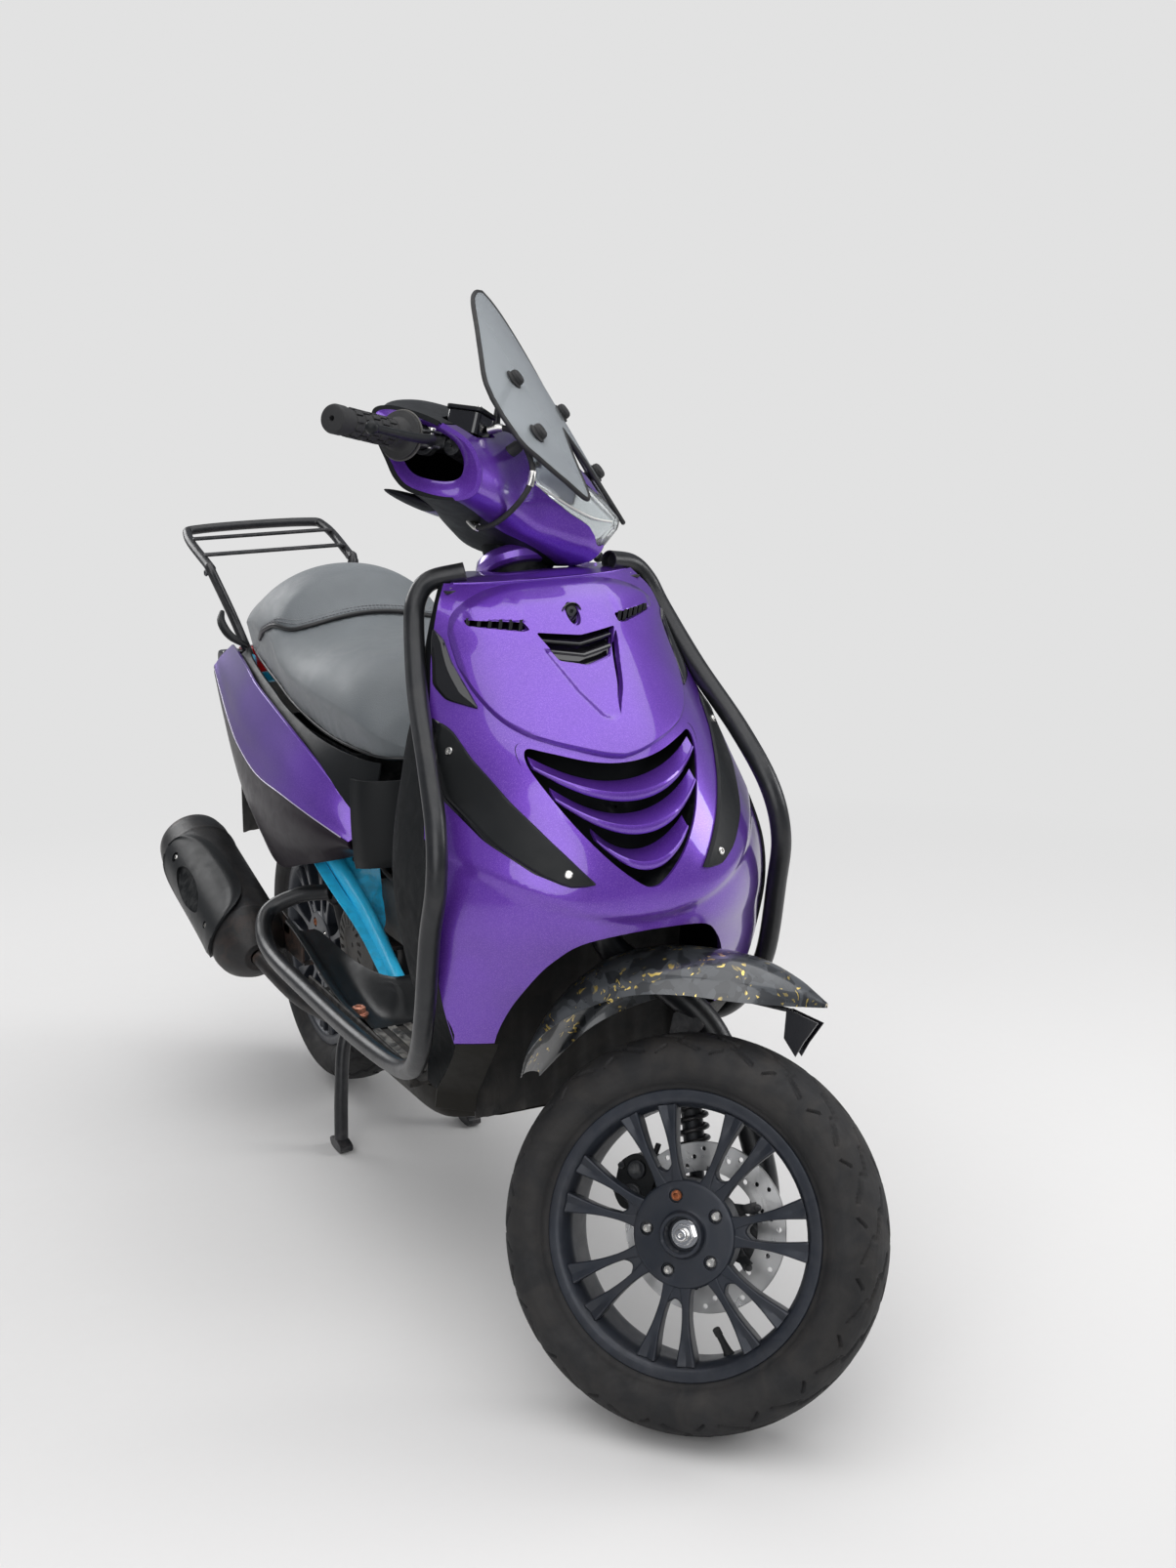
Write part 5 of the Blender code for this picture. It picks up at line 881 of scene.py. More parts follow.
def patch(name, outline, hand, proud, seam, body_finish, replaced, crown=0.0):
    """A cover on the shield inside an outline, with rolled edges and a slight crown."""
    columns = 26
    rows = 60
    lows, highs = min(z for _, z in outline), max(z for _, z in outline)
    outer, inner = [], []
    for i in range(rows + 1):
        z = lows + (highs - lows) * (0.002 + 0.996 * i / rows)
        crossings = []
        for a, b in zip(outline, outline[1:] + outline[:1]):
            if (a[1] > z) != (b[1] > z):
                crossings.append(a[0] + (b[0] - a[0]) * (z - a[1]) / (b[1] - a[1]))
        near, far = min(crossings), max(crossings)
        outer_row, inner_row = [], []
        for j in range(columns + 1):
            v = 0.5 - 0.5 * math.cos(math.pi * j / columns)
            x = near + (far - near) * v
            to_edge = max(0.0, distance_inside(outline, x, z))
            lift = seam + (proud - seam) * eased(to_edge, 0.0, 0.0022) + crown * eased(to_edge, 0.0, 0.012)
            outer_row.append((hand * x, shield_face(x, z, lift), z))
            inner_row.append((hand * x, shield_face(x, z, seam - 0.0010), z))
        outer.append(outer_row)
        inner.append(inner_row)
    obj = new_object(name, sheet(outer, inner))
    return place(obj, "chassis", body_finish, replaced)


def shield_normal(x, z):
    step = 0.004
    across = Vector((2 * step, shield_face(x + step, z) - shield_face(x - step, z), 0))
    upward = Vector((0, shield_face(x, z + step) - shield_face(x, z - step), 2 * step))
    out = across.cross(upward).normalized()
    return out if out.y < 0 else -out


def screw(place_at, out, radius, height=0.0022, socket=0.5):
    """A domed screw head with its socket; out is the way it faces."""
    inner = radius * socket
    profile = [(-0.003, 0.0), (-0.003, radius * 0.6), (0.0, radius), (height * 0.55, radius * 0.97),
               (height, radius * 0.72), (height, inner), (height * 0.25, inner * 0.9), (height * 0.25, 0.0)]
    return turned(profile, place_at, out, 24)


def signal_covers():
    for side, hand in SIDES:
        patch(f"signal_plate_{side}", rounded(SIGNAL_COVER, 0.006, 3), hand, 0.0066, 0.0020, M["satin"],
              f"signal_cover_{side}")
        patch(f"signal_seat_{side}", [(x + (0.0035 if x > 0.12 else 0.002), z + 0.002) for x, z in
              rounded([(0.130 + (x - 0.130) * 1.04, 0.724 + (z - 0.724) * 1.025) for x, z in SIGNAL_COVER],
                      0.006, 3)],
              hand, 0.0016, 0.0004, M["gloss"], ())
        patch(f"indicator_lens_{side}", rounded(INDICATOR, 0.004, 3), hand, 0.0052, 0.0012, M["smoked_lens"],
              f"indicator_{side}", crown=0.004)
        heads = []
        for x, z in ((0.1735, 0.7780), (0.0970, 0.6560)):
            point = Vector((hand * x, shield_face(x, z, 0.0066), z))
            heads.append(screw(point, shield_normal(hand * x, z), 0.0048, 0.0024))
        place(new_object(f"signal_screws_{side}", *heads), "chassis", M["steel"])


front_shield()
louvres()
nose_cover()
nose_deck()
signal_covers()


# Wheels, brake and front suspension

FRONT_TYRE_RADIUS = 0.2294
REAR_TYRE_RADIUS = 0.2280
SPOKE_PAIRS = 7
SPOKE_SPREAD = math.radians(9.5)
SPOKE_START = math.radians(8.6)
BOLT_CIRCLE = 0.0445
BOLT_START = math.radians(66.0)
DISC_X = 0.042
DISC_THICKNESS = 0.004
DISC_RADIUS = 0.100


def polar(radius, angle, x=0.0):
    """A point about the wheel's axis; the angle runs from rearward up."""
    return Vector((x, radius * math.cos(angle), radius * math.sin(angle)))


TYRE_SECTION = (
    # distance across, drop below the crown
    (0.0, 0.0), (0.010, 0.0004), (0.020, 0.0018), (0.030, 0.0046), (0.038, 0.0085), (0.045, 0.0138),
    (0.0505, 0.0205), (0.0540, 0.0280), (0.0550, 0.0360), (0.0543, 0.0440), (0.0515, 0.0510),
    (0.0468, 0.0560), (0.0420, 0.0600), (0.0395, 0.0640),
)
GROOVE = ((0.00, 0.004), (0.34, 0.014), (0.30, 0.021), (0.74, 0.031), (0.70, 0.038), (1.10, 0.052))
SHOULDER_CUT = ((0.52, 0.047), (0.36, 0.056))
TREAD_CELLS = 20
TREAD_STEPS = 720
GROOVE_DEPTH = 0.0030


def polyline_distance(along, across, points):
    """Distance in metres from each place on the unrolled tread to a broken line."""
    nearest = np.full(along.shape, 1.0)
    for (a0, s0), (a1, s1) in zip(points, points[1:]):
        da, ds = a1 - a0, s1 - s0
        share = np.clip(((along - a0) * da + (across - s0) * ds) / (da * da + ds * ds), 0, 1)
        nearest = np.minimum(nearest, np.hypot(along - a0 - share * da, across - s0 - share * ds))
    return nearest


def tyre(name, body, axle, radius, replaced):
    """A road tyre with its grooves cut into the crown and stepped lines on its walls."""
    arc = []
    for (x0, d0), (x1, d1) in zip(TYRE_SECTION, TYRE_SECTION[1:]):
        pieces = 5 if x1 <= 0.055 and d1 < 0.030 else 3
        arc += [(x0 + (x1 - x0) * k / pieces, d0 + (d1 - d0) * k / pieces) for k in range(pieces)]
    arc.append(TYRE_SECTION[-1])
    arc = [(at_key([(d, x) for x, d in TYRE_SECTION], drop)[0] if drop > 0.010 else x, drop) for x,
           drop in arc]
    half = np.array([(x, radius - drop) for x, drop in arc])
    section = np.concatenate([half[::-1], half[1:] * np.array([-1, 1])])
    travel = np.concatenate([[0], np.cumsum(np.hypot(*np.diff(half, axis=0).T))])
    across = np.concatenate([travel[::-1], travel[1:]])
    side = np.concatenate([np.ones(len(half)), -np.ones(len(half) - 1)])
    cell = 2 * math.pi * radius / TREAD_CELLS
    angle = np.arange(TREAD_STEPS) * 2 * math.pi / TREAD_STEPS
    depth = np.zeros((TREAD_STEPS, len(section)))
    for hand, shift in ((1, 0.0), (-1, 0.5)):
        for turn in (-1, 0, 1):
            share = (angle * TREAD_CELLS / (2 * math.pi) + shift) % 1.0 + turn
            along = share[:, None] * cell + 0 * across[None, :]
            reach = across[None, :] + 0 * along
            for line, wide in ((GROOVE, 0.0027), (SHOULDER_CUT, 0.0014)):
                points = [(a * cell, s) for a, s in line]
                gap = polyline_distance(along, reach, points)
                cutting = np.clip((wide - gap) / 0.0011 + 0.5, 0, 1) * GROOVE_DEPTH
                cutting *= np.clip((0.060 - reach) / 0.004, 0, 1) * (side[None, :] == hand)
                depth = np.maximum(depth, cutting)
    for ring, width, height in ((0.0735, 0.0012, 0.0006), (0.0900, 0.0010, 0.0007), (0.0960, 0.0009, 0.0006)):
        depth -= height * np.clip(1 - np.abs(across - ring)[None, :] / width, 0, 1)
    slope = np.gradient(section, axis=0)
    out = np.stack([-slope[:, 1], slope[:, 0]], axis=1)
    out /= np.linalg.norm(out, axis=1)[:, None]
    out *= np.sign((out * (section - np.array([0, radius - 0.04]))).sum(1))[:, None]
    moved = section[None, :, :] - out[None, :, :] * depth[:, :, None]
    rings = []
    inner = [(-0.034, radius - 0.066), (-0.040, radius - 0.045), (-0.025, radius - 0.018),
             (0.025, radius - 0.018), (0.040, radius - 0.045), (0.034, radius - 0.066)]
    for i in range(TREAD_STEPS):
        cos, sin = math.cos(angle[i]), math.sin(angle[i])
        ring = [(x, r * cos, r * sin) for x, r in moved[i]]
        rings.append(ring + [(x, r * cos, r * sin) for x, r in inner])
    obj = new_object(name, bridge(rings, closed=True))
    obj.data.transform(Matrix.Translation(axle))
    return place(obj, body, M["tyre"], replaced)


BARREL = [
    (-0.0375, 0.1500), (-0.0378, 0.1648), (-0.0398, 0.1655), (-0.0415, 0.1640), (-0.0415, 0.1565),
    (-0.0402, 0.1525), (-0.0375, 0.1492), (-0.0310, 0.1462), (-0.0260, 0.1438), (-0.0180, 0.1430),
]
SPOKE_STATIONS = (
    # radius, half-width, front face, depth, groove
    (0.046, 0.0120, -0.0330, 0.020, 0.0), (0.058, 0.0086, -0.0336, 0.019, 0.0),
    (0.070, 0.0060, -0.0340, 0.018, 0.0), (0.083, 0.0048, -0.0344, 0.018, 0.0),
    (0.098, 0.0050, -0.0350, 0.018, 0.0), (0.112, 0.0062, -0.0358, 0.020, 0.0),
    (0.124, 0.0080, -0.0366, 0.022, 0.0010), (0.134, 0.0098, -0.0374, 0.024, 0.0026),
    (0.1415, 0.0112, -0.0380, 0.024, 0.0034), (0.1478, 0.0122, -0.0384, 0.022, 0.0030),
)


def spoke(angle):
    side = Vector((0, -math.sin(angle), math.cos(angle)))
    rings = []
    for i in range(29):
        radius = SPOKE_STATIONS[0][0] + (SPOKE_STATIONS[-1][0] - SPOKE_STATIONS[0][0]) * i / 28
        half, face, deep, groove = at_key(SPOKE_STATIONS, radius)
        middle = polar(radius, angle)
        rings.append([
            middle + side * across * half + Vector((face + back, 0, 0))
            for across, back in (
                (0.0, groove), (0.45, groove * 0.45), (0.78, 0.0), (0.95, 0.0014), (1.0, 0.0045),
                (0.82, deep),
                (-0.82, deep), (-1.0, 0.0045), (-0.95, 0.0014), (-0.78, 0.0), (-0.45, groove * 0.45),
            )
        ])
    return bridge(rings)


def fork_web(angle):
    """The web that joins a pair of spokes at the hub, with a round hollow towards the rim."""
    near = 0.040
    outline_front = []
    for i in range(17):
        u = 2 * i / 16 - 1
        theta = angle + u * SPOKE_SPREAD * 0.96
        outline_front.append((theta, 0.0745 + 0.0150 * u * u))
    rings = []
    for theta, reach in outline_front:
        rings.append([
            polar(near, theta, -0.0328), polar(reach - 0.002, theta, -0.0328), polar(reach, theta, -0.0306),
            polar(reach, theta, -0.0190), polar(near, theta, -0.0150),
        ])
    return bridge(rings)


def wheel(side, body, axle, hub_end, replaced):
    """The cast wheel: barrel, hub, seven forks of two spokes, bolts and valve."""
    barrel = BARREL + [(-x, r) for x, r in reversed(BARREL)]
    shapes = [turned(barrel, (0, 0, 0), sides=144)]
    hub = [
        (-0.0290, 0.0120), (-0.0290, 0.0190), (-0.0440, 0.0200), (-0.0462, 0.0215), (-0.0462, 0.0248),
        (-0.0440, 0.0262), (-0.0385, 0.0268), (-0.0368, 0.0285), (-0.0362, 0.0340), (-0.0360, 0.0560),
        (-0.0350, 0.0600), (-0.0320, 0.0622), (-0.0100, 0.0622), (-0.0100, 0.0300), (hub_end, 0.0280),
        (hub_end, 0.0120),
    ]
    for middle in circle(SPOKE_PAIRS, SPOKE_START):
        shapes.append(fork_web(middle))
        shapes += [spoke(middle + hand * SPOKE_SPREAD) for hand in (-1, 1)]
    bolts = circle(5, BOLT_START)
    rim = new_object(f"{side}_wheel_casting", *shapes)
    rim.data.transform(Matrix.Translation(axle))
    place(rim, body, M["wheel"], replaced, edge=0.0006, angle=34)
    hub_piece = new_object(f"{side}_wheel_hub", turned(hub, (0, 0, 0), sides=96))
    cut(hub_piece, *[
        turned([(-0.0400, 0.0), (-0.0400, 0.0088), (-0.0320, 0.0082), (-0.0320, 0.0)],
               polar(BOLT_CIRCLE, angle),
               sides=28)
        for angle in bolts
    ])
    hub_piece.data.transform(Matrix.Translation(axle))
    place(hub_piece, body, M["wheel"], edge=0.0005, angle=34)
    for k, angle in enumerate(bolts):
        bolt = new_object(f"{side}_wheel_bolt_{k + 1}", screw(
            polar(BOLT_CIRCLE, angle, -0.0330) + axle, (-1, 0, 0), 0.0062, 0.0045, 0.52))
        cut(bolt, prism([(y + polar(BOLT_CIRCLE, angle).y + axle.y, z + polar(BOLT_CIRCLE, angle).z + axle.z)
                         for y, z in hexagon(0.0030)], "X", -0.0400, -0.0345))
        place(bolt, body, M["rust"] if k == 0 else M["steel"], edge=0.0003)
    valve_angle = math.radians(239.0)
    valve = new_object(
        f"{side}_valve",
        tube([polar(0.1440, valve_angle, -0.006), polar(0.1380, valve_angle, -0.008),
              polar(0.1280, valve_angle, -0.013), polar(0.1140, valve_angle, -0.021)],
             [0.0070, 0.0050, 0.0040, 0.0038], 20),
        tube([polar(0.1185, valve_angle, -0.0187), polar(0.1110, valve_angle, -0.0230)], 0.0046, 20),
    )
    valve.data.transform(Matrix.Translation(axle))
    place(valve, body, M["rubber"], edge=0.0006)


def axle_nut(side, body, axle):
    """The bright nut in the hub's sleeve, with its washer and the axle's drilled end."""
    nut = new_object(
        f"{side}_axle_nut",
        prism([(axle.y + y, axle.z + z) for y, z in hexagon(0.0132)], "X", -0.0400, -0.0300),
        turned([(-0.0310, 0.0060), (-0.0310, 0.0165), (-0.0290, 0.0172), (-0.0290, 0.0060)], axle, sides=40),
        turned([(-0.0460, 0.0022), (-0.0460, 0.0058), (-0.0450, 0.0070), (-0.0300, 0.0070),
                (-0.0300, 0.0022)],
               axle, sides=32),
    )
    place(nut, body, M["chrome"], edge=0.0007)


def brake_disc():
    """The drilled disc with its dark carrier."""
    ring = new_object("brake_disc_ring", turned(
        [(DISC_X, 0.0655), (DISC_X, DISC_RADIUS - 0.0006), (DISC_X + 0.0006, DISC_RADIUS),
         (DISC_X + DISC_THICKNESS - 0.0006, DISC_RADIUS), (DISC_X + DISC_THICKNESS, DISC_RADIUS - 0.0006),
         (DISC_X + DISC_THICKNESS, 0.0655)], (0, 0, 0), sides=160))
    drill = []
    for k in range(12):
        for step, radius in enumerate((0.0735, 0.0825, 0.0915)):
            middle = polar(radius, 2 * math.pi * (k + step * 0.28) / 12)
            drill.append(turned([(DISC_X - 0.01, 0.0), (DISC_X - 0.01, 0.0030), (DISC_X + 0.02, 0.0030),
                                 (DISC_X + 0.02, 0.0)], middle, sides=18))
    combine(ring, new_object("drill", *drill), "DIFFERENCE")
    ring.matrix_world = Matrix.Identity(4)
    ring.data.materials.clear()
    ring.data.materials.append(M["disc"])
    ring.data.shade_smooth()
    ring.data.set_sharp_from_angle(angle=math.radians(30))
    ring.matrix_world = TURNED @ Matrix.Translation(FRONT_AXLE)
    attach(ring, "front_wheel")
    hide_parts("front_disc")
    shapes = [turned([(DISC_X - 0.006, 0.012), (DISC_X - 0.006, 0.040), (DISC_X + 0.002, 0.046),
                      (DISC_X + 0.0045, 0.046), (DISC_X + 0.0045, 0.012)], FRONT_AXLE, sides=64)]
    for angle in circle(6, 0.3):
        start, end = polar(0.040, angle, DISC_X + 0.0012), polar(0.0700, angle + 0.16, DISC_X + 0.0012)
        side = Vector((0, -math.sin(angle + 0.3), math.cos(angle + 0.3)))
        rings = []
        for point, half in ((start, 0.0090), (start.lerp(end, 0.5), 0.0055), (end, 0.0075)):
            rings.append([FRONT_AXLE + point + side * half * a + Vector((b, 0, 0))
                          for a, b in ((1, -0.0016), (1, 0.0034), (-1, 0.0034), (-1, -0.0016))])
        shapes.append(bridge(rings))
        shapes.append(turned([(-0.0026, 0.0), (-0.0026, 0.0045), (0.0046, 0.0045), (0.0046, 0.0)],
                             FRONT_AXLE + end, sides=16))
    place(new_object("brake_disc_carrier", *shapes), "front_wheel", M["dark_metal"],
          edge=0.0007)


PIVOT_Y = -0.062
PIVOT_Z = 0.215
ARM_X = 0.053
ARM_THICKNESS = 0.016
SHOCK_X = 0.084
LEG_X = 0.092
LEG_RADIUS = 0.018


def front_suspension():
    """The trailing arm, the spring unit, the caliper and the leg's pivot."""
    ax = FRONT_AXLE
    low, high = ARM_X, ARM_X + ARM_THICKNESS
    outline = rounded([
        (PIVOT_Y - 0.022, PIVOT_Z), (PIVOT_Y, PIVOT_Z + 0.022), (0.012, ax.z + 0.050), (0.045, ax.z + 0.050),
        (0.075, ax.z + 0.020), (0.075, ax.z - 0.025), (0.000, ax.z - 0.026), (PIVOT_Y, PIVOT_Z - 0.022),
    ], 0.012, 5)
    arm = new_object("trailing_arm", prism(outline, "X", low, high))
    cut(arm, prism(rounded([
        (-0.030, ax.z + 0.012), (0.006, ax.z + 0.030), (0.036, ax.z + 0.036), (0.050, ax.z + 0.020),
        (0.028, ax.z + 0.022), (-0.008, ax.z + 0.020)], 0.004), "X", high - 0.004, high + 0.01))
    place(arm, "steered_front", M["dark_metal"], "suspension_arm", edge=0.0018, segments=3)
    axle = new_object(
        "front_axle",
        turned([(-0.0440, 0.0), (-0.0440, 0.0078), (high, 0.0078), (high, 0.0)], ax, sides=32),
        prism([(ax.y + y, ax.z + z) for y, z in hexagon(0.0120)], "X", high, high + 0.008),
        turned([(high, 0.0), (high, 0.0150), (high + 0.0015, 0.0150), (high + 0.0015, 0.0)], ax, sides=32),
        turned([(DISC_X + DISC_THICKNESS + 0.0008, 0.009), (DISC_X + DISC_THICKNESS + 0.0008, 0.022),
                (low + 0.001, 0.022), (low + 0.001, 0.009)], ax, sides=40),
    )
    place(axle, "steered_front", M["steel"], edge=0.0006)
    shock_low = Vector((SHOCK_X, 0.031, ax.z + 0.038))
    shock_high = Vector((SHOCK_X, 0.086, 0.436))
    span = shock_high - shock_low
    length = span.length
    body = new_object(
        "shock_body",
        turned([(0.0, 0.0), (0.0, 0.009), (length * 0.12, 0.009), (length * 0.13, 0.017),
                (length * 0.15, 0.0205), (length * 0.18, 0.0205), (length * 0.18, 0.013),
                (length * 0.52, 0.013),
                (length * 0.53, 0.006), (length * 0.83, 0.006), (length * 0.83, 0.0205),
                (length * 0.87, 0.0205),
                (length * 0.90, 0.012), (length, 0.010), (length, 0.0)], shock_low, span, 32),
        rod(shock_high + Vector((-0.013, 0, 0)), shock_high + Vector((0.013, 0, 0)), 0.012),
        rod(shock_low + Vector((-0.016, 0, 0)), shock_low + Vector((0.012, 0, 0)), 0.0115),
    )
    place(body, "steered_front", M["dark_metal"], "front_shock", edge=0.0008)
    spring = new_object("shock_spring", coil(
        shock_low.lerp(shock_high, 0.19), shock_low.lerp(shock_high, 0.83), 0.0175, 0.0031, 8.2, 12))
    place(spring, "steered_front", M["tube"])
    shaft = new_object("shock_shaft", rod(shock_low.lerp(shock_high, 0.50), shock_low.lerp(shock_high, 0.85),
                                          0.0066))
    place(shaft, "steered_front", M["chrome"])

    angle = math.radians(20)
    at = ax + Vector((0, math.cos(angle), math.sin(angle))) * (DISC_RADIUS - 0.004)
    right_x, left_x = DISC_X - 0.0016, DISC_X + DISC_THICKNESS + 0.0016
    outline = rounded([(at.y - 0.020, at.z - 0.032), (at.y + 0.010, at.z - 0.036),
                       (at.y + 0.024, at.z - 0.020),
                       (at.y + 0.024, at.z + 0.018), (at.y + 0.008, at.z + 0.033),
                       (at.y - 0.018, at.z + 0.030),
                       (at.y - 0.024, at.z + 0.010)], 0.008)
    caliper = new_object("brake_caliper", prism(outline, "X", right_x - 0.017, high + 0.002))
    slot = turned([(right_x, 0.026), (right_x, DISC_RADIUS + 0.003), (left_x, DISC_RADIUS + 0.003),
                   (left_x, 0.026)], ax, sides=96)
    window = prism(rounded([(at.y - 0.010, at.z - 0.016), (at.y + 0.030, at.z - 0.014),
                            (at.y + 0.030, at.z + 0.012), (at.y - 0.010, at.z + 0.014)], 0.003), "X",
                   right_x - 0.001, left_x + 0.004)
    cut(caliper, slot, window)
    place(caliper, "steered_front", M["satin"], "caliper", edge=0.0014, segments=3)
    details = []
    for shift in (-0.015, 0.014):
        spot = Vector((right_x - 0.017, at.y + 0.001, at.z + shift))
        details.append(turned([(0.001, 0.0), (0.001, 0.0125), (-0.003, 0.0118), (-0.004, 0.0100),
                               (-0.0032, 0.0)],
                              spot, sides=32))
        details.append(prism([(spot.y + 0.019 + y, spot.z + z) for y, z in hexagon(0.0048)], "X",
                             right_x - 0.020, right_x - 0.013))
    details.append(rod((high - 0.004, at.y - 0.004, at.z + 0.030), (high - 0.004, at.y - 0.006, at.z + 0.044),
                       0.0035))
    place(new_object("caliper_details", *details), "steered_front", M["dark_metal"],
          edge=0.0006)


FENDER_ROWS = (
    # distance back, top, lower edge, half-width
    (-0.100, 0.520, 0.514, 0.006), (-0.060, 0.540, 0.507, 0.034), (-0.010, 0.553, 0.500, 0.056),
    (0.050, 0.552, 0.494, 0.067), (0.110, 0.541, 0.480, 0.072), (0.165, 0.515, 0.450, 0.073),
    (0.205, 0.468, 0.415, 0.068), (0.228, 0.415, 0.380, 0.055), (0.240, 0.360, 0.350, 0.030),
)
FENDER_WALL = 0.003


def front_fender():
    stations = []
    for low, high in zip(FENDER_ROWS, FENDER_ROWS[1:]):
        stations += [low[0] + (high[0] - low[0]) * k / 12 for k in range(12)]
    stations.append(FENDER_ROWS[-1][0])
    outer, inner = [], []
    for back in stations:
        top, low, half = at_key(FENDER_ROWS, back)
        outer_row, inner_row = [], []
        for i in range(41):
            angle = math.pi * i / 40
            x = -math.cos(angle)
            rise = math.sin(angle) ** 0.72 if 0 < i < 40 else 0.0
            outer_row.append((x * half, back, low + (top - low) * rise))
            inner_row.append((x * (half - FENDER_WALL), back, low + (top - low - FENDER_WALL) * rise))
        outer.append(outer_row)
        inner.append(inner_row)
    shell = new_object("fender_shell", sheet(outer, inner))
    leg_room = tube([(LEG_X * 0.75, 0.120, 0.492), (LEG_X, 0.060, 0.452), (LEG_X, 0.0, 0.375)],
                    LEG_RADIUS + 0.002, 24)
    cut(shell, leg_room)
    place(shell, "steered_front", M["composite"], "front_fender", edge=0.0009, angle=50)


def steering_leg():
    """The turning tube, its bend over the wheel and the single leg, with the pivot's cap."""
    route = smooth([
        on_steering_axis(0.560), (0.022, 0.176, 0.520), (LEG_X * 0.75, 0.120, 0.492), (LEG_X, 0.060, 0.452),
        (LEG_X, 0.000, 0.375), (LEG_X, -0.045, 0.290), (LEG_X, PIVOT_Y, PIVOT_Z),
    ], 8)
    lug = rounded([(0.075, 0.428), (0.103, 0.428), (0.103, 0.462), (0.080, 0.468), (0.060, 0.455)], 0.005)
    leg = new_object(
        "steering_tube_and_leg",
        tube([on_steering_axis(1.010), *route], LEG_RADIUS, 32),
        rod((ARM_X + ARM_THICKNESS + 0.0005, PIVOT_Y, PIVOT_Z), (LEG_X + LEG_RADIUS, PIVOT_Y, PIVOT_Z), 0.021,
            40),
        rod(on_steering_axis(0.902), on_steering_axis(0.975), 0.0285, 40),
        *[prism(lug, "X", SHOCK_X + side, SHOCK_X + side + 0.005) for side in (-0.013, 0.008)],
    )
    place(leg, "steered_front", M["tube"], "steering_stem", edge=0.0010)
    cap = new_object("pivot_bolt", screw((LEG_X + LEG_RADIUS, PIVOT_Y, PIVOT_Z), (1, 0, 0), 0.011, 0.006,
                                         0.45))
    place(cap, "steered_front", M["steel"], edge=0.0005)
    bracket = new_object("fender_bracket", *[
        prism([(-0.098, 0.496), (-0.058, 0.504), (-0.062, 0.470), (-0.080, 0.452), (-0.086, 0.470)], "X",
              min(x, x + 0.0025 * hand), max(x, x + 0.0025 * hand))
        for hand, x in ((-1, -0.012), (1, 0.012))
    ], prism([(-0.058, 0.5035), (-0.058, 0.500), (0.060, 0.499), (0.060, 0.5025)], "X", -0.0145, 0.0145))
    place(bracket, "steered_front", M["gloss"], edge=0.0006)


def rear_drum():
    drum = new_object("rear_drum", turned(
        [(0.032, 0.010), (0.032, 0.064), (0.036, 0.070), (0.046, 0.070), (0.046, 0.066), (0.052, 0.066),
         (0.052, 0.070), (0.0715, 0.070), (0.0715, 0.010)], REAR_AXLE, sides=72))
    place(drum, "chassis", M["engine_dark"], "rear_brake_drum", edge=0.0010)


tyre("front_tyre_tread", "front_wheel", FRONT_AXLE, FRONT_TYRE_RADIUS, "front_tyre")
tyre("rear_tyre_tread", "rear_wheel", REAR_AXLE, REAR_TYRE_RADIUS, "rear_tyre")
wheel("front", "front_wheel", FRONT_AXLE, DISC_X - 0.007, "front_rim")
wheel("rear", "rear_wheel", REAR_AXLE, 0.0312, "rear_rim")
axle_nut("front", "steered_front", FRONT_AXLE)
axle_nut("rear", "chassis", REAR_AXLE)
brake_disc()
front_suspension()
front_fender()
steering_leg()
rear_drum()


# Handlebar

BAR_RADIUS = 0.011
BAR_END = 0.335
BAR_BEND = 0.145
BAR_Y = 0.477
BAR_Z = 1.070
BAR_SWEEP = math.radians(5.7)
BAR_DROOP = math.radians(7.9)
GRIP_INNER = 0.210
GRIP_OUTER = 0.345
PERCH_X = 0.192
RESERVOIR_X = -0.128
COVER_CENTRE_Y = 0.472
COVER_CENTRE_Z = 1.040
COVER_HALF_WIDTH = 0.186
COVER_WALL = 0.004
COVER_OUTLINE = (
    # distance back and height of the cover's middle section
    (0.292, 1.000), (0.300, 1.045), (0.345, 1.092), (0.420, 1.120), (0.500, 1.138), (0.560, 1.143),
    (0.592, 1.128), (0.575, 1.080), (0.535, 1.030), (0.505, 0.995), (0.468, 0.974), (0.400, 0.966),
    (0.345, 0.968), (0.310, 0.978),
)
COVER_SHRINK = (
    # share of the half-width, and the section's size there ahead of its centre, behind it and below it
    (0.0, 1.0, 1.0, 1.0), (0.15, 0.93, 0.99, 0.90), (0.28, 0.79, 0.96, 0.80), (0.40, 0.64, 0.92, 0.74),
    (0.60, 0.56, 0.82, 0.66), (0.80, 0.54, 0.68, 0.60), (1.0, 0.50, 0.56, 0.56),
)
COVER_SPLIT_TOP = 3
COVER_SPLIT_LOW = 12
REAR_COVER_GAP = 0.5
HEADLIGHT_ROWS = (
    # distance back, bottom, height of the corner, top, half-width at the bottom, corner and top
    (0.281, 1.022, 1.030, 1.038, 0.004, 0.008, 0.006), (0.300, 0.994, 1.028, 1.052, 0.010, 0.028, 0.022),
    (0.325, 0.987, 1.035, 1.070, 0.014, 0.052, 0.046), (0.360, 0.991, 1.050, 1.088, 0.016, 0.072, 0.062),
    (0.384, 0.998, 1.056, 1.100, 0.016, 0.076, 0.062),
)
SCREEN_COLUMNS = (
    # distance across, lower edge, upper edge
    (0.000, 1.138, 1.301), (0.028, 1.098, 1.292), (0.056, 1.047, 1.272), (0.091, 1.058, 1.226),
    (0.120, 1.076, 1.182), (0.135, 1.090, 1.155), (0.140, 1.115, 1.135),
)
SCREEN_MIDDLE = (0.378, 1.138)
SCREEN_SLOPE = 0.94
SCREEN_SWEEP = 1.84
SCREEN_NORMAL = Vector((0, -1, SCREEN_SLOPE)).normalized()


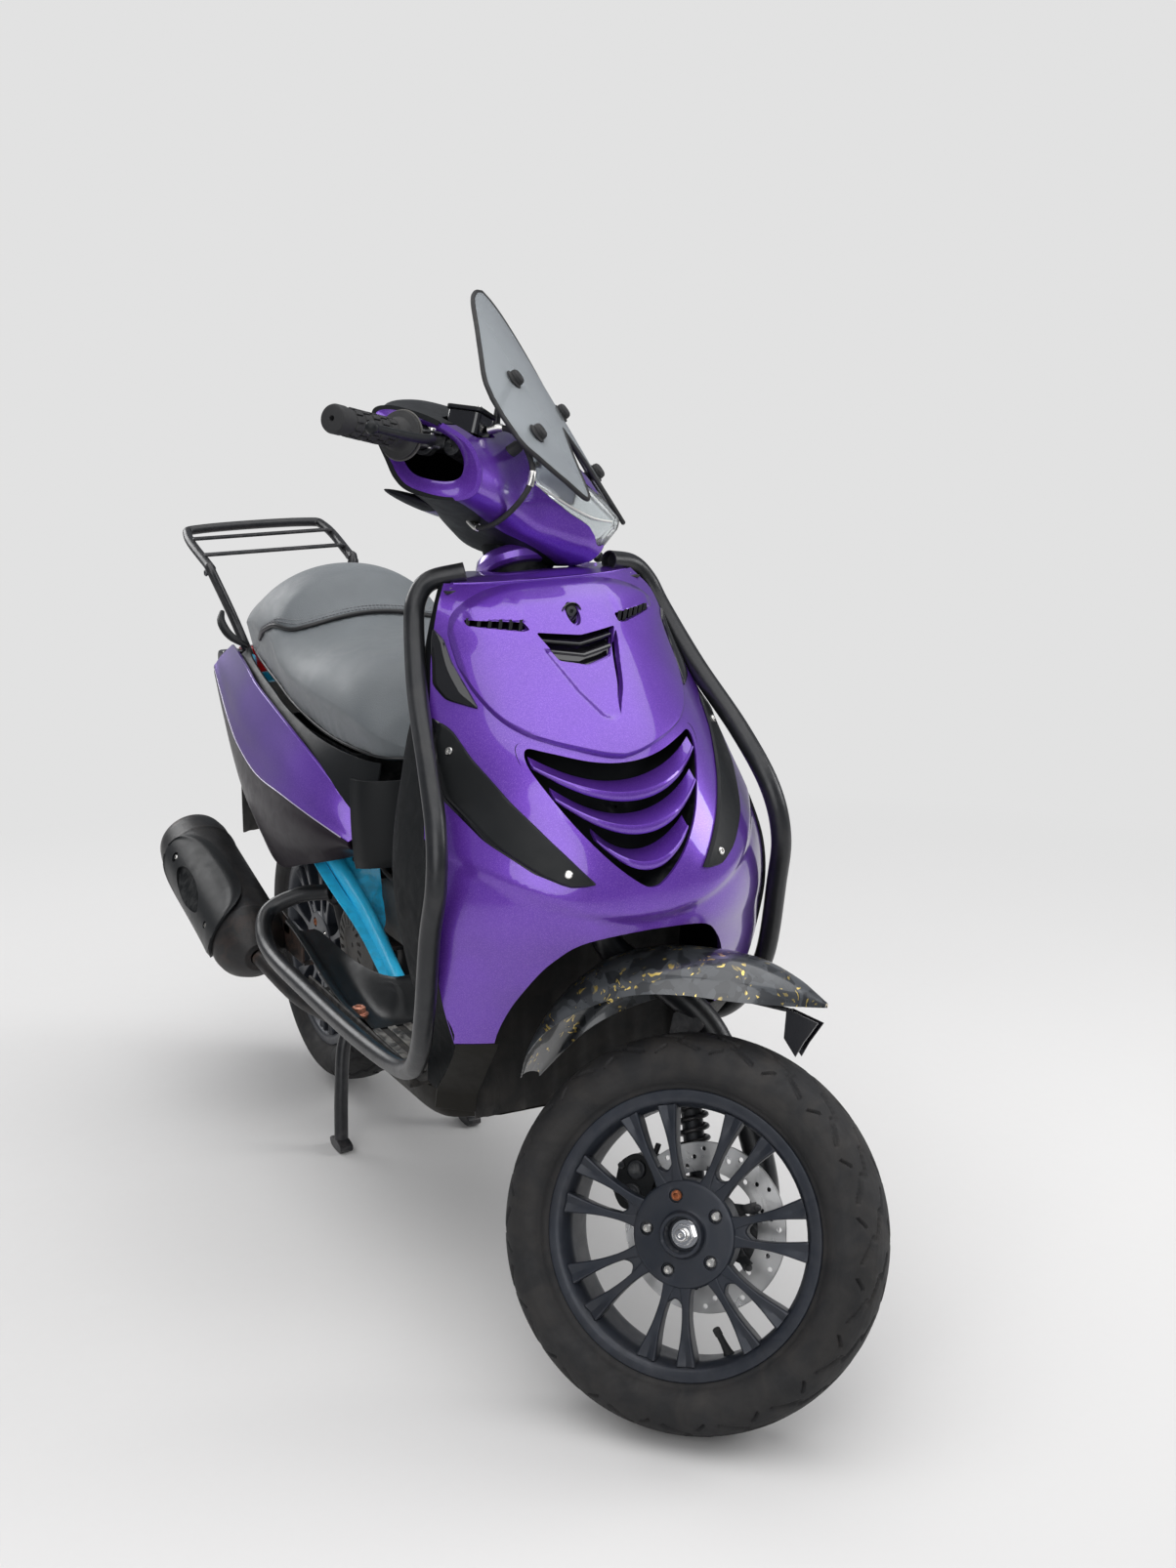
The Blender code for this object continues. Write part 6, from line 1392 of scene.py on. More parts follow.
def along_bar(hand):
    """Turns a shape made on a straight bar, outside its bend, to the way the bar runs there."""
    pivot = Vector((hand * BAR_BEND, BAR_Y, BAR_Z))
    turn = Matrix.Rotation(hand * BAR_SWEEP, 4, "Z") @ Matrix.Rotation(hand * BAR_DROOP, 4, "Y")
    return Matrix.Translation(pivot) @ turn @ Matrix.Translation(-pivot)


def on_bar(shape, hand):
    verts, faces = shape
    move = along_bar(hand)
    return [move @ Vector(vert) for vert in verts], faces


def on_either_bar(shape, hand):
    """A shape made for the left end of the bar, put on the end that the hand names."""
    verts, faces = shape
    return on_bar(([(x * hand, y, z) for x, y, z in verts], faces), hand)


def bar_ring(hand, profile):
    """A shape turned round the bar from a profile of (distance from the middle, radius)."""
    return on_bar(turned([(x * hand, r) for x, r in profile], (0, BAR_Y, BAR_Z), sides=40), hand)


def handlebar_tube():
    arms = [along_bar(hand) @ Vector((hand * x, BAR_Y, BAR_Z)) for hand, x in ((-1, BAR_END), (-1, 0.180))]
    arms += [Vector((-BAR_BEND, BAR_Y, BAR_Z)), Vector((-0.085, 0.462, 1.078)),
             Vector((-0.035, 0.449, 1.050))]
    arms += [Vector((-p.x, p.y, p.z)) for p in reversed(arms)]
    bar = new_object("bar_and_clamp", tube(smooth(arms, 6), BAR_RADIUS, 24),
                     box((-0.026, 0.415, 1.022), (0.026, 0.475, 1.068)))
    place(bar, "steered_front", M["tube"], "handlebar_tube", edge=0.0015)


def grip_pad(x, width, angle, reach):
    """One raised pad on a grip, as part of a ring."""
    rings = []
    for k in range(4):
        a = angle + reach * (k / 3 - 0.5)
        out = Vector((0, math.cos(a), math.sin(a)))
        centre = Vector((0, BAR_Y, BAR_Z))
        rings.append([
            centre + Vector((x, 0, 0)) + out * 0.0140, centre + Vector((x + width, 0, 0)) + out * 0.0140,
            centre + Vector((x + width - 0.0012, 0, 0)) + out * 0.0169,
            centre + Vector((x + 0.0012, 0, 0)) + out * 0.0169,
        ])
    return bridge(rings)


def grip(side, hand):
    """A soft grip: a wide flange, five rings of raised pads and a smooth domed end."""
    inner = GRIP_INNER
    core = bar_ring(hand, [
        (inner, BAR_RADIUS + 0.0004), (inner, 0.0275), (inner + 0.0016, 0.0287), (inner + 0.0036, 0.0283),
        (inner + 0.007, 0.0205), (inner + 0.012, 0.0172), (inner + 0.024, 0.0168), (inner + 0.025, 0.0148),
        (GRIP_OUTER - 0.018, 0.0148), (GRIP_OUTER - 0.017, 0.0168), (GRIP_OUTER - 0.004, 0.0168),
        (GRIP_OUTER - 0.0012, 0.0158), (GRIP_OUTER, 0.0130), (GRIP_OUTER + 0.0002, 0.0032),
        (BAR_END + 0.0004, 0.0030), (BAR_END + 0.0004, BAR_RADIUS + 0.0004),
    ])
    shapes = [core]
    for ring in range(5):
        x = inner + 0.0265 + 0.0166 * ring
        for k in range(11):
            pad = grip_pad(x, 0.0140, 2 * math.pi * (k + 0.5 * (ring % 2)) / 11, 0.42)
            shapes.append(on_either_bar(pad, hand))
    place(new_object(f"{side}_grip_rubber", *shapes), "steered_front", M["rubber"], f"grip_{side}",
          edge=0.0005)
    plate = new_object(f"{side}_grip_plate", bar_ring(hand, [
        (inner - 0.0034, BAR_RADIUS + 0.001), (inner - 0.0034, 0.0295), (inner - 0.0020, 0.0305),
        (inner - 0.0006, 0.0295), (inner - 0.0006, BAR_RADIUS + 0.001)]))
    place(plate, "steered_front", M["cowl"], edge=0.0004)


def brake_lever(side, hand):
    """A cast lever with its ball end, its clamp round the bar and the pivot's screw."""
    front = BAR_Y - 0.053
    low = BAR_Z - 0.005
    start = PERCH_X
    above = Vector((0, 0, 1))
    path = smooth([
        (start + 0.006, BAR_Y - 0.020, BAR_Z), (start + 0.011, BAR_Y - 0.038, BAR_Z - 0.001),
        (start + 0.030, front + 0.004, low + 0.003), (start + 0.060, front + 0.001, low + 0.001),
        (start + 0.100, front, low), (start + 0.142, front, low),
    ], 6)
    rings = []
    for i, point in enumerate(path):
        share = i / (len(path) - 1)
        deep = 0.0068 - 0.0026 * share
        tall = 0.0070 - 0.0022 * share
        ahead = path[min(i + 1, len(path) - 1)] - path[max(i - 1, 0)]
        side_way = ahead.cross(above).normalized()
        rings.append([
            point + side_way * deep * math.cos(a) + above * tall * math.sin(a)
            for a in circle(16)
        ])
    blade = bridge(rings)
    ball = turned([(-0.008, 0.0002), (-0.0072, 0.0035), (-0.005, 0.0062), (-0.0018, 0.0078), (0.0018, 0.0078),
                   (0.005, 0.0062), (0.0072, 0.0035), (0.008, 0.0002)], (start + 0.149, front, low), sides=24)
    place(new_object(f"{side}_lever_blade", on_either_bar(blade, hand), on_either_bar(ball, hand)),
          "steered_front", M["satin"], f"lever_{side}")
    clamp = bar_ring(hand, [(start, BAR_RADIUS + 0.0003), (start, 0.0170), (start + 0.001, 0.018),
                            (start + 0.013, 0.018), (start + 0.014, 0.0170),
                            (start + 0.014, BAR_RADIUS + 0.0003)])
    tongue = box((start + 0.001, BAR_Y - 0.046, BAR_Z - 0.0095),
                 (start + 0.017, BAR_Y - 0.010, BAR_Z - 0.0070))
    upper = box((start + 0.001, BAR_Y - 0.046, BAR_Z + 0.0070),
                (start + 0.017, BAR_Y - 0.010, BAR_Z + 0.0095))
    place(new_object(f"{side}_lever_perch", clamp, on_either_bar(tongue, hand), on_either_bar(upper, hand)),
          "steered_front", M["dark_metal"],
          edge=0.0008)
    top = turned([(0.0, 0.0004), (0.0, 0.0046), (0.003, 0.0046), (0.0036, 0.0038), (0.0036, 0.0004)],
                 (hand * (start + 0.009), BAR_Y - 0.037, BAR_Z + 0.0095), (0, 0, 1), sides=20)
    pin = turned([(0.0, 0.0004), (0.0, 0.0030), (0.0200, 0.0030), (0.0200, 0.0004)],
                 (hand * (start + 0.009), BAR_Y - 0.037, BAR_Z - 0.0110), (0, 0, 1), sides=16)
    place(new_object(f"{side}_lever_pivot", on_bar(top, hand), on_bar(pin, hand)), "steered_front",
          M["steel"],
          edge=0.0004)


def soft_box(low, high, corner):
    """A box with rounded upright edges."""
    return prism(rounded_rectangle(low, high, corner, 6), "Z", low[2], high[2])


def reservoir():
    """The master cylinder and its square reservoir, with a lid held by two screws."""
    x = RESERVOIR_X
    tank = new_object("reservoir_tank", soft_box((x - 0.021, 0.419, 1.087), (x + 0.021, 0.463, 1.1135),
                                                 0.008),
                      soft_box((x - 0.012, 0.430, 1.068), (x + 0.012, 0.452, 1.088), 0.004))
    place(tank, "steered_front", M["gloss"], "brake_reservoir", edge=0.0012)
    lid = new_object("reservoir_lid", soft_box((x - 0.0235, 0.4165, 1.1140), (x + 0.0235, 0.4655, 1.1190),
                                               0.008),
                     soft_box((x - 0.0150, 0.4240, 1.1188), (x + 0.0150, 0.4580, 1.1206), 0.005))
    place(lid, "steered_front", M["satin"], edge=0.0009)
    for k, (a, b) in enumerate(((-0.0195, 0.4215), (0.0195, 0.4605))):
        head = screw((x + a, b, 1.1188), (0, 0, 1), 0.0032, 0.0016)
        place(new_object(f"reservoir_screw_{k}", head), "steered_front", M["steel"])
    cylinder = new_object(
        "master_cylinder",
        turned([(-0.034, 0.001), (-0.034, 0.0100), (-0.030, 0.0115), (0.016, 0.0115), (0.020, 0.0095),
                (0.020, 0.001)], (x, 0.4400, 1.0655), sides=28),
        box((x - 0.034, 0.450, 1.062), (x - 0.024, 0.4655, 1.076)),
        bar_ring(-1, [(-x + 0.022, BAR_RADIUS + 0.0003), (-x + 0.022, 0.017), (-x + 0.036, 0.017),
                      (-x + 0.036, BAR_RADIUS + 0.0003)]),
    )
    place(cylinder, "steered_front", M["dark_metal"], edge=0.0009)
    clip = new_object("reservoir_clip", box((x + 0.0236, 0.4300, 1.0900), (x + 0.0256, 0.4440, 1.1020)))
    place(clip, "steered_front", M["paint"], edge=0.0006)


def switches():
    """The left switch housing with a rocker and a slide."""
    x = PERCH_X
    body = new_object("switch_sleeve", bar_ring(1, [
        (x - 0.030, BAR_RADIUS + 0.0004), (x - 0.030, 0.0165), (x - 0.026, 0.0200), (x - 0.0155, 0.0200),
        (x - 0.0150, 0.0190), (x - 0.0140, 0.0190), (x - 0.0135, 0.0200), (x - 0.004, 0.0200),
        (x - 0.0004, 0.0165), (x - 0.0004, BAR_RADIUS + 0.0004)]))
    place(body, "steered_front", M["satin"], "switch_housing", edge=0.0006)
    buttons = [
        box((x - 0.025, BAR_Y + 0.013, BAR_Z + 0.006), (x - 0.017, BAR_Y + 0.0225, BAR_Z + 0.013)),
        box((x - 0.012, BAR_Y + 0.013, BAR_Z + 0.004), (x - 0.005, BAR_Y + 0.0220, BAR_Z + 0.011)),
    ]
    made = new_object("switch_buttons", *[on_bar(shape, 1) for shape in buttons])
    place(made, "steered_front", M["cowl"], edge=0.0010)


def cover_sections(first, last, gap):
    """Sections of the handlebar cover between two numbered points of its outline, from end to end."""
    outline = smooth_loop(COVER_OUTLINE, 6)
    count = len(outline)
    start = first * 6
    stop = last * 6 if last > first else last * 6 + count
    picked = [Vector(outline[i % count]) for i in range(start, stop + 1)]
    picked[0] = picked[0].lerp(picked[1], gap)
    centre = Vector((COVER_CENTRE_Y, COVER_CENTRE_Z))
    outer = []
    inner = []
    for step in range(65):
        share = math.sin((2 * step / 64 - 1) * math.pi / 2)
        ahead, behind, below = at_key(COVER_SHRINK, abs(share))
        outer_row = []
        inner_row = []
        for point in picked:
            rise = point.y - centre.y
            out = Vector((0, (point.x - centre.x) * (ahead if point.x < centre.x else behind),
                          rise * (behind if rise > 0 else below)))
            lip = 0.0022 * eased(abs(share), 0.985, 1.0)
            length = max(out.length, 0.02)
            base = Vector((share * COVER_HALF_WIDTH, COVER_CENTRE_Y, COVER_CENTRE_Z))
            outer_row.append(base + out * (1 + lip / length))
            inner_row.append(base + out * (1 - COVER_WALL / length))
        outer.append(outer_row)
        inner.append(inner_row)
    return outer, inner


def lamp_rings(grow=0.0, count=15):
    """Sections of the lamp's body from its tip to its back, each rounded."""
    rings = []
    for back in steps_between(HEADLIGHT_ROWS[0][0], HEADLIGHT_ROWS[-1][0], count):
        low, middle, high, low_half, middle_half, high_half = at_key(HEADLIGHT_ROWS, back)
        outline = [(low_half, low), (middle_half, middle), (high_half, high)]
        outline += [(-x, z) for x, z in reversed(outline)]
        centre = Vector((0, (low + high) / 2))
        shape = []
        for x, z in rounded(outline, 0.010, 4):
            out = Vector((x, z)) - centre
            out = out * (1 + grow / max(out.length, 0.006))
            shape.append((out.x + centre.x, back, out.y + centre.y))
        rings.append(shape)
    return rings


def bar_covers():
    """The painted front shell and the black rear shell, open at the hands, round lamp and reservoir."""
    lamp_hole = lamp_rings(0.0016)
    first = [(x, y - 0.004, z) for x, y, z in lamp_hole[0]]
    lamp_hole = bridge([first, *lamp_hole[1:], [(x, y + 0.02, z) for x, y, z in lamp_hole[-1]]])
    reservoir_hole = soft_box((RESERVOIR_X - 0.026, 0.4145, 1.070), (RESERVOIR_X + 0.026, 0.4675, 1.160),
                              0.008)
    column_hole = rod(on_steering_axis(0.88), on_steering_axis(1.00), 0.0315, 40)
    arms = [rod(along_bar(hand) @ Vector((hand * 0.150, BAR_Y, BAR_Z)),
                along_bar(hand) @ Vector((hand * 0.200, BAR_Y, BAR_Z)), 0.0135) for hand in (-1, 1)]
    front = new_object("bar_cover_front", sheet(*cover_sections(COVER_SPLIT_LOW, COVER_SPLIT_TOP, 0.0)))
    cut(front, lamp_hole, reservoir_hole, column_hole, *arms)
    place(front, "steered_front", M["paint"], "handlebar_cover_front", edge=0.0013, angle=40)
    rear = new_object("bar_cover_rear", sheet(*cover_sections(COVER_SPLIT_TOP, COVER_SPLIT_LOW,
                                                              REAR_COVER_GAP)))
    cut(rear, reservoir_hole, column_hole, *arms)
    place(rear, "steered_front", M["satin"], "handlebar_cover_rear", edge=0.0013, angle=40)


def cover_details():
    """The finger-shaped wings below the hand openings, the neck ring and its sleeve."""
    for side, hand in SIDES:
        for name, low, high, finish_name, slot in (
            ("tip", 0.100, 0.196, "satin", "black_plastic"), ("root", 0.052, 0.1000, "paint", "purple_paint"),
        ):
            rings = []
            for x in steps_between(low, high, 12):
                fullness = math.sin(math.pi * min(1.0, (0.199 - x) / 0.26)) ** 0.6
                centre = Vector((hand * x, 0.487 + 0.05 * (x - 0.05), 1.0055 - 0.055 * (x - 0.05)))
                rings.append([
                    centre + Vector((0, 0.021 * fullness * math.cos(a), 0.0085 * fullness * math.sin(a)))
                    for a in circle(20)
                ])
            wing = new_object(f"{side}_cover_wing_{name}", bridge(rings))
            place(wing, "steered_front", M[finish_name], edge=0.0006)
    neck = new_object("neck_ring", turned([
        (0.0, 0.032), (0.0, 0.045), (0.004, 0.050), (0.012, 0.052), (0.020, 0.049), (0.024, 0.044),
        (0.024, 0.032)], on_steering_axis(0.953), STEERING_AXIS, 64))
    place(neck, "steered_front", M["paint"], edge=0.0006)
    sleeve = new_object("neck_sleeve", turned([
        (0.0, 0.0300), (0.0, 0.0345), (0.070, 0.0400), (0.070, 0.0300)],
        on_steering_axis(0.935), STEERING_AXIS, 48))
    place(sleeve, "steered_front", M["matt"], edge=0.0006)


def cover_end_rims():
    """The painted lips that narrow the cover's two openings round the bar."""
    ahead, behind, below = COVER_SHRINK[-1][1:]
    section = []
    for y, z in smooth_loop(COVER_OUTLINE, 6):
        rise = z - COVER_CENTRE_Z
        stretch = ahead if y < COVER_CENTRE_Y else behind
        section.append(Vector((COVER_CENTRE_Y + (y - COVER_CENTRE_Y) * stretch,
                               COVER_CENTRE_Z + rise * (behind if rise > 0 else below))))
    bar = Vector((0.468, 1.064))
    for side, hand in SIDES:
        rings = []
        for size, x in ((0.975, 0.1858), (0.90, 0.1850), (0.72, 0.1790), (0.67, 0.1765), (0.68, 0.1735),
                        (0.955, 0.1800)):
            rings.append([(hand * x, *bar.lerp(point, size)) for point in section])
        place(new_object(f"{side}_cover_end_rim", bridge(rings, closed=True)), "steered_front", M["paint"])


def headlight():
    """A clear V-shaped lens over a silvery fluted bowl."""
    outer = lamp_rings()
    inner = lamp_rings(-0.0026)
    lens = new_object("headlight_lens", bridge(outer))
    hollow = [[(x, y + 0.0032, z) for x, y, z in ring] for ring in inner]
    cut(lens, bridge(hollow + [[(x, y + 0.01, z) for x, y, z in hollow[-1]]]))
    place(lens, "steered_front", M["lens"], "headlight", edge=0.0006)
    bowl = []
    for ring in lamp_rings(-0.0048, 30):
        fluted = []
        for k, (x, y, z) in enumerate(ring):
            fluted.append((x * (0.985 if k % 2 else 1.0), y + 0.0075, z))
        bowl.append(fluted)
    place(new_object("headlight_bowl", bridge(bowl)), "steered_front", M["reflector"])
    rims = []
    for hand in (-1, 1):
        line = [(hand * x, y, z) for x, y, z in (
            (0.010, 0.2835, 1.0305), (0.0285, 0.3000, 1.0285), (0.0515, 0.3245, 1.0350),
            (0.0715, 0.3595, 1.0495),
            (0.0755, 0.3830, 1.0555))]
        rims.append(tube(smooth(line, 6), 0.0013, 10))
    place(new_object("headlight_bead", *rims), "steered_front", M["plate"])


def screen_point(x, z, depth=0.0):
    y = SCREEN_MIDDLE[0] + (z - SCREEN_MIDDLE[1]) * SCREEN_SLOPE + SCREEN_SWEEP * x * x
    return Vector((x, y, z)) - SCREEN_NORMAL * depth


def screen():
    """The smoked screen with a dark rubber edge, its four knobs and the stays behind them."""
    xs = [SCREEN_COLUMNS[-1][0] * math.sin((2 * k / 64 - 1) * math.pi / 2) for k in range(65)]
    front = []
    back = []
    for share in steps_between(0.0, 1.0, 30):
        front_row = []
        back_row = []
        for x in xs:
            low, high = at_key(SCREEN_COLUMNS, abs(x))
            z = low + (high - low) * share
            front_row.append(screen_point(x, z))
            back_row.append(screen_point(x, z, 0.0036))
        front.append(front_row)
        back.append(back_row)
    pane = new_object("screen_pane", sheet(front, back))
    place(pane, "steered_front", M["smoked"], "windshield", edge=0.0006)
    edge = front[0] + [row[-1] for row in front[1:]] + front[-1][-2::-1] + [row[0] for row in front[-2:0:-1]]
    rings = []
    count = len(edge)
    for i, point in enumerate(edge):
        ahead = (edge[(i + 1) % count] - edge[i - 1]).normalized()
        out = ahead.cross(SCREEN_NORMAL).normalized()
        centre = point - SCREEN_NORMAL * 0.0018 - out * 0.0008
        rings.append([
            centre + out * 0.0028 * math.cos(a) + SCREEN_NORMAL * 0.0031 * math.sin(a)
            for a in circle(10)
        ])
    place(new_object("screen_edge", bridge(rings, closed=True)), "steered_front", M["rubber"])
    for side, hand in SIDES:
        for name, x, z in (("lower", 0.0960, 1.1075), ("upper", 0.0750, 1.1740)):
            spot = screen_point(hand * x, z)
            knob = new_object(f"{side}_{name}_screen_knob", turned([
                (-0.001, 0.001), (-0.001, 0.0128), (0.0012, 0.0132), (0.0020, 0.0108), (0.0034, 0.0102),
                (0.0050, 0.0106), (0.0064, 0.0100), (0.0085, 0.0096), (0.0102, 0.0074), (0.0104, 0.001)],
                spot, SCREEN_NORMAL, 32))
            place(knob, "steered_front", M["rubber"], edge=0.0004)
        foot = Vector((hand * 0.096, 0.404, 1.074))
        head = Vector((hand * 0.096, 0.366, 1.110))
        length = (head - foot).length
        post = new_object(f"{side}_screen_post", turned([
            (0.006, 0.001), (0.006, 0.0078), (length * 0.45, 0.0078), (length * 0.5, 0.0062),
            (length * 0.6, 0.0062), (length * 0.65, 0.0078), (length - 0.005, 0.0078),
            (length - 0.005, 0.001)],
            foot, head - foot, 28))
        place(post, "steered_front", M["rubber"], f"screen_mount_{side}", edge=0.0006)
        stay = new_object(f"{side}_screen_stay", tube(smooth([
            screen_point(hand * 0.0750, 1.1740, 0.0030), screen_point(hand * 0.0750, 1.1700, 0.0140),
            (hand * 0.0740, 0.4350, 1.1350), (hand * 0.0730, 0.4300, 1.1000)], 5), 0.0045, 14))
        place(stay, "steered_front", M["tube"])


def hose():
    """The brake hose from the master cylinder's banjo to the clip below the cover."""
    route = smooth([
        (-0.124, 0.4172, 1.098), (-0.121, 0.400, 1.104), (-0.112, 0.385, 1.101), (-0.108, 0.373, 1.089),
        (-0.114, 0.357, 1.070), (-0.118, 0.350, 1.054), (-0.119, 0.351, 1.036), (-0.118, 0.360, 1.018),
        (-0.116, 0.374, 1.001), (-0.112, 0.392, 0.988), (-0.105, 0.412, 0.984), (-0.100, 0.428, 0.992),
    ], 5)
    place(new_object("front_brake_hose", tube(route, 0.0035, 18)), "steered_front", M["rubber"], "brake_hose")
    fittings = []
    for near, far in ((0, 5), (24, 29), (len(route) - 6, len(route) - 1)):
        fittings.append(tube([route[k] for k in range(near, far + 1)], 0.0049, 12))
    place(new_object("hose_fittings", *fittings), "steered_front", M["steel"], edge=0.0004)


handlebar_tube()
for side, hand in SIDES:
    grip(side, hand)
    brake_lever(side, hand)
reservoir()
switches()
bar_covers()
cover_details()
cover_end_rims()
headlight()
screen()
hose()


# Middle and rear body

LEG_SHIELD_LOW = ((0.385, 0.180, 0.240, 0.185), (0.340, 0.200, 0.290, 0.182))
LEG_SHIELD_PROFILE = ((1.0, 0.0, 0.0), (1.0, 0.55, 0.0), (0.97, 0.85, 0.0), (0.88, 1.0, 0.0),
                      (0.50, 1.0, 0.0), (0.28, 1.0, 1.0))
BELLY = (
    # distance back, bottom, half-width
    (0.285, 0.290, 0.120), (0.330, 0.280, 0.165), (0.420, 0.280, 0.178), (0.706, 0.280, 0.178),
    (0.756, 0.295, 0.174),
)
CRASH_BAR = (
    (0.096, 0.337, 0.966), (0.135, 0.353, 0.957), (0.155, 0.350, 0.936), (0.166, 0.333, 0.902),
    (0.185, 0.280, 0.834), (0.204, 0.206, 0.763), (0.217, 0.156, 0.700), (0.225, 0.143, 0.640),
    (0.229, 0.161, 0.575), (0.229, 0.190, 0.475), (0.222, 0.234, 0.412), (0.214, 0.290, 0.372),
    (0.210, 0.370, 0.352), (0.212, 0.520, 0.345), (0.212, 0.710, 0.345), (0.212, 0.870, 0.350),
    (0.206, 0.940, 0.368), (0.185, 0.972, 0.392), (0.140, 0.960, 0.412), (0.100, 0.932, 0.418),
)
SEAT_ROWS = (
    # distance back, underside, top, half-width
    (0.655, 0.672, 0.700, 0.060), (0.675, 0.672, 0.745, 0.100), (0.730, 0.676, 0.795, 0.125),
    (0.820, 0.684, 0.815, 0.140), (0.920, 0.700, 0.822, 0.146), (0.985, 0.712, 0.850, 0.146),
    (1.030, 0.722, 0.893, 0.144), (1.120, 0.738, 0.895, 0.138), (1.240, 0.750, 0.853, 0.118),
    (1.330, 0.752, 0.808, 0.088), (1.374, 0.754, 0.772, 0.050),
)
SEAT_BASE_START = 0.700
HEM_ANGLE = 0.35
SEAT_HINGE_Y = 0.668
SEAT_HINGE_Z = 0.663
SIDE_ROWS = (
    # distance back, lower edge, upper edge, greatest distance across
    (0.680, 0.540, 0.575, 0.150), (0.760, 0.515, 0.630, 0.176), (0.850, 0.490, 0.672, 0.190),
    (0.970, 0.462, 0.705, 0.193), (1.080, 0.492, 0.725, 0.188), (1.160, 0.527, 0.738, 0.178),
    (1.280, 0.590, 0.742, 0.157), (1.400, 0.655, 0.738, 0.134),
)
SIDE_BULGE = ((0.0, 0.026), (0.25, 0.006), (0.5, 0.0), (0.75, 0.010), (1.0, 0.034))


def smooth_rows(rows, count):
    """A table read smoothly at even steps of its first column."""
    return [(key, *at_key(rows, key)) for key in steps_between(rows[0][0], rows[-1][0], count)]


def leg_shield():
    """The black shell that the rider's knees face, with its seam, hook, lock and rivets."""
    rows = sorted(list(SHIELD_ROWS) + list(LEG_SHIELD_LOW))
    half_profile = smooth(LEG_SHIELD_PROFILE, 4)
    profile = half_profile + [Vector((-p.x, p.y, p.z)) for p in reversed(half_profile)]
    outer = []
    inner = []
    for height in steps_between(0.340, 0.955, 60):
        _, edge, half = at_key(rows, height)
        start = edge + 0.0003
        column = on_steering_axis(height).y + HEAD_RADIUS / STEERING_AXIS.z + 0.008 + SHELL_WALL
        side = max(LEG_SIDE_Y, start + 0.022)
        outer_row = []
        inner_row = []
        for point in profile:
            back = min(1.0, max(0.0, point.y))
            rear = side + max(0.0, column - side) * eased(point.z, 0.0, 1.0)
            outer_row.append((point.x * half, start + (rear - start) * back, height))
            inner_row.append((point.x * (half - SHELL_WALL), start + (rear - SHELL_WALL - start) * back,
                              height))
        outer.append(outer_row)
        inner.append(inner_row)
    shell = new_object("leg_shield_shell", sheet(outer, inner))
    place(shell, "chassis", M["matt"], "inner_leg_shield", edge=0.0012, angle=40)
    at = on_steering_axis(0.800)
    back = at.y + HEAD_RADIUS / STEERING_AXIS.z + 0.012
    hook = new_object("bag_hook", tube(smooth([
        (0, back - 0.004, 0.742), (0, back + 0.014, 0.738), (0, back + 0.026, 0.724),
        (0, back + 0.030, 0.706),
        (0, back + 0.020, 0.694)], 5), 0.0042, 14),
        box((-0.014, back - 0.006, 0.728), (0.014, back + 0.0015, 0.756)))
    place(hook, "chassis", M["satin"], edge=0.0010)
    lock = new_object("ignition_lock", turned([
        (-0.004, 0.001), (-0.004, 0.0165), (0.0035, 0.0165), (0.0050, 0.0150), (0.0050, 0.0105),
        (0.0030, 0.0100), (0.0030, 0.001)], (0.040, back - 0.006, 0.862), (0.35, 1, 0.12), 36))
    place(lock, "chassis", M["steel"], edge=0.0004)
    lid = rounded([(-0.112, 0.470), (0.112, 0.470), (0.128, 0.560), (0.118, 0.640), (-0.118, 0.640),
                   (-0.128, 0.560)], 0.022, 6)
    cover = new_object("leg_shield_panel", prism(lid, "Y", LEG_SIDE_Y - 0.003, LEG_SIDE_Y + 0.0024))
    place(cover, "chassis", M["matt"], edge=0.0012)
    heads = [screw((x, LEG_SIDE_Y + 0.0002, z), (0, 1, 0), 0.0046, 0.0020)
             for x, z in ((-0.172, 0.500), (0.172, 0.500), (-0.180, 0.660), (0.180, 0.660), (-0.085, 0.420),
                          (0.085, 0.420))]
    place(new_object("leg_shield_screws", *heads), "chassis", M["steel"])


def arch_liner():
    """The wall behind and above the front wheel, stiffened by ribs."""
    path = smooth([(0, 0.135, 0.604), (0, 0.185, 0.592), (0, 0.225, 0.560), (0, 0.250, 0.500),
                   (0, 0.262, 0.400), (0, 0.268, 0.300)], 6)
    xs = steps_between(-0.140, 0.140, 56)
    front = [[(x, p.y - 0.0022 * (abs(((x + 0.140) % 0.040) - 0.020) < 0.006),
               p.z) for x in xs] for p in path]
    back = [[(x, p.y + 0.003, p.z + 0.0015) for x in xs] for p in path]
    liner = new_object("arch_liner_shell", sheet(front, back))
    cut(liner, rod(on_steering_axis(0.50), on_steering_axis(0.64), 0.034, 40))
    place(liner, "chassis", M["dusty"], "wheel_arch_liner", edge=0.0006)


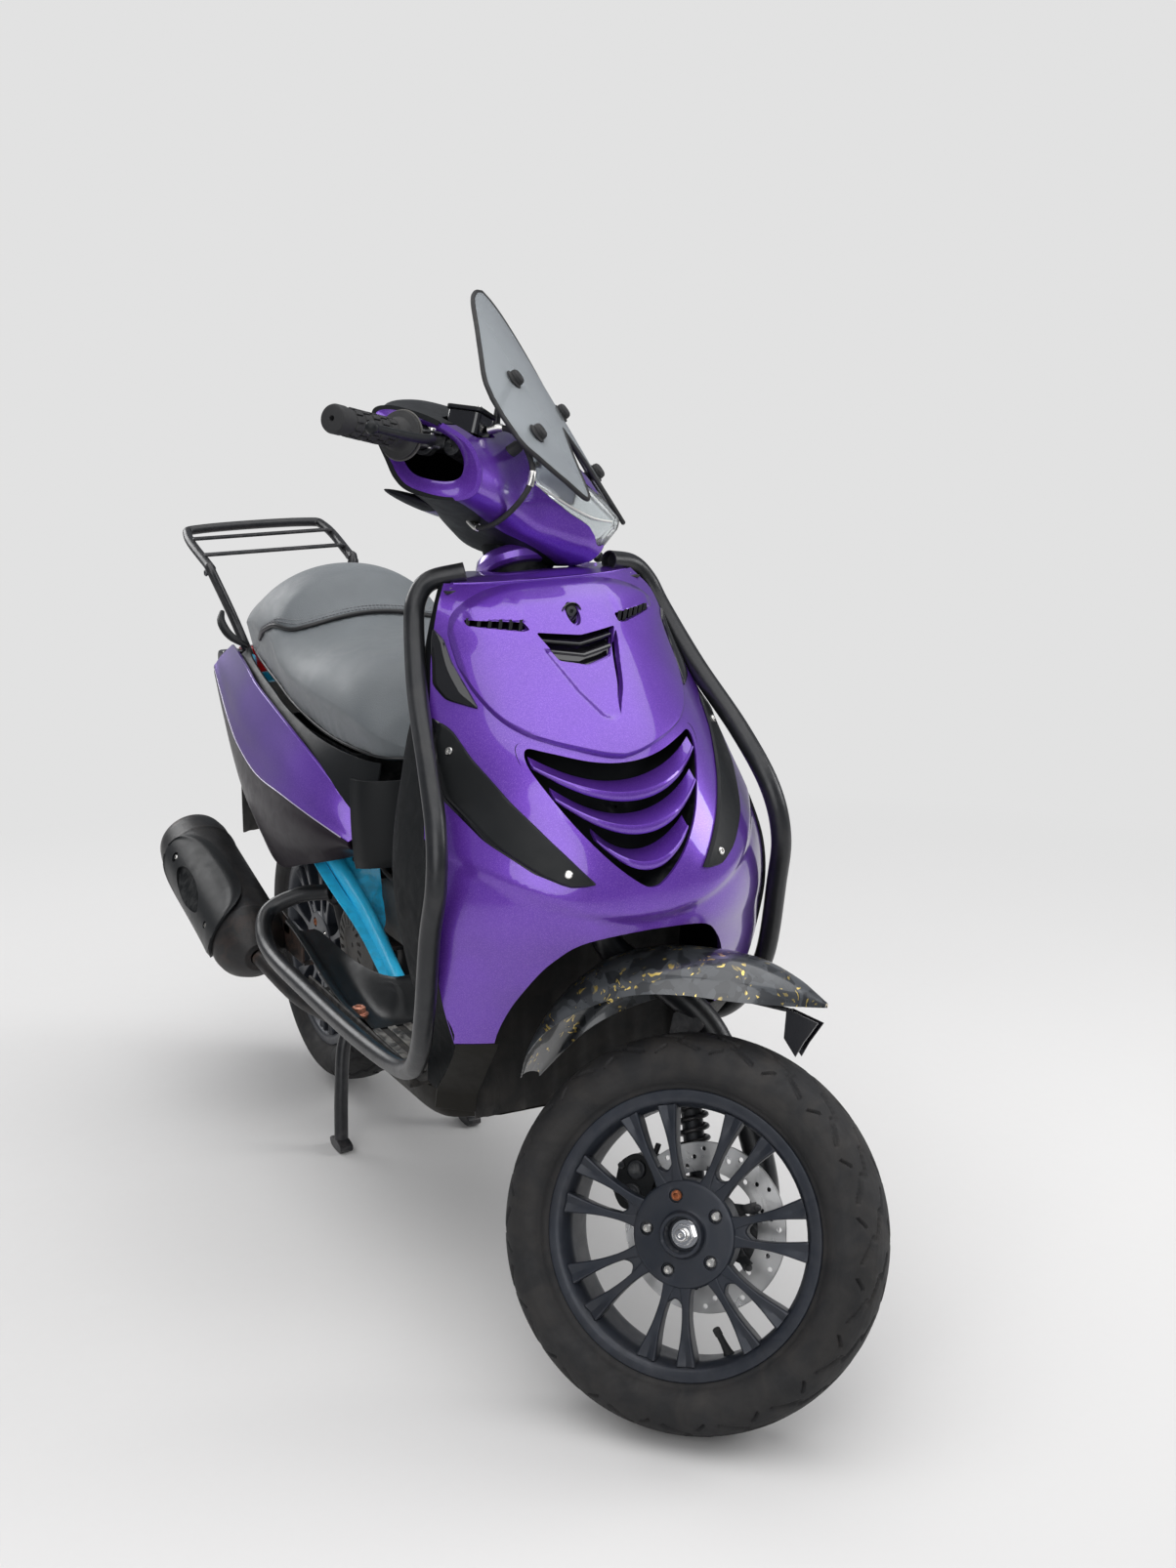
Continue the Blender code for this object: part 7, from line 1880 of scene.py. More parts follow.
def crash_bars():
    """The black tubes round the body, open at their tops, with the tabs that hold them."""
    for side, hand in SIDES:
        route = [Vector((p.x * hand, p.y, p.z)) for p in smooth(CRASH_BAR, 8)]
        bar = new_object(f"{side}_crash_bar_tube", tube(route, 0.0125, 28))
        start = route[0] - (route[1] - route[0]).normalized() * 0.004
        cut(bar, tube([start, route[2]], 0.0102, 24))
        place(bar, "chassis", M["tube"], f"crash_bar_{side}", edge=0.0006)
        tabs = [
            box((hand * 0.118 - 0.011, 0.318, 0.944), (hand * 0.118 + 0.011, 0.346, 0.9475)),
            box((hand * 0.200 - 0.010, 0.470, 0.3340), (hand * 0.200 + 0.010, 0.500, 0.3375)),
            box((hand * 0.090 - 0.012, 0.918, 0.400), (hand * 0.090 + 0.012, 0.944, 0.4035)),
        ]
        place(new_object(f"{side}_crash_bar_tabs", *tabs), "chassis", M["tube"],
              edge=0.0008)
        heads = [screw((hand * 0.118, 0.328, 0.9475), (0, 0, 1), 0.0050, 0.0028),
                 screw((hand * 0.196, 0.476, 0.3375), (0, 0, 1), 0.0050, 0.0028)]
        place(new_object(f"{side}_crash_bar_bolts", *heads), "chassis", M["steel"])


def floor_mat():
    """The floor with its raised sides and a worn ribbed mat, and one replacement bolt in it."""
    edge = [(0.196, 0.324), (0.196, 0.3495), (0.1945, 0.352), (0.1915, 0.352), (0.1895, 0.3480),
            (0.1870, 0.3340), (0.1820, 0.3300)]
    section = [(-x, z) for x, z in edge] + list(reversed(edge))
    board = new_object("floor_board", prism(section, "Y", 0.345, 0.756))
    opening = prism(rounded_rectangle((-0.125, 0.612), (0.125, 0.800), 0.030, 8), "Z", 0.30, 0.40)
    cut(board, opening, box((-0.026, 0.30, 0.30), (0.026, 0.369, 0.40)))
    place(board, "chassis", M["dusty"], "footboard", edge=0.0010)
    ribs = []
    for k in range(16):
        x = -0.168 + 0.0224 * k
        if abs(x) < 0.034:
            continue
        low, high = (0.372, 0.600) if abs(x) < 0.125 else (0.372, 0.735)
        ribs.append(prism(rounded_rectangle((x - 0.0058, low), (x + 0.0058, high), 0.0056), "Z", 0.3298,
                          0.3324))
    place(new_object("floor_mat_ribs", *ribs), "chassis", M["mat"], edge=0.0009)
    border = []
    for hand in (-1, 1):
        line = [(hand * x, y, 0.3308) for x, y in ((0.178, 0.366), (0.180, 0.470), (0.180, 0.640),
                                                   (0.176, 0.742))]
        border.append(tube(smooth(line, 5), 0.0024, 10))
    for y in (0.366, 0.604):
        for hand in (-1, 1):
            border.append(tube([(hand * 0.034, y, 0.3308), (hand * 0.120, y, 0.3308)], 0.0022, 10))
    place(new_object("floor_mat_border", *border), "chassis", M["dusty"])
    bolt = turned([(-0.004, 0.001), (-0.004, 0.0115), (0.0008, 0.0118), (0.0018, 0.0100), (0.0020, 0.0094),
                   (0.0100, 0.0094), (0.0118, 0.0078), (0.0118, 0.0042), (0.0080, 0.0040), (0.0080, 0.001)],
                  (-0.172, 0.604, 0.3366), (0, 0, 1), 6)
    washer = turned([(-0.001, 0.004), (-0.001, 0.0130), (0.0010, 0.0130), (0.0010, 0.004)],
                    (-0.172, 0.604, 0.3366), (0, 0, 1), 28)
    place(new_object("floor_bolt", bolt, washer), "chassis", M["copper"], edge=0.0006)


def floor_rise():
    """The moulded rise behind the mat, carried back along both sides inside the crash bars."""
    top = []
    under = []
    for x in steps_between(-0.1935, 0.1935, 80):
        side = eased(abs(x), 0.112, 0.150)
        rim = 0.0200 * eased(abs(x), 0.170, 0.188)
        row = []
        for y in steps_between(0.548, 0.611 + 0.251 * side, 30):
            middle_rise = 0.046 * eased(y, 0.552, 0.608)
            side_rise = 0.054 * eased(y, 0.590, 0.880)
            row.append((x, y, 0.3325 + middle_rise * (1 - side) + side_rise * side + rim))
        top.append(row)
        under.append([(x, y, z - 0.003) for x, y, z in row])
    place(new_object("floor_rear_rise", sheet(top, under)), "chassis", M["satin"],
          edge=0.0008)


def belly_tray():
    """The dark tray below the floor, its sides rolled in and its front edge turned up."""
    high = 0.3237
    outer = []
    inner = []
    for back, low, half in smooth_rows(BELLY, 40):
        section = [(half, high), (half * 0.995, high - 0.014), (half * 0.975, low + 0.012),
                   (half * 0.93, low + 0.003),
                   (half * 0.82, low), (half * 0.4, low - 0.0006)]
        section += [(-x, z) for x, z in reversed(section)]
        outer.append([(x, back, z) for x, z in section])
        inner.append([(x * (1 - 0.004 / half), back, max(z, low + 0.004) if z < high else high)
                      for x, z in section])
    tray = new_object("belly_tray_shell", sheet(outer, inner))
    place(tray, "chassis", M["belly"], "lower_fairing", edge=0.0010)


def belly_aprons():
    """The dark corners between the shield's lower edge and the belly, beside the wheel arch."""
    rows = sorted(list(SHIELD_ROWS) + list(LEG_SHIELD_LOW))
    for side, hand in SIDES:
        outer = []
        inner = []
        for height in steps_between(0.312, 0.4285, 20):
            middle, edge, half = at_key(rows, max(height, 0.340))
            outer_row = []
            for x in steps_between(0.1425, half - 0.0015, 12):
                back = middle + (edge - middle) * (x / half) ** SHIELD_POWER + 0.0010
                back += 0.35 * max(0.0, 0.340 - height)
                outer_row.append((hand * x, back, height))
            outer.append(outer_row)
            inner.append([(x, y + 0.003, z) for x, y, z in outer_row])
        place(new_object(f"{side}_belly_apron", sheet(outer, inner)), "chassis", M["belly"],
              edge=0.0006)


def seat_point(back, angle, lift=0.0):
    """A point on the seat's cover; the angle runs over the top from one hem to the other."""
    low, top, half = at_key(SEAT_ROWS, back)
    rise = math.sin(angle)
    if rise < 0.17:
        share = (rise + HEM_ANGLE) / 0.52
        across = (0.90 + 0.085 * min(1.0, max(0.0, share))) * math.copysign(1, math.cos(angle))
        height = low + (top - low) * (0.35 + 0.65 * 0.17) * min(1.0, max(0.0, share))
        point = Vector((half * across, back, height))
        out = Vector((math.copysign(1, across), 0, -0.15)).normalized()
    else:
        point = Vector((half * math.cos(angle), back, low + (top - low) * (0.35 + 0.65 * rise)))
        out = Vector((math.cos(angle) / half, 0, rise / max(top - low, 0.02))).normalized()
    return point + out * lift


def seam_back(angle):
    """How far back the seam between the rider's and the passenger's part runs at an angle round the seat."""
    side = abs(angle - math.pi / 2) / (math.pi / 2)
    return 0.962 + 0.150 * min(1.2, side) ** 3.2


def seat_cover():
    """The vinyl cushion: a low rider's part and a raised passenger's part, pinched at its seams and hem."""
    angles = steps_between(-HEM_ANGLE, math.pi + HEM_ANGLE, 96)
    rings = []
    backs = [0.655 + 0.719 * (0.5 - 0.5 * math.cos(math.pi * i / 150)) for i in range(151)]
    for back in backs:
        ring = []
        for angle in angles:
            reach = abs(back - seam_back(angle))
            pucker = 0.55 + 0.45 * math.sin(angle * 46)
            pinch = -0.0032 * math.exp(-(reach / 0.006) ** 2)
            pinch -= 0.0011 * pucker * math.exp(-(reach / 0.016) ** 2)
            from_hem = min(angle + HEM_ANGLE, math.pi + HEM_ANGLE - angle)
            tuck = -0.0035 * math.exp(-(from_hem / 0.10) ** 2)
            wave = math.sin(back * 210 + 3 * math.sin(back * 31))
            tuck += 0.0009 * wave * math.exp(-(from_hem / 0.22) ** 2)
            sag = -0.0045 * math.exp(-((back - 0.86) / 0.075) ** 2) * max(0.0, math.sin(angle)) ** 4
            soft = 0.0012 * math.sin(back * 37 + 2.1 * math.cos(angle)) * math.sin(3 * angle + back * 11)
            ring.append(seat_point(back, angle, pinch + tuck + sag + soft))
        low, _, half = at_key(SEAT_ROWS, back)
        ring += [Vector((-half * 0.84, back, low + 0.0006)), Vector((0, back, low + 0.0004)),
                 Vector((half * 0.84, back, low + 0.0006))]
        rings.append(ring)
    cushion = new_object("seat_cushion", bridge(rings))
    place(cushion, "seat_lid", M["vinyl"], "seat")
    cushion.data.set_sharp_from_angle(angle=math.radians(70))
    piping = tube([seat_point(seam_back(a), a, 0.0002) for a in steps_between(0.02, math.pi - 0.02, 90)],
                  0.0034, 12)
    place(new_object("seat_piping", piping), "seat_lid", M["piping"])
    stitches = []
    for offset in (0.0095, 0.0150):
        for k in range(74):
            a = 0.03 + (math.pi - 0.06) * k / 74
            b = a + (math.pi - 0.06) / 74 * 0.62
            ends = [seat_point(seam_back(c) + offset, c, 0.0001) for c in (a, b)]
            stitches.append(tube(ends, 0.00075, 6))
    place(new_object("seat_stitches", *stitches), "seat_lid", M["thread"])
    hem = []
    for start in (-0.33, math.pi + 0.33):
        hem.append(tube([seat_point(back, start, -0.0020) for back in backs[4:-4:3]], 0.0026, 10))
    place(new_object("seat_hem", *hem), "seat_lid", M["piping"])
    base = []
    for back in (back for back in backs[6:-6:4] if back > SEAT_BASE_START):
        low, _, half = at_key(SEAT_ROWS, back)
        base.append([(-half * 0.80, back, low - 0.003), (half * 0.80, back, low - 0.003),
                     (half * 0.82, back, low + 0.003), (-half * 0.82, back, low + 0.003)])
    tongue = box((-0.030, SEAT_HINGE_Y - 0.006, SEAT_HINGE_Z), (0.030, SEAT_HINGE_Y + 0.008, 0.680))
    knuckle = turned([(-0.030, 0.0047), (-0.030, 0.009), (0.030, 0.009), (0.030, 0.0047)],
                     (0, SEAT_HINGE_Y, SEAT_HINGE_Z), sides=28)
    place(new_object("seat_base", bridge(base)), "seat_lid", M["satin"], edge=0.0008)
    hinge = new_object("seat_knuckle", knuckle)
    combine(hinge, new_object("tongue", tongue), "UNION")
    cut(hinge, rod((-0.05, SEAT_HINGE_Y, SEAT_HINGE_Z), (0.05, SEAT_HINGE_Y, SEAT_HINGE_Z), 0.0048))
    place(hinge, "seat_lid", M["dark_metal"], edge=0.0005)


def side_shell(name, hand, shares, finish_name, replaces=()):
    outer = []
    inner = []
    for back, low, high, across in smooth_rows(SIDE_ROWS, 70):
        outer_row = []
        inner_row = []
        for share in shares:
            tuck = at_key(SIDE_BULGE, share)[0]
            crest = 0.0022 * math.exp(-((share - 0.60) / 0.05) ** 2)
            x = across - tuck + crest
            z = low + (high - low) * share
            outer_row.append((hand * x, back, z))
            inner_row.append((hand * (x - 0.004), back, z))
        outer.append(outer_row)
        inner.append(inner_row)
    panel = new_object(name, sheet(outer, inner))
    place(panel, "chassis", M[finish_name], replaces, edge=0.0012, angle=40)


def side_panels():
    """The rear panels: a violet band along the top, a pale line of painted highlight on the crest, and a lower
    part darkened to near black as painted shade.
    """
    for side, hand in SIDES:
        side_shell(f"{side}_panel_band", hand, steps_between(0.60, 1.0, 14), "paint", f"side_panel_{side}")
        # The lower flank in near-black violet: painted shade for the part that faces away from the light.
        side_shell(f"{side}_panel_flank", hand, steps_between(0.0, 0.594, 20), "violet_painted_shade")
        # A thin pale tube on the crest: painted highlight along the crease.
        crest = []
        for back, low, high, across in smooth_rows(SIDE_ROWS, 50)[1:-1]:
            x = across - at_key(SIDE_BULGE, 0.6)[0] + 0.0022
            crest.append((hand * x, back, low + (high - low) * 0.597))
        place(new_object(f"{side}_panel_crest_highlight", tube(crest, 0.0009, 8)), "chassis", M["painted_highlight_edge"])
        rear = new_object(f"{side}_grab_handle", tube(smooth([
            (hand * 0.100, 1.300, 0.748), (hand * 0.124, 1.318, 0.766), (hand * 0.130, 1.345, 0.786),
            (hand * 0.122, 1.366, 0.800)], 5),
            [0.004 + 0.0035 * math.sin(math.pi * k / 15) for k in range(16)], 14))
        place(rear, "chassis", M["satin"])


def seat_front_panel():
    """The dark panel below the seat's nose, wrapped back to the side panels, its lower edge a lip."""
    half_plan = [(0.0, 0.622), (0.085, 0.632), (0.128, 0.652), (0.142, 0.6795)]
    plan = [(-x, y) for x, y in reversed(half_plan[1:])] + half_plan
    fine = [Vector((p.x, p.y)) for p in smooth([(x, y, 0) for x, y in plan], 8)]
    outer = []
    inner = []
    for level in steps_between(0.0, 1.0, 26):
        outer_row = []
        inner_row = []
        for p in fine:
            low = 0.530 - 0.15 * (p.y - 0.62)
            bow = 0.004 * math.sin(math.pi * level) - 0.0025 * math.exp(-(level / 0.05) ** 2)
            toward = Vector((p.x, p.y - 0.80)).normalized()
            outer_row.append((p.x + toward.x * bow, p.y + toward.y * bow, low + (0.650 - low) * level))
            back = Vector((p.x, p.y)) - toward * 0.0045
            inner_row.append((back.x, min(back.y, 0.6795), low + (0.650 - low) * level))
        outer.append(outer_row)
        inner.append(inner_row)
    panel = new_object("seat_front_shell", sheet(outer, inner))
    place(panel, "chassis", M["satin"], "under_seat_panel", edge=0.0010, angle=40)


def seat_sills():
    """The dark strips that close the gap between the seat's underside and the side panels."""
    for side, hand in SIDES:
        outer = []
        inner = []
        for back in steps_between(0.676, 1.300, 50):
            low, high, across = at_key(SIDE_ROWS, max(back, 0.680))
            top = at_key(SEAT_ROWS, back)[0] - 0.0045
            start = low + (high - low) * 0.90
            top = max(top, start + 0.003)
            lower_x = across - 0.030
            upper_x = min(lower_x, at_key(SEAT_ROWS, back)[2] * 0.93 + 0.004)
            outer.append([(hand * (lower_x + (upper_x - lower_x) * k / 6), back,
                           start + (top - start) * k / 6)
                          for k in range(7)])
            inner.append([(x - hand * 0.003, y, z - 0.001) for x, y, z in outer[-1]])
        place(new_object(f"{side}_seat_sill", sheet(outer, inner)), "chassis", M["satin"],
              edge=0.0008)


def bucket():
    """The luggage box below the seat, open above, with the seat's hinge at its front."""
    outline = rounded_rectangle((-0.110, 0.745), (0.110, 1.100), 0.022, 6)
    hollow = rounded_rectangle((-0.107, 0.748), (0.107, 1.097), 0.020, 6)
    shell = new_object("bucket_shell", prism(outline, "Z", 0.560, 0.668))
    cut(shell, prism(hollow, "Z", 0.563, 0.70))
    place(shell, "chassis", M["matt"], "luggage_box", edge=0.0008)
    lugs = [box((low, SEAT_HINGE_Y - 0.006, SEAT_HINGE_Z - 0.010),
                (low + 0.008, 0.7465, SEAT_HINGE_Z + 0.005))
            for low in (-0.044, 0.036)]
    pin = rod((-0.050, SEAT_HINGE_Y, SEAT_HINGE_Z), (0.050, SEAT_HINGE_Y, SEAT_HINGE_Z), 0.004)
    foot = box((-0.020, 0.860, 0.5413), (0.020, 0.880, 0.5615))
    place(new_object("bucket_fittings", *lugs, pin, foot), "chassis", M["dark_metal"],
          edge=0.0006)


leg_shield()
arch_liner()
crash_bars()
floor_mat()
floor_rise()
belly_tray()
belly_aprons()
seat_cover()
side_panels()
seat_front_panel()
seat_sills()
bucket()


# Frame, engine and rear end

SPINE_Z = 0.3035
CASE_X = 0.072
BELT_FRONT = (0.900, 0.320)
BELT_FRONT_RADIUS = 0.085
BELT_REAR = (REAR_AXLE.y, REAR_AXLE.z + 0.025)
BELT_REAR_RADIUS = 0.060
MUFFLER_START = Vector((-0.190, 1.030, 0.300))
MUFFLER_END = Vector((-0.190, 1.420, 0.400))
MUFFLER_RADIUS = 0.062
GUARD_START = 0.048
GUARD_LENGTH = 0.288
STAND_PIVOT_Y = 0.955
STAND_PIVOT_Z = 0.235
GUARD_TILT = math.radians(24)
RACK_HALF_WIDTH = 0.125
RACK_FRONT = (1.405, 0.868)
RACK_REAR = (1.576, 0.920)
TAIL_Y = 1.4003
FLAP_HALF_WIDTH = 0.070


def tube_frame():
    """The blue frame: head tube, down tube, rails with their pressed plates, cross tubes."""
    bore = 0.0186
    head = turned([(0.0, bore), (0.0, HEAD_RADIUS), (0.255, HEAD_RADIUS), (0.255, bore)],
                  on_steering_axis(0.655), STEERING_AXIS, 40)
    start = on_steering_axis(0.80)
    shapes = [head, tube(smooth([
        (0, start.y + 0.020, start.z), (0, 0.308, 0.66), (0, 0.297, 0.48), (0, 0.299, 0.400),
        (0, 0.298, 0.362),
        (0, 0.338, SPINE_Z + 0.006), (0, 0.420, SPINE_Z), (0, 0.630, SPINE_Z)], 6), 0.0175, 20)]
    shapes.append(rod((-0.085, 0.615, SPINE_Z), (0.085, 0.615, SPINE_Z), 0.015))
    shapes.append(rod((-0.132, 0.870, 0.530), (0.132, 0.870, 0.530), 0.011))
    shapes.append(rod((-0.103, 1.290, 0.696), (0.103, 1.290, 0.696), 0.009))
    for hand in (-1, 1):
        shapes.append(tube(smooth([
            (hand * 0.080, 0.610, SPINE_Z), (hand * 0.082, 0.700, 0.345), (hand * 0.098, 0.780, 0.430),
            (hand * 0.132, 0.870, 0.530), (hand * 0.140, 1.000, 0.610), (hand * 0.126, 1.200, 0.672),
            (hand * 0.080, 1.370, 0.715)], 6), 0.0125, 20))
    place(new_object("frame_tubes", *shapes), "chassis", M["blue"], "frame", edge=0.0008)
    for side, hand in SIDES:
        outline = rounded([(0.052, 0.505), (0.120, 0.505), (0.117, 0.450), (0.104, 0.398), (0.080, 0.388),
                           (0.066, 0.404), (0.060, 0.450)], 0.014, 6)
        verts, faces = prism([(hand * x, z) for x, z in outline], "Y", 0.0, 0.003)
        plate = ([(x, y + 0.766 + (z - 0.388) * 0.62, z) for x, y, z in verts], faces)
        flange = []
        for x, y, z in smooth([(0.094, 0.700, 0.338), (0.108, 0.762, 0.402), (0.132, 0.820, 0.462),
                               (0.148, 0.862, 0.508)], 6):
            flange.append([(hand * (x + a), y + b, z) for a, b in (
                (-0.0090, -0.0125), (0.0090, -0.0125), (0.0090, -0.0100), (-0.0062, -0.0100),
                (-0.0062, 0.014),
                (-0.0090, 0.014))])
        web = []
        for x, y, z in smooth([(0.076, 0.690, 0.330), (0.083, 0.724, 0.362), (0.086, 0.760, 0.396)], 6):
            web.append([(hand * (x + a), y + b, z) for a, b in (
                (-0.0095, -0.013), (0.0095, -0.013), (0.0095, -0.0105), (-0.0095, -0.0105))])
        made = new_object(f"{side}_frame_plates", plate, bridge(flange), bridge(web))
        place(made, "chassis", M["blue"], edge=0.0010)
        bolts = [screw((hand * x, 0.7660 + (z - 0.388) * 0.62, z), (0, -1, 0.55), 0.0052, 0.0030)
                 for x, z in ((0.090, 0.492), (0.0865, 0.412))]
        place(new_object(f"{side}_frame_bolts", *bolts), "chassis", M["dark_metal"])


def engine():
    """The crankcase with its ribs and bolts, the finned cylinder in its cowl, pipes and cables."""
    outline = rounded([(0.800, 0.262), (0.962, 0.262), (0.962, 0.400), (0.930, 0.430), (0.800, 0.430)], 0.018,
                      6)
    shapes = [prism(outline, "X", -0.0595, 0.0595)]
    for k in range(6):
        y = 0.820 + 0.024 * k
        shapes.append(box((-0.0595, y, 0.2560), (0.0595, y + 0.004, 0.2640)))
    for hand in (-1, 1):
        near = min(hand * 0.0503, hand * 0.0593)
        shapes.append(box((near, 0.941, 0.228), (near + 0.009, 0.961, 0.272)))
    shapes.append(rod((-0.059, STAND_PIVOT_Y, STAND_PIVOT_Z), (0.059, STAND_PIVOT_Y, STAND_PIVOT_Z), 0.007))
    shapes.append(box((0.040, 0.705, 0.308), (0.052, 0.804, 0.338)))
    shapes.append(rod((0.030, 0.705, 0.326), (0.084, 0.705, 0.326), 0.010))
    place(new_object("crankcase", *shapes), "chassis", M["engine_dark"], "engine_block", edge=0.0014)
    bolts = []
    for y, z in ((0.815, 0.280), (0.815, 0.410), (0.945, 0.285), (0.880, 0.272), (0.930, 0.418)):
        bolts.append(screw((-0.0595, y, z), (-1, 0, 0), 0.0050, 0.0040))
    place(new_object("crankcase_bolts", *bolts), "chassis", M["steel"])
    cowl = new_object("cylinder_shroud", prism(
        rounded_rectangle((-0.063, 0.378), (0.034, 0.468), 0.016, 6), "Y", 0.712, 0.7994))
    cut(cowl, prism(rounded_rectangle((-0.056, 0.384), (0.028, 0.461), 0.012, 5), "Y", 0.700, 0.780))
    place(cowl, "chassis", M["cowl"], "cylinder_cowl", edge=0.0016)
    fins = []
    for k in range(14):
        y = 0.6925 + 0.0058 * k
        fins.append(prism(rounded_rectangle((-0.054, 0.3865), (0.0255, 0.4590), 0.010), "Y", y, y + 0.0019))
    fins.append(rod((-0.014, 0.694, 0.422), (-0.014, 0.779, 0.422), 0.030))
    place(new_object("cylinder_fins", *fins), "chassis", M["alloy"], edge=0.0004)
    head = turned([(0.0, 0.001), (0.0, 0.020), (0.004, 0.022), (0.0125, 0.022), (0.0125, 0.001)],
                  (-0.014, 0.6800, 0.422), (0, 1, 0), 28)
    cap = tube(smooth([(-0.014, 0.684, 0.422), (-0.018, 0.668, 0.424), (-0.028, 0.660, 0.432),
                       (-0.040, 0.664, 0.446)], 5), [0.0085] * 6 + [0.0070] * 6 + [0.0045] * 4, 16)
    place(new_object("plug_cap", head, cap), "chassis", M["rubber"], edge=0.0006)
    cables = []
    for points, radius in (
        (((-0.040, 0.664, 0.446), (-0.062, 0.690, 0.474), (-0.080, 0.740, 0.500), (-0.060, 0.800, 0.540)),
         0.0035),
        (((-0.030, 0.700, 0.375), (-0.020, 0.680, 0.350), (0.020, 0.690, 0.340), (0.050, 0.740, 0.360)),
         0.0045),
        (((0.020, 0.700, 0.372), (0.010, 0.690, 0.340), (-0.020, 0.720, 0.320), (-0.040, 0.790, 0.300)),
         0.0030),
        (((0.060, 0.700, 0.480), (0.030, 0.720, 0.500), (0.000, 0.760, 0.520), (0.000, 0.840, 0.540)),
         0.0060),
        (((-0.070, 0.800, 0.420), (-0.085, 0.830, 0.440), (-0.080, 0.900, 0.450), (-0.050, 0.960, 0.430)),
         0.0050),
    ):
        cables.append(tube(smooth(points, 6), radius, 12))
    place(new_object("engine_cables", *cables), "chassis", M["rubber"])
    body = [
        turned([(0.0, 0.001), (0.0, 0.018), (0.010, 0.020), (0.034, 0.020), (0.040, 0.014), (0.040, 0.001)],
               (0.030, 0.860, 0.456), (0.2, 1, 0.15), 28),
        turned([(0.0, 0.001), (0.0, 0.014), (0.042, 0.014), (0.044, 0.012), (0.044, 0.001)],
               (0.034, 0.880, 0.440), (0, 0, 1), 28),
    ]
    place(new_object("carburettor", *body), "chassis", M["alloy"], edge=0.0008)


def belt_outline(inset, count=14):
    """The belt case's outline, two half circles, drawn inside its real one by the inset."""
    points = []
    for (y, z), radius, start in ((BELT_REAR, BELT_REAR_RADIUS, -85), (BELT_FRONT, BELT_FRONT_RADIUS, 85)):
        for i in range(count + 1):
            a = math.radians(start + i * 180 / count)
            points.append((y + (radius - inset) * math.cos(a), z + (radius - inset) * math.sin(a)))
    return points


def fan_and_case():
    """The fan's slotted cover on the right, the belt case with its raised panel and screws on the left."""
    centre = (-0.0603, 0.880, 0.345)
    fan = new_object("fan_shell", turned([
        (0.0, 0.004), (0.0, 0.0738), (-0.004, 0.0738), (-0.018, 0.0690), (-0.026, 0.0560), (-0.0292, 0.0500),
        (-0.0292, 0.0300), (-0.0262, 0.0280), (-0.0262, 0.004)], centre, sides=72))
    slots = []
    for a in circle(18):
        out = Vector((0, math.cos(a), math.sin(a)))
        way = Vector((0, -math.sin(a), math.cos(a)))
        base = Vector(centre) + Vector((-0.0270, 0, 0))
        loop = [base + out * r + way * (w + 0.004 * (r - 0.03) / 0.02) for r, w in (
            (0.0315, -0.0022), (0.0315, 0.0022), (0.0480, 0.0036), (0.0480, -0.0036))]
        slots.append(bridge([[p + Vector((-0.006, 0, 0)) for p in loop],
                             [p + Vector((0.0022, 0, 0)) for p in loop]]))
    combine(fan, new_object("slots", *slots), "DIFFERENCE")
    place(fan, "chassis", M["cowl"], "fan_cover", edge=0.0008)

    case = new_object("belt_case", prism(belt_outline(0.0), "X", CASE_X, CASE_X + 0.070),
                      prism(belt_outline(0.005), "X", CASE_X + 0.068, CASE_X + 0.0785),
                      box((0.0603, 0.830, 0.290), (0.082, 0.940, 0.380)))
    place(case, "chassis", M["alloy"], "transmission_case", edge=0.0030)
    ribs = []
    for i in range(7):
        share = (i + 1) / 8
        y = BELT_FRONT[0] + (BELT_REAR[0] - BELT_FRONT[0]) * share
        z = BELT_FRONT[1] + (BELT_REAR[1] - BELT_FRONT[1]) * share
        reach = BELT_FRONT_RADIUS + (BELT_REAR_RADIUS - BELT_FRONT_RADIUS) * share - 0.022
        ribs.append(prism(rounded_rectangle((y - 0.0028, z - reach), (y + 0.0028, z + reach), 0.0026), "X",
                          CASE_X + 0.0780, CASE_X + 0.0800))
    place(new_object("belt_case_ribs", *ribs), "chassis", M["alloy"], edge=0.0007)
    rim = belt_outline(0.0105)
    heads = [screw((CASE_X + 0.0785, *rim[k]), (1, 0, 0), 0.0046, 0.0024) for k in range(0, len(rim), 3)]
    place(new_object("belt_case_screws", *heads), "chassis", M["steel"])
    starter = turned([(0.0, 0.001), (0.0, 0.034), (0.004, 0.036), (0.006, 0.034), (0.0066, 0.020),
                      (0.0066, 0.001)],
                     (CASE_X + 0.0780, *BELT_FRONT), sides=48)
    place(new_object("belt_case_hub", starter), "chassis", M["engine_dark"], edge=0.0008)


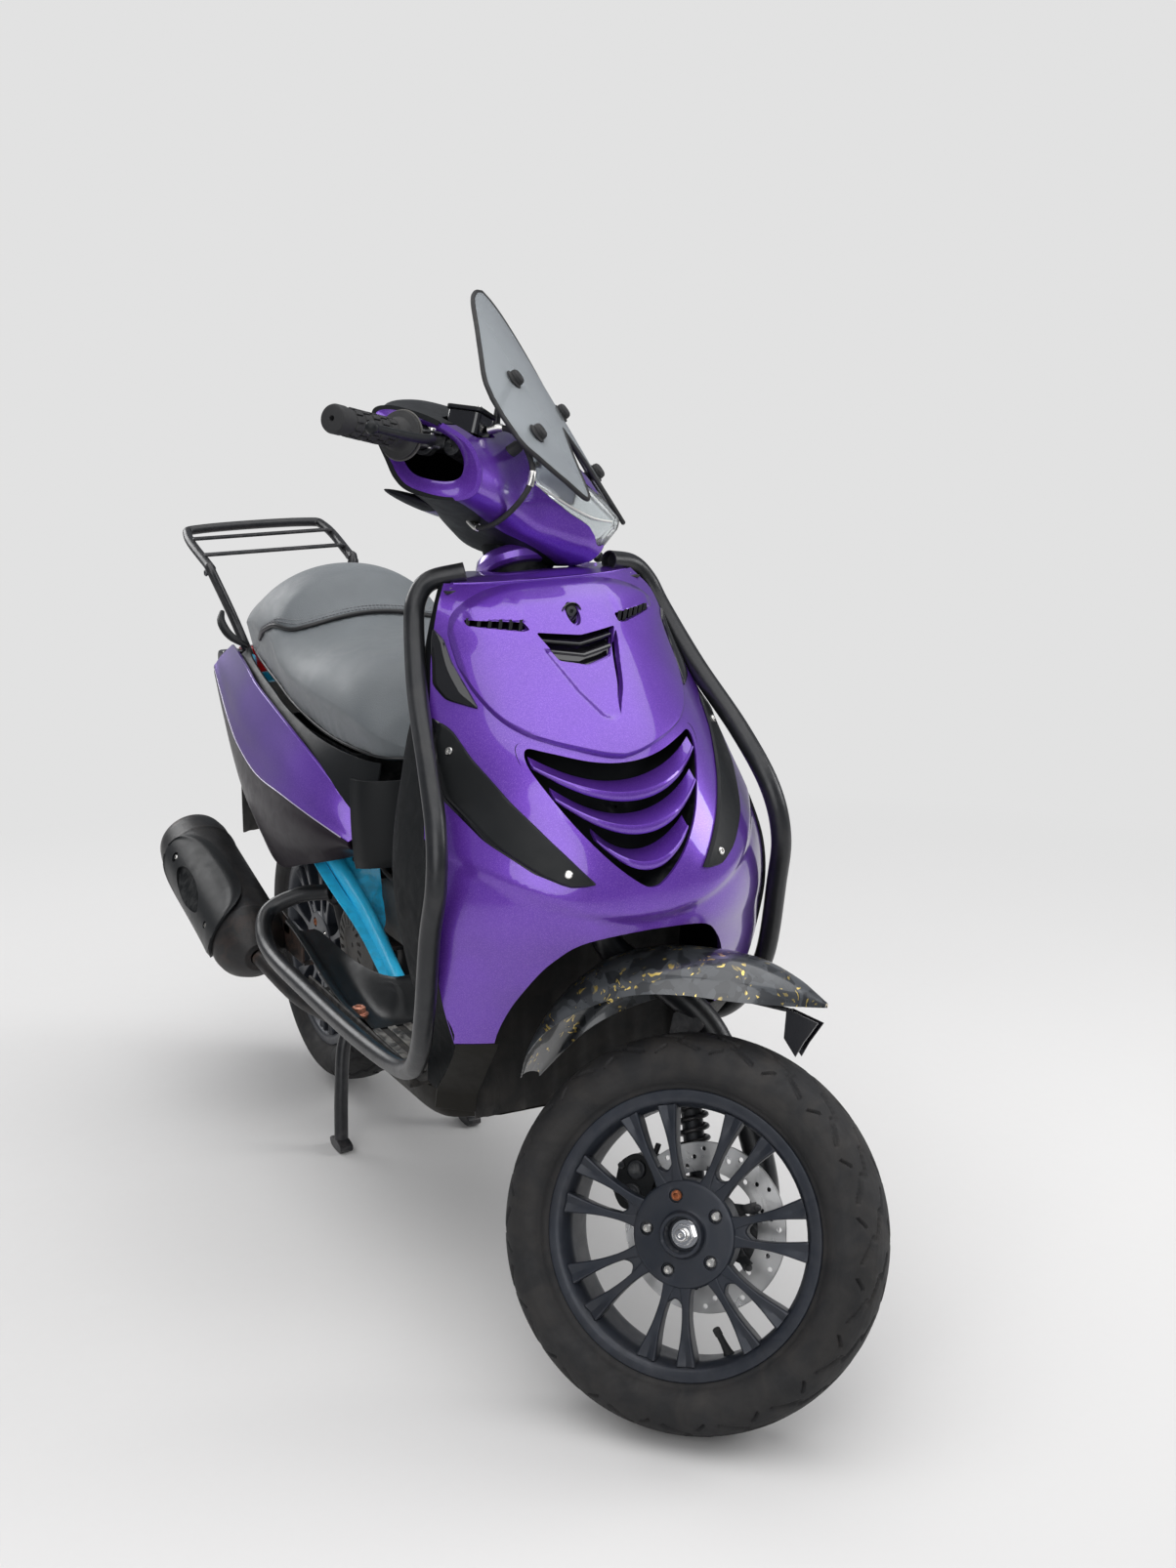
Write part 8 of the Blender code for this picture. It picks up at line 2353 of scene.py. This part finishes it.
def filter_box():
    outline = rounded([(0.992, 0.372), (1.110, 0.342), (1.149, 0.352), (1.149, 0.459), (1.100, 0.489),
                       (1.005, 0.489), (0.992, 0.470)], 0.010, 5)
    body = new_object("filter_body", prism(outline, "X", CASE_X + 0.001, CASE_X + 0.050))
    lid = prism(rounded([(0.995, 0.376), (1.108, 0.346), (1.146, 0.356), (1.146, 0.457), (1.099, 0.486),
                         (1.007, 0.486), (0.995, 0.468)], 0.010, 5), "X", CASE_X + 0.0515, CASE_X + 0.0695)
    belt_room = prism(belt_outline(-0.0006, 16), "X", 0.06, 0.16)
    cut(body, belt_room)
    place(body, "chassis", M["satin"], "air_filter_box", edge=0.0016)
    cover = cut(new_object("filter_lid", lid), belt_room)
    place(cover, "chassis", M["satin"], edge=0.0030)
    heads = [screw((CASE_X + 0.0695, y, z), (1, 0, 0), 0.0044, 0.0022)
             for y, z in ((1.006, 0.474), (1.092, 0.478), (1.136, 0.446), (1.136, 0.420))]
    place(new_object("filter_screws", *heads), "chassis", M["steel"])
    trunk = tube(smooth([(0.100, 1.000, 0.440), (0.080, 0.970, 0.452), (0.055, 0.930, 0.452),
                         (0.038, 0.900, 0.452)], 6),
                 [0.017 + 0.0012 * math.cos(math.pi * k) for k in range(19)], 20)
    place(new_object("intake_trunk", trunk), "chassis", M["rubber"])


def rear_spring():
    """The rear damper with its black spring between two cups."""
    low = Vector((0.101, 1.232, REAR_AXLE.z + 0.083))
    high = Vector((0.112, 1.212, 0.6690))
    way = high - low
    length = way.length
    body = turned([(0.0, 0.002), (0.0, 0.0115), (length * 0.12, 0.0115), (length * 0.13, 0.0235),
                   (length * 0.15, 0.0255), (length * 0.16, 0.0150), (length * 0.48, 0.0150),
                   (length * 0.49, 0.0060), (length * 0.80, 0.0060), (length * 0.81, 0.0250),
                   (length * 0.84, 0.0230), (length * 0.86, 0.0120), (length, 0.0120), (length, 0.002)],
                  low, way, 36)
    place(new_object("rear_damper", body), "chassis", M["dark_metal"], "rear_shock",
          edge=0.0008)
    wire = coil(low + way * 0.155, low + way * 0.805, 0.0222, 0.0040, 9.5, 12, 24)
    place(new_object("rear_spring", wire), "chassis", M["gloss"])
    bolt = turned([(-0.004, 0.001), (-0.004, 0.0085), (0.010, 0.0085), (0.0125, 0.006), (0.0125, 0.001)],
                  low + way * 0.04 + Vector((0.008, 0, 0)), (1, 0, 0), 6)
    place(new_object("rear_damper_bolt", bolt), "chassis", M["steel"], edge=0.0005)


def exhaust():
    """The pipe from the cylinder, the can with its seams and outlet, and the guard with its slot."""
    route = smooth([(-0.040, 0.772, 0.3730), (-0.040, 0.774, 0.340), (-0.060, 0.778, 0.290),
                    (-0.092, 0.800, 0.250), (-0.115, 0.850, 0.240), (-0.155, 0.935, 0.255),
                    (-0.190, 1.033, 0.3005)], 8)
    flange = prism(rounded_rectangle((-0.066, 0.757), (-0.014, 0.789), 0.012, 5), "Z", 0.3660, 0.3725)
    place(new_object("exhaust_downpipe", tube(route, 0.0136, 24), flange), "chassis", M["exhaust"],
          "exhaust_pipe",
          edge=0.0010)
    way = MUFFLER_END - MUFFLER_START
    length = way.length
    r = MUFFLER_RADIUS
    can = new_object("muffler_can", turned([
        (0.0, 0.014), (0.0, 0.024), (0.006, 0.032), (0.020, 0.048), (0.040, 0.0595), (0.050, r - 0.0006),
        (0.054, r),
        (0.058, r), (0.062, r - 0.0012), (length - 0.072, r - 0.0012), (length - 0.068, r),
        (length - 0.062, r),
        (length - 0.058, r - 0.0012), (length - 0.030, r - 0.0016), (length - 0.012, 0.0575),
        (length - 0.003, 0.051),
        (length, 0.046), (length, 0.030), (length - 0.006, 0.026), (length - 0.006, 0.014)],
        MUFFLER_START, way, 72))
    place(can, "chassis", M["exhaust"], "muffler", edge=0.0007)
    end = turned([(-0.012, 0.0080), (-0.012, 0.0120), (0.006, 0.0120), (0.007, 0.0110), (0.007, 0.0080)],
                 MUFFLER_END + Vector((0.010, 0, -0.014)), way, 32)
    place(new_object("muffler_outlet", end), "chassis", M["exhaust"], edge=0.0004)
    bracket = new_object("muffler_bracket", prism(rounded([
        (1.020, 0.330), (1.080, 0.330), (1.180, 0.330), (1.190, 0.352), (1.060, 0.362), (1.020, 0.356)],
        0.010, 4),
        "X", -0.142, -0.138), box((-0.142, 0.960, 0.300), (-0.138, 1.050, 0.345)),
        box((-0.142, 0.952, 0.300), (-0.056, 0.966, 0.304)))
    place(bracket, "chassis", M["exhaust"], edge=0.0008)
    side = Vector((-1, 0, 0))
    along = way.normalized()
    up = along.cross(side).normalized()
    up = -up if up.z < 0 else up
    outer = []
    inner = []
    for i in range(61):
        s = i / 60
        taper = (1 - abs(2 * s - 1) ** 4.0) ** 0.5
        sweep = math.radians(10 + 62 * taper * (0.86 + 0.14 * math.cos(math.pi * (s - 0.35))))
        centre = MUFFLER_START + along * (GUARD_START + GUARD_LENGTH * s)
        outer_row = []
        inner_row = []
        for j in range(41):
            a = sweep * (2 * j / 40 - 1) + GUARD_TILT
            out = side * math.cos(a) + up * math.sin(a)
            ridge = 0.0016 * math.exp(-((abs(2 * j / 40 - 1) - 0.80) / 0.08) ** 2)
            outer_row.append(centre + out * (r + 0.0048 + ridge))
            inner_row.append(centre + out * (r + 0.0010))
        outer.append(outer_row)
        inner.append(inner_row)
    guard = new_object("muffler_guard_shell", sheet(outer, inner))

    facing = side * math.cos(GUARD_TILT) + up * math.sin(GUARD_TILT)
    rise_way = up * math.cos(GUARD_TILT) - side * math.sin(GUARD_TILT)

    def on_guard(share, rise, distance):
        place_along = MUFFLER_START + along * (GUARD_START + GUARD_LENGTH * share)
        return place_along + rise_way * rise + facing * distance

    slot = smooth_loop([
        (0.30, -0.008), (0.38, -0.020), (0.52, -0.026), (0.66, -0.020), (0.75, 0.000), (0.67, 0.017),
        (0.51, 0.019),
        (0.36, 0.010)], 6)
    cut(guard, bridge([[on_guard(s, v, distance) for s, v in slot] for distance in (0.030, 0.090)]))
    for s, v, size in ((0.855, 0.008, 0.0085), (0.145, -0.008, 0.0060)):
        cut(guard, rod(on_guard(s, v, 0.030), on_guard(s, v, 0.090), size))
    place(guard, "chassis", M["satin"], "muffler_guard", edge=0.0010)
    # A dark sheet across the slot over the can: painted shade, so that the slot reads black.
    painted_shade = bridge([[on_guard(s, v, distance) for s, v in slot] for distance in (0.055, 0.0630)])
    place(new_object("guard_slot_inlay", painted_shade), "chassis", M["matt"])
    heads = [screw(on_guard(s, v, r + 0.0004), facing, 0.0046, 0.0028) for s,
             v in ((0.855, 0.008), (0.145, -0.008))]
    place(new_object("guard_screws", *heads), "chassis", M["steel"])


def rack_z(back):
    rise = RACK_REAR[1] - RACK_FRONT[1]
    return RACK_FRONT[1] + rise * (back - RACK_FRONT[0]) / (RACK_REAR[0] - RACK_FRONT[0])


def rack():
    """The luggage rack: a bent tube, two flat straps with two holes each, and struts to the frame."""
    half = RACK_HALF_WIDTH
    side_y = (RACK_FRONT[0], RACK_REAR[0] - 0.03)
    loop = smooth([
        (-half, side_y[0], rack_z(side_y[0])), (-half, side_y[1], rack_z(side_y[1])),
        (-half + 0.035, RACK_REAR[0], RACK_REAR[1]), (half - 0.035, RACK_REAR[0], RACK_REAR[1]),
        (half, side_y[1], rack_z(side_y[1])), (half, side_y[0], rack_z(side_y[0]))], 8)
    shapes = [tube(loop, 0.008, 20)]
    for hand in (-1, 1):
        shapes.append(tube(smooth([
            (hand * half, RACK_FRONT[0] + 0.016, rack_z(RACK_FRONT[0]) + 0.004),
            (hand * half, RACK_FRONT[0], rack_z(RACK_FRONT[0]) - 0.004), (hand * 0.098, 1.394, 0.790),
            (hand * 0.080, 1.366, 0.7220)], 6), 0.008, 20))
    place(new_object("rack_tubes", *shapes), "chassis", M["tube"], "rear_rack", edge=0.0006)
    for name, back in (("front", RACK_FRONT[0] + 0.045), ("rear", RACK_FRONT[0] + 0.115)):
        z = rack_z(back) + 0.008
        strap = new_object(f"rack_{name}_strap", prism(
            rounded_rectangle((-half, back - 0.015), (half, back + 0.015), 0.004), "Z", z - 0.004, z))
        for x in (-0.075, 0.075):
            cut(strap, rod((x, back, z - 0.01), (x, back, z + 0.01), 0.0042))
        place(strap, "chassis", M["tube"], edge=0.0006)
    heads = [screw((hand * (half + 0.0075), 1.410, 0.862), (hand, 0, 0), 0.0060, 0.0034) for hand in (-1, 1)]
    place(new_object("rack_bolts", *heads), "chassis", M["dark_metal"])


def tail():
    """The tail light between its dark cheeks, the mud flap and the blank plate."""
    outline = rounded([(TAIL_Y, 0.668), (1.430, 0.672), (1.452, 0.690), (1.446, 0.728), (TAIL_Y, 0.732)],
                      0.010, 5)
    lens = new_object("tail_lens", prism(outline, "X", -0.078, 0.078))
    place(lens, "chassis", M["red_lens"], "tail_light", edge=0.0050)
    small = [(TAIL_Y + (y - TAIL_Y) * 0.92, 0.700 + (z - 0.700) * 0.90) for y, z in outline]
    for side, hand in SIDES:
        low, high = sorted((hand * 0.0790, hand * 0.1155))
        place(new_object(f"{side}_rear_indicator", prism(small, "X", low, high)), "chassis", M["smoked_lens"],
              edge=0.0050)
    ribs = [box((x - 0.0012, 1.4300, 0.684), (x + 0.0012, 1.4500, 0.722)) for x in steps_between(-0.060,
                                                                                                 0.060, 10)]
    place(new_object("tail_lens_ribs", *ribs), "chassis", M["red_lens"], edge=0.0006)
    path = smooth([(0, 1.408, 0.674), (0, 1.440, 0.664), (0, 1.490, 0.602), (0, 1.520, 0.500),
                   (0, 1.535, 0.380)], 8)
    xs = steps_between(-FLAP_HALF_WIDTH, FLAP_HALF_WIDTH, 28)
    outer = []
    inner = []
    for p in path:
        bow = [0.010 * (1 - (abs(x) / FLAP_HALF_WIDTH) ** 2) + 0.002 * (0.052 < abs(x) < 0.062) for x in xs]
        outer.append([(x, p.y - 0.010 + b * 0.6, p.z - 0.003 + b * 0.3) for x, b in zip(xs, bow)])
        inner.append([(x, p.y - 0.0135 + b * 0.6, p.z - 0.0048 + b * 0.3) for x, b in zip(xs, bow)])
    flap = new_object("mud_flap", sheet(outer, inner))
    place(flap, "chassis", M["dusty"], "rear_fender", edge=0.0010)
    corners = rounded_rectangle((-0.065, 0.420), (0.065, 0.520), 0.006, 5)
    verts, faces = prism(corners, "Y", 0.0002, 0.0015)
    leaned = [(x, y + 1.531 - (z - 0.420) * 0.08, z) for x, y, z in verts]
    place(new_object("blank_plate", (leaned, faces)), "chassis", M["plate"], "number_plate",
          edge=0.0004)
    heads = [screw((x, 1.5325 - 0.008 * k, 0.430 + 0.080 * k), (0, 1, 0.08), 0.0040, 0.0020)
             for x in (-0.045, 0.045) for k in (0, 1)]
    place(new_object("plate_screws", *heads), "chassis", M["steel"])


def kick_start():
    x = CASE_X + 0.0803
    shape = [
        turned([(0.0, 0.003), (0.0, 0.0140), (0.003, 0.0150), (0.019, 0.0150), (0.022, 0.0125),
                (0.022, 0.003)],
               (x, 0.905, 0.285), sides=32),
        tube(smooth([(x + 0.013, 0.905, 0.285), (x + 0.015, 0.955, 0.262), (x + 0.016, 1.000, 0.238),
                     (x + 0.020, 1.060, 0.222)], 6), [0.0095 - 0.00012 * k for k in range(19)], 18),
    ]
    place(new_object("kick_start_arm", *shape), "chassis", M["steel"], "kick_lever",
          edge=0.0008)
    pedal = turned([(0.012, 0.001), (0.012, 0.0085), (0.016, 0.0100), (0.024, 0.0088), (0.030, 0.0100),
                    (0.036, 0.0088), (0.042, 0.0100), (0.048, 0.0088), (0.056, 0.0100), (0.0595, 0.0080),
                    (0.0595, 0.001)], (x, 1.060, 0.222), sides=32)
    place(new_object("kick_start_rubber", pedal), "chassis", M["rubber"], edge=0.0006)


def main_stand():
    """The centre stand: a sleeve on its pin, two splayed legs with curved feet, a tang and its spring."""
    sleeve = turned([(-0.0498, 0.0077), (-0.0498, 0.0140), (0.0498, 0.0140), (0.0498, 0.0077)],
                    (0, STAND_PIVOT_Y, STAND_PIVOT_Z), sides=36)
    shapes = [sleeve]
    for hand in (-1, 1):
        shapes.append(tube(smooth([
            (hand * 0.036, STAND_PIVOT_Y, STAND_PIVOT_Z - 0.0125),
            (hand * 0.056, STAND_PIVOT_Y - 0.002, STAND_PIVOT_Z - 0.035),
            (hand * 0.085, STAND_PIVOT_Y - 0.005, STAND_PIVOT_Z - 0.068), (hand * 0.100, 0.936, 0.090),
            (hand * 0.108, 0.925, 0.016)], 6), 0.0108, 20))
        foot = []
        for y, low, high in ((0.899, 0.0070, 0.0130), (0.905, 0.0020, 0.0160), (0.916, 0.0002, 0.0180),
                             (0.934, 0.0002, 0.0180), (0.945, 0.0020, 0.0165), (0.951, 0.0070, 0.0130)):
            foot.append([(hand * 0.108 - 0.0105, y, low), (hand * 0.108 + 0.0105, y, low),
                         (hand * 0.108 + 0.0105, y, high), (hand * 0.108 - 0.0105, y, high)])
        shapes.append(bridge(foot))
    shapes.append(tube(smooth([(0.092, 0.940, 0.150), (0.118, 0.952, 0.146), (0.138, 0.966, 0.152)], 5),
                       0.0062, 14))
    place(new_object("stand_legs", *shapes), "stand", M["tube"], "centre_stand", edge=0.0008)
    spring = coil((-0.074, 0.944, 0.178), (-0.074, 0.930, 0.246), 0.0060, 0.0013, 12, 8, 16)
    place(new_object("stand_spring", spring), "stand", M["steel"])


tube_frame()
engine()
fan_and_case()
filter_box()
rear_spring()
exhaust()
rack()
tail()
kick_start()
main_stand()


# Camera, lights and floor

CAMERA_PLACE = (-0.951, -2.532, 1.248)
CAMERA_YAW = math.radians(25.38)
CAMERA_PITCH = math.radians(-13.18)
CAMERA_ROLL = math.radians(-1.6)
CAMERA_LENS = 44.79
BACKDROP = (0.76, 0.76, 0.76)
WORLD_LIGHT = (0.34, 0.35, 0.37)
WORLD_GLOSS = (0.22, 0.23, 0.25)
FLOOR_FADE = (0.9, 2.6)


def make_camera():
    ahead = Vector((
        math.sin(CAMERA_YAW) * math.cos(CAMERA_PITCH), math.cos(CAMERA_YAW) * math.cos(CAMERA_PITCH),
        math.sin(CAMERA_PITCH),
    ))
    level = Vector((math.cos(CAMERA_YAW), -math.sin(CAMERA_YAW), 0))
    above = level.cross(ahead)
    right = level * math.cos(CAMERA_ROLL) + above * math.sin(CAMERA_ROLL)
    up = above * math.cos(CAMERA_ROLL) - level * math.sin(CAMERA_ROLL)
    camera = bpy.data.objects.new("camera", bpy.data.cameras.new("camera"))
    camera.data.lens = CAMERA_LENS
    camera.data.sensor_width = 36.0
    camera.matrix_world = Matrix.Translation(CAMERA_PLACE) @ Matrix((right, up, -ahead)).transposed().to_4x4()
    bpy.context.scene.collection.objects.link(camera)
    bpy.context.scene.camera = camera


def soft_lamp(name, place_at, target, size, energy):
    lamp = bpy.data.lights.new(name, "AREA")
    lamp.shape = "DISK"
    lamp.size = size
    lamp.energy = energy
    obj = bpy.data.objects.new(name, lamp)
    obj.location = place_at
    obj.rotation_euler = (Vector(target) - Vector(place_at)).to_track_quat("-Z", "Y").to_euler()
    bpy.context.scene.collection.objects.link(obj)


def make_studio():
    """A pale floor that keeps the scooter's shadow and melts into an even pale background."""
    world = bpy.data.worlds.new("studio")
    bpy.context.scene.world = world
    world.use_nodes = True
    tree = world.node_tree
    background = tree.nodes["Background"]
    path = node(tree, "ShaderNodeLightPath")
    seen = calculated(tree, "MAXIMUM", path.outputs["Is Camera Ray"], path.outputs["Is Transmission Ray"])
    unseen = mixed(tree, path.outputs["Is Glossy Ray"], WORLD_LIGHT, WORLD_GLOSS)
    tree.links.new(mixed(tree, seen, unseen, BACKDROP), background.inputs["Color"])
    ground = new_object("floor", ([(-40, -40, 0), (40, -40, 0), (40, 40, 0), (-40, 40, 0)], [(0, 1, 2, 3)]))
    ground.location.z = -0.0005
    surface = finish("pale_floor", (0.66, 0.65, 0.64), 0.85, mottle=0.02, mottle_scale=0.7)
    tree = surface.node_tree
    away = node(tree, "ShaderNodeVectorMath", {0: place_on(tree)}, operation="LENGTH").outputs["Value"]
    path = node(tree, "ShaderNodeLightPath")
    seen = calculated(tree, "MAXIMUM", path.outputs["Is Camera Ray"], path.outputs["Is Transmission Ray"])
    far = calculated(tree, "MULTIPLY", spread(tree, away, FLOOR_FADE[0], FLOOR_FADE[1]), seen)
    glow = node(tree, "ShaderNodeEmission", {"Color": (*BACKDROP, 1.0)}).outputs[0]
    blend = node(tree, "ShaderNodeMixShader", {
        0: far, 1: tree.nodes["Principled BSDF"].outputs[0], 2: glow}).outputs[0]
    tree.links.new(blend, tree.nodes["Material Output"].inputs["Surface"])
    ground.data.materials.append(surface)
    middle = (0, 0, 0.6)
    soft_lamp("sky", (0.2, -0.6, 4.2), middle, 6.4, 185)
    soft_lamp("front", (-2.6, -4.0, 2.6), middle, 4.0, 90)
    soft_lamp("side", (3.4, -1.6, 2.0), middle, 1.8, 45)
    soft_lamp("behind", (-1.2, 3.6, 2.4), middle, 2.0, 50)


make_camera()
make_studio()
bpy.context.scene.view_settings.view_transform = "Standard"
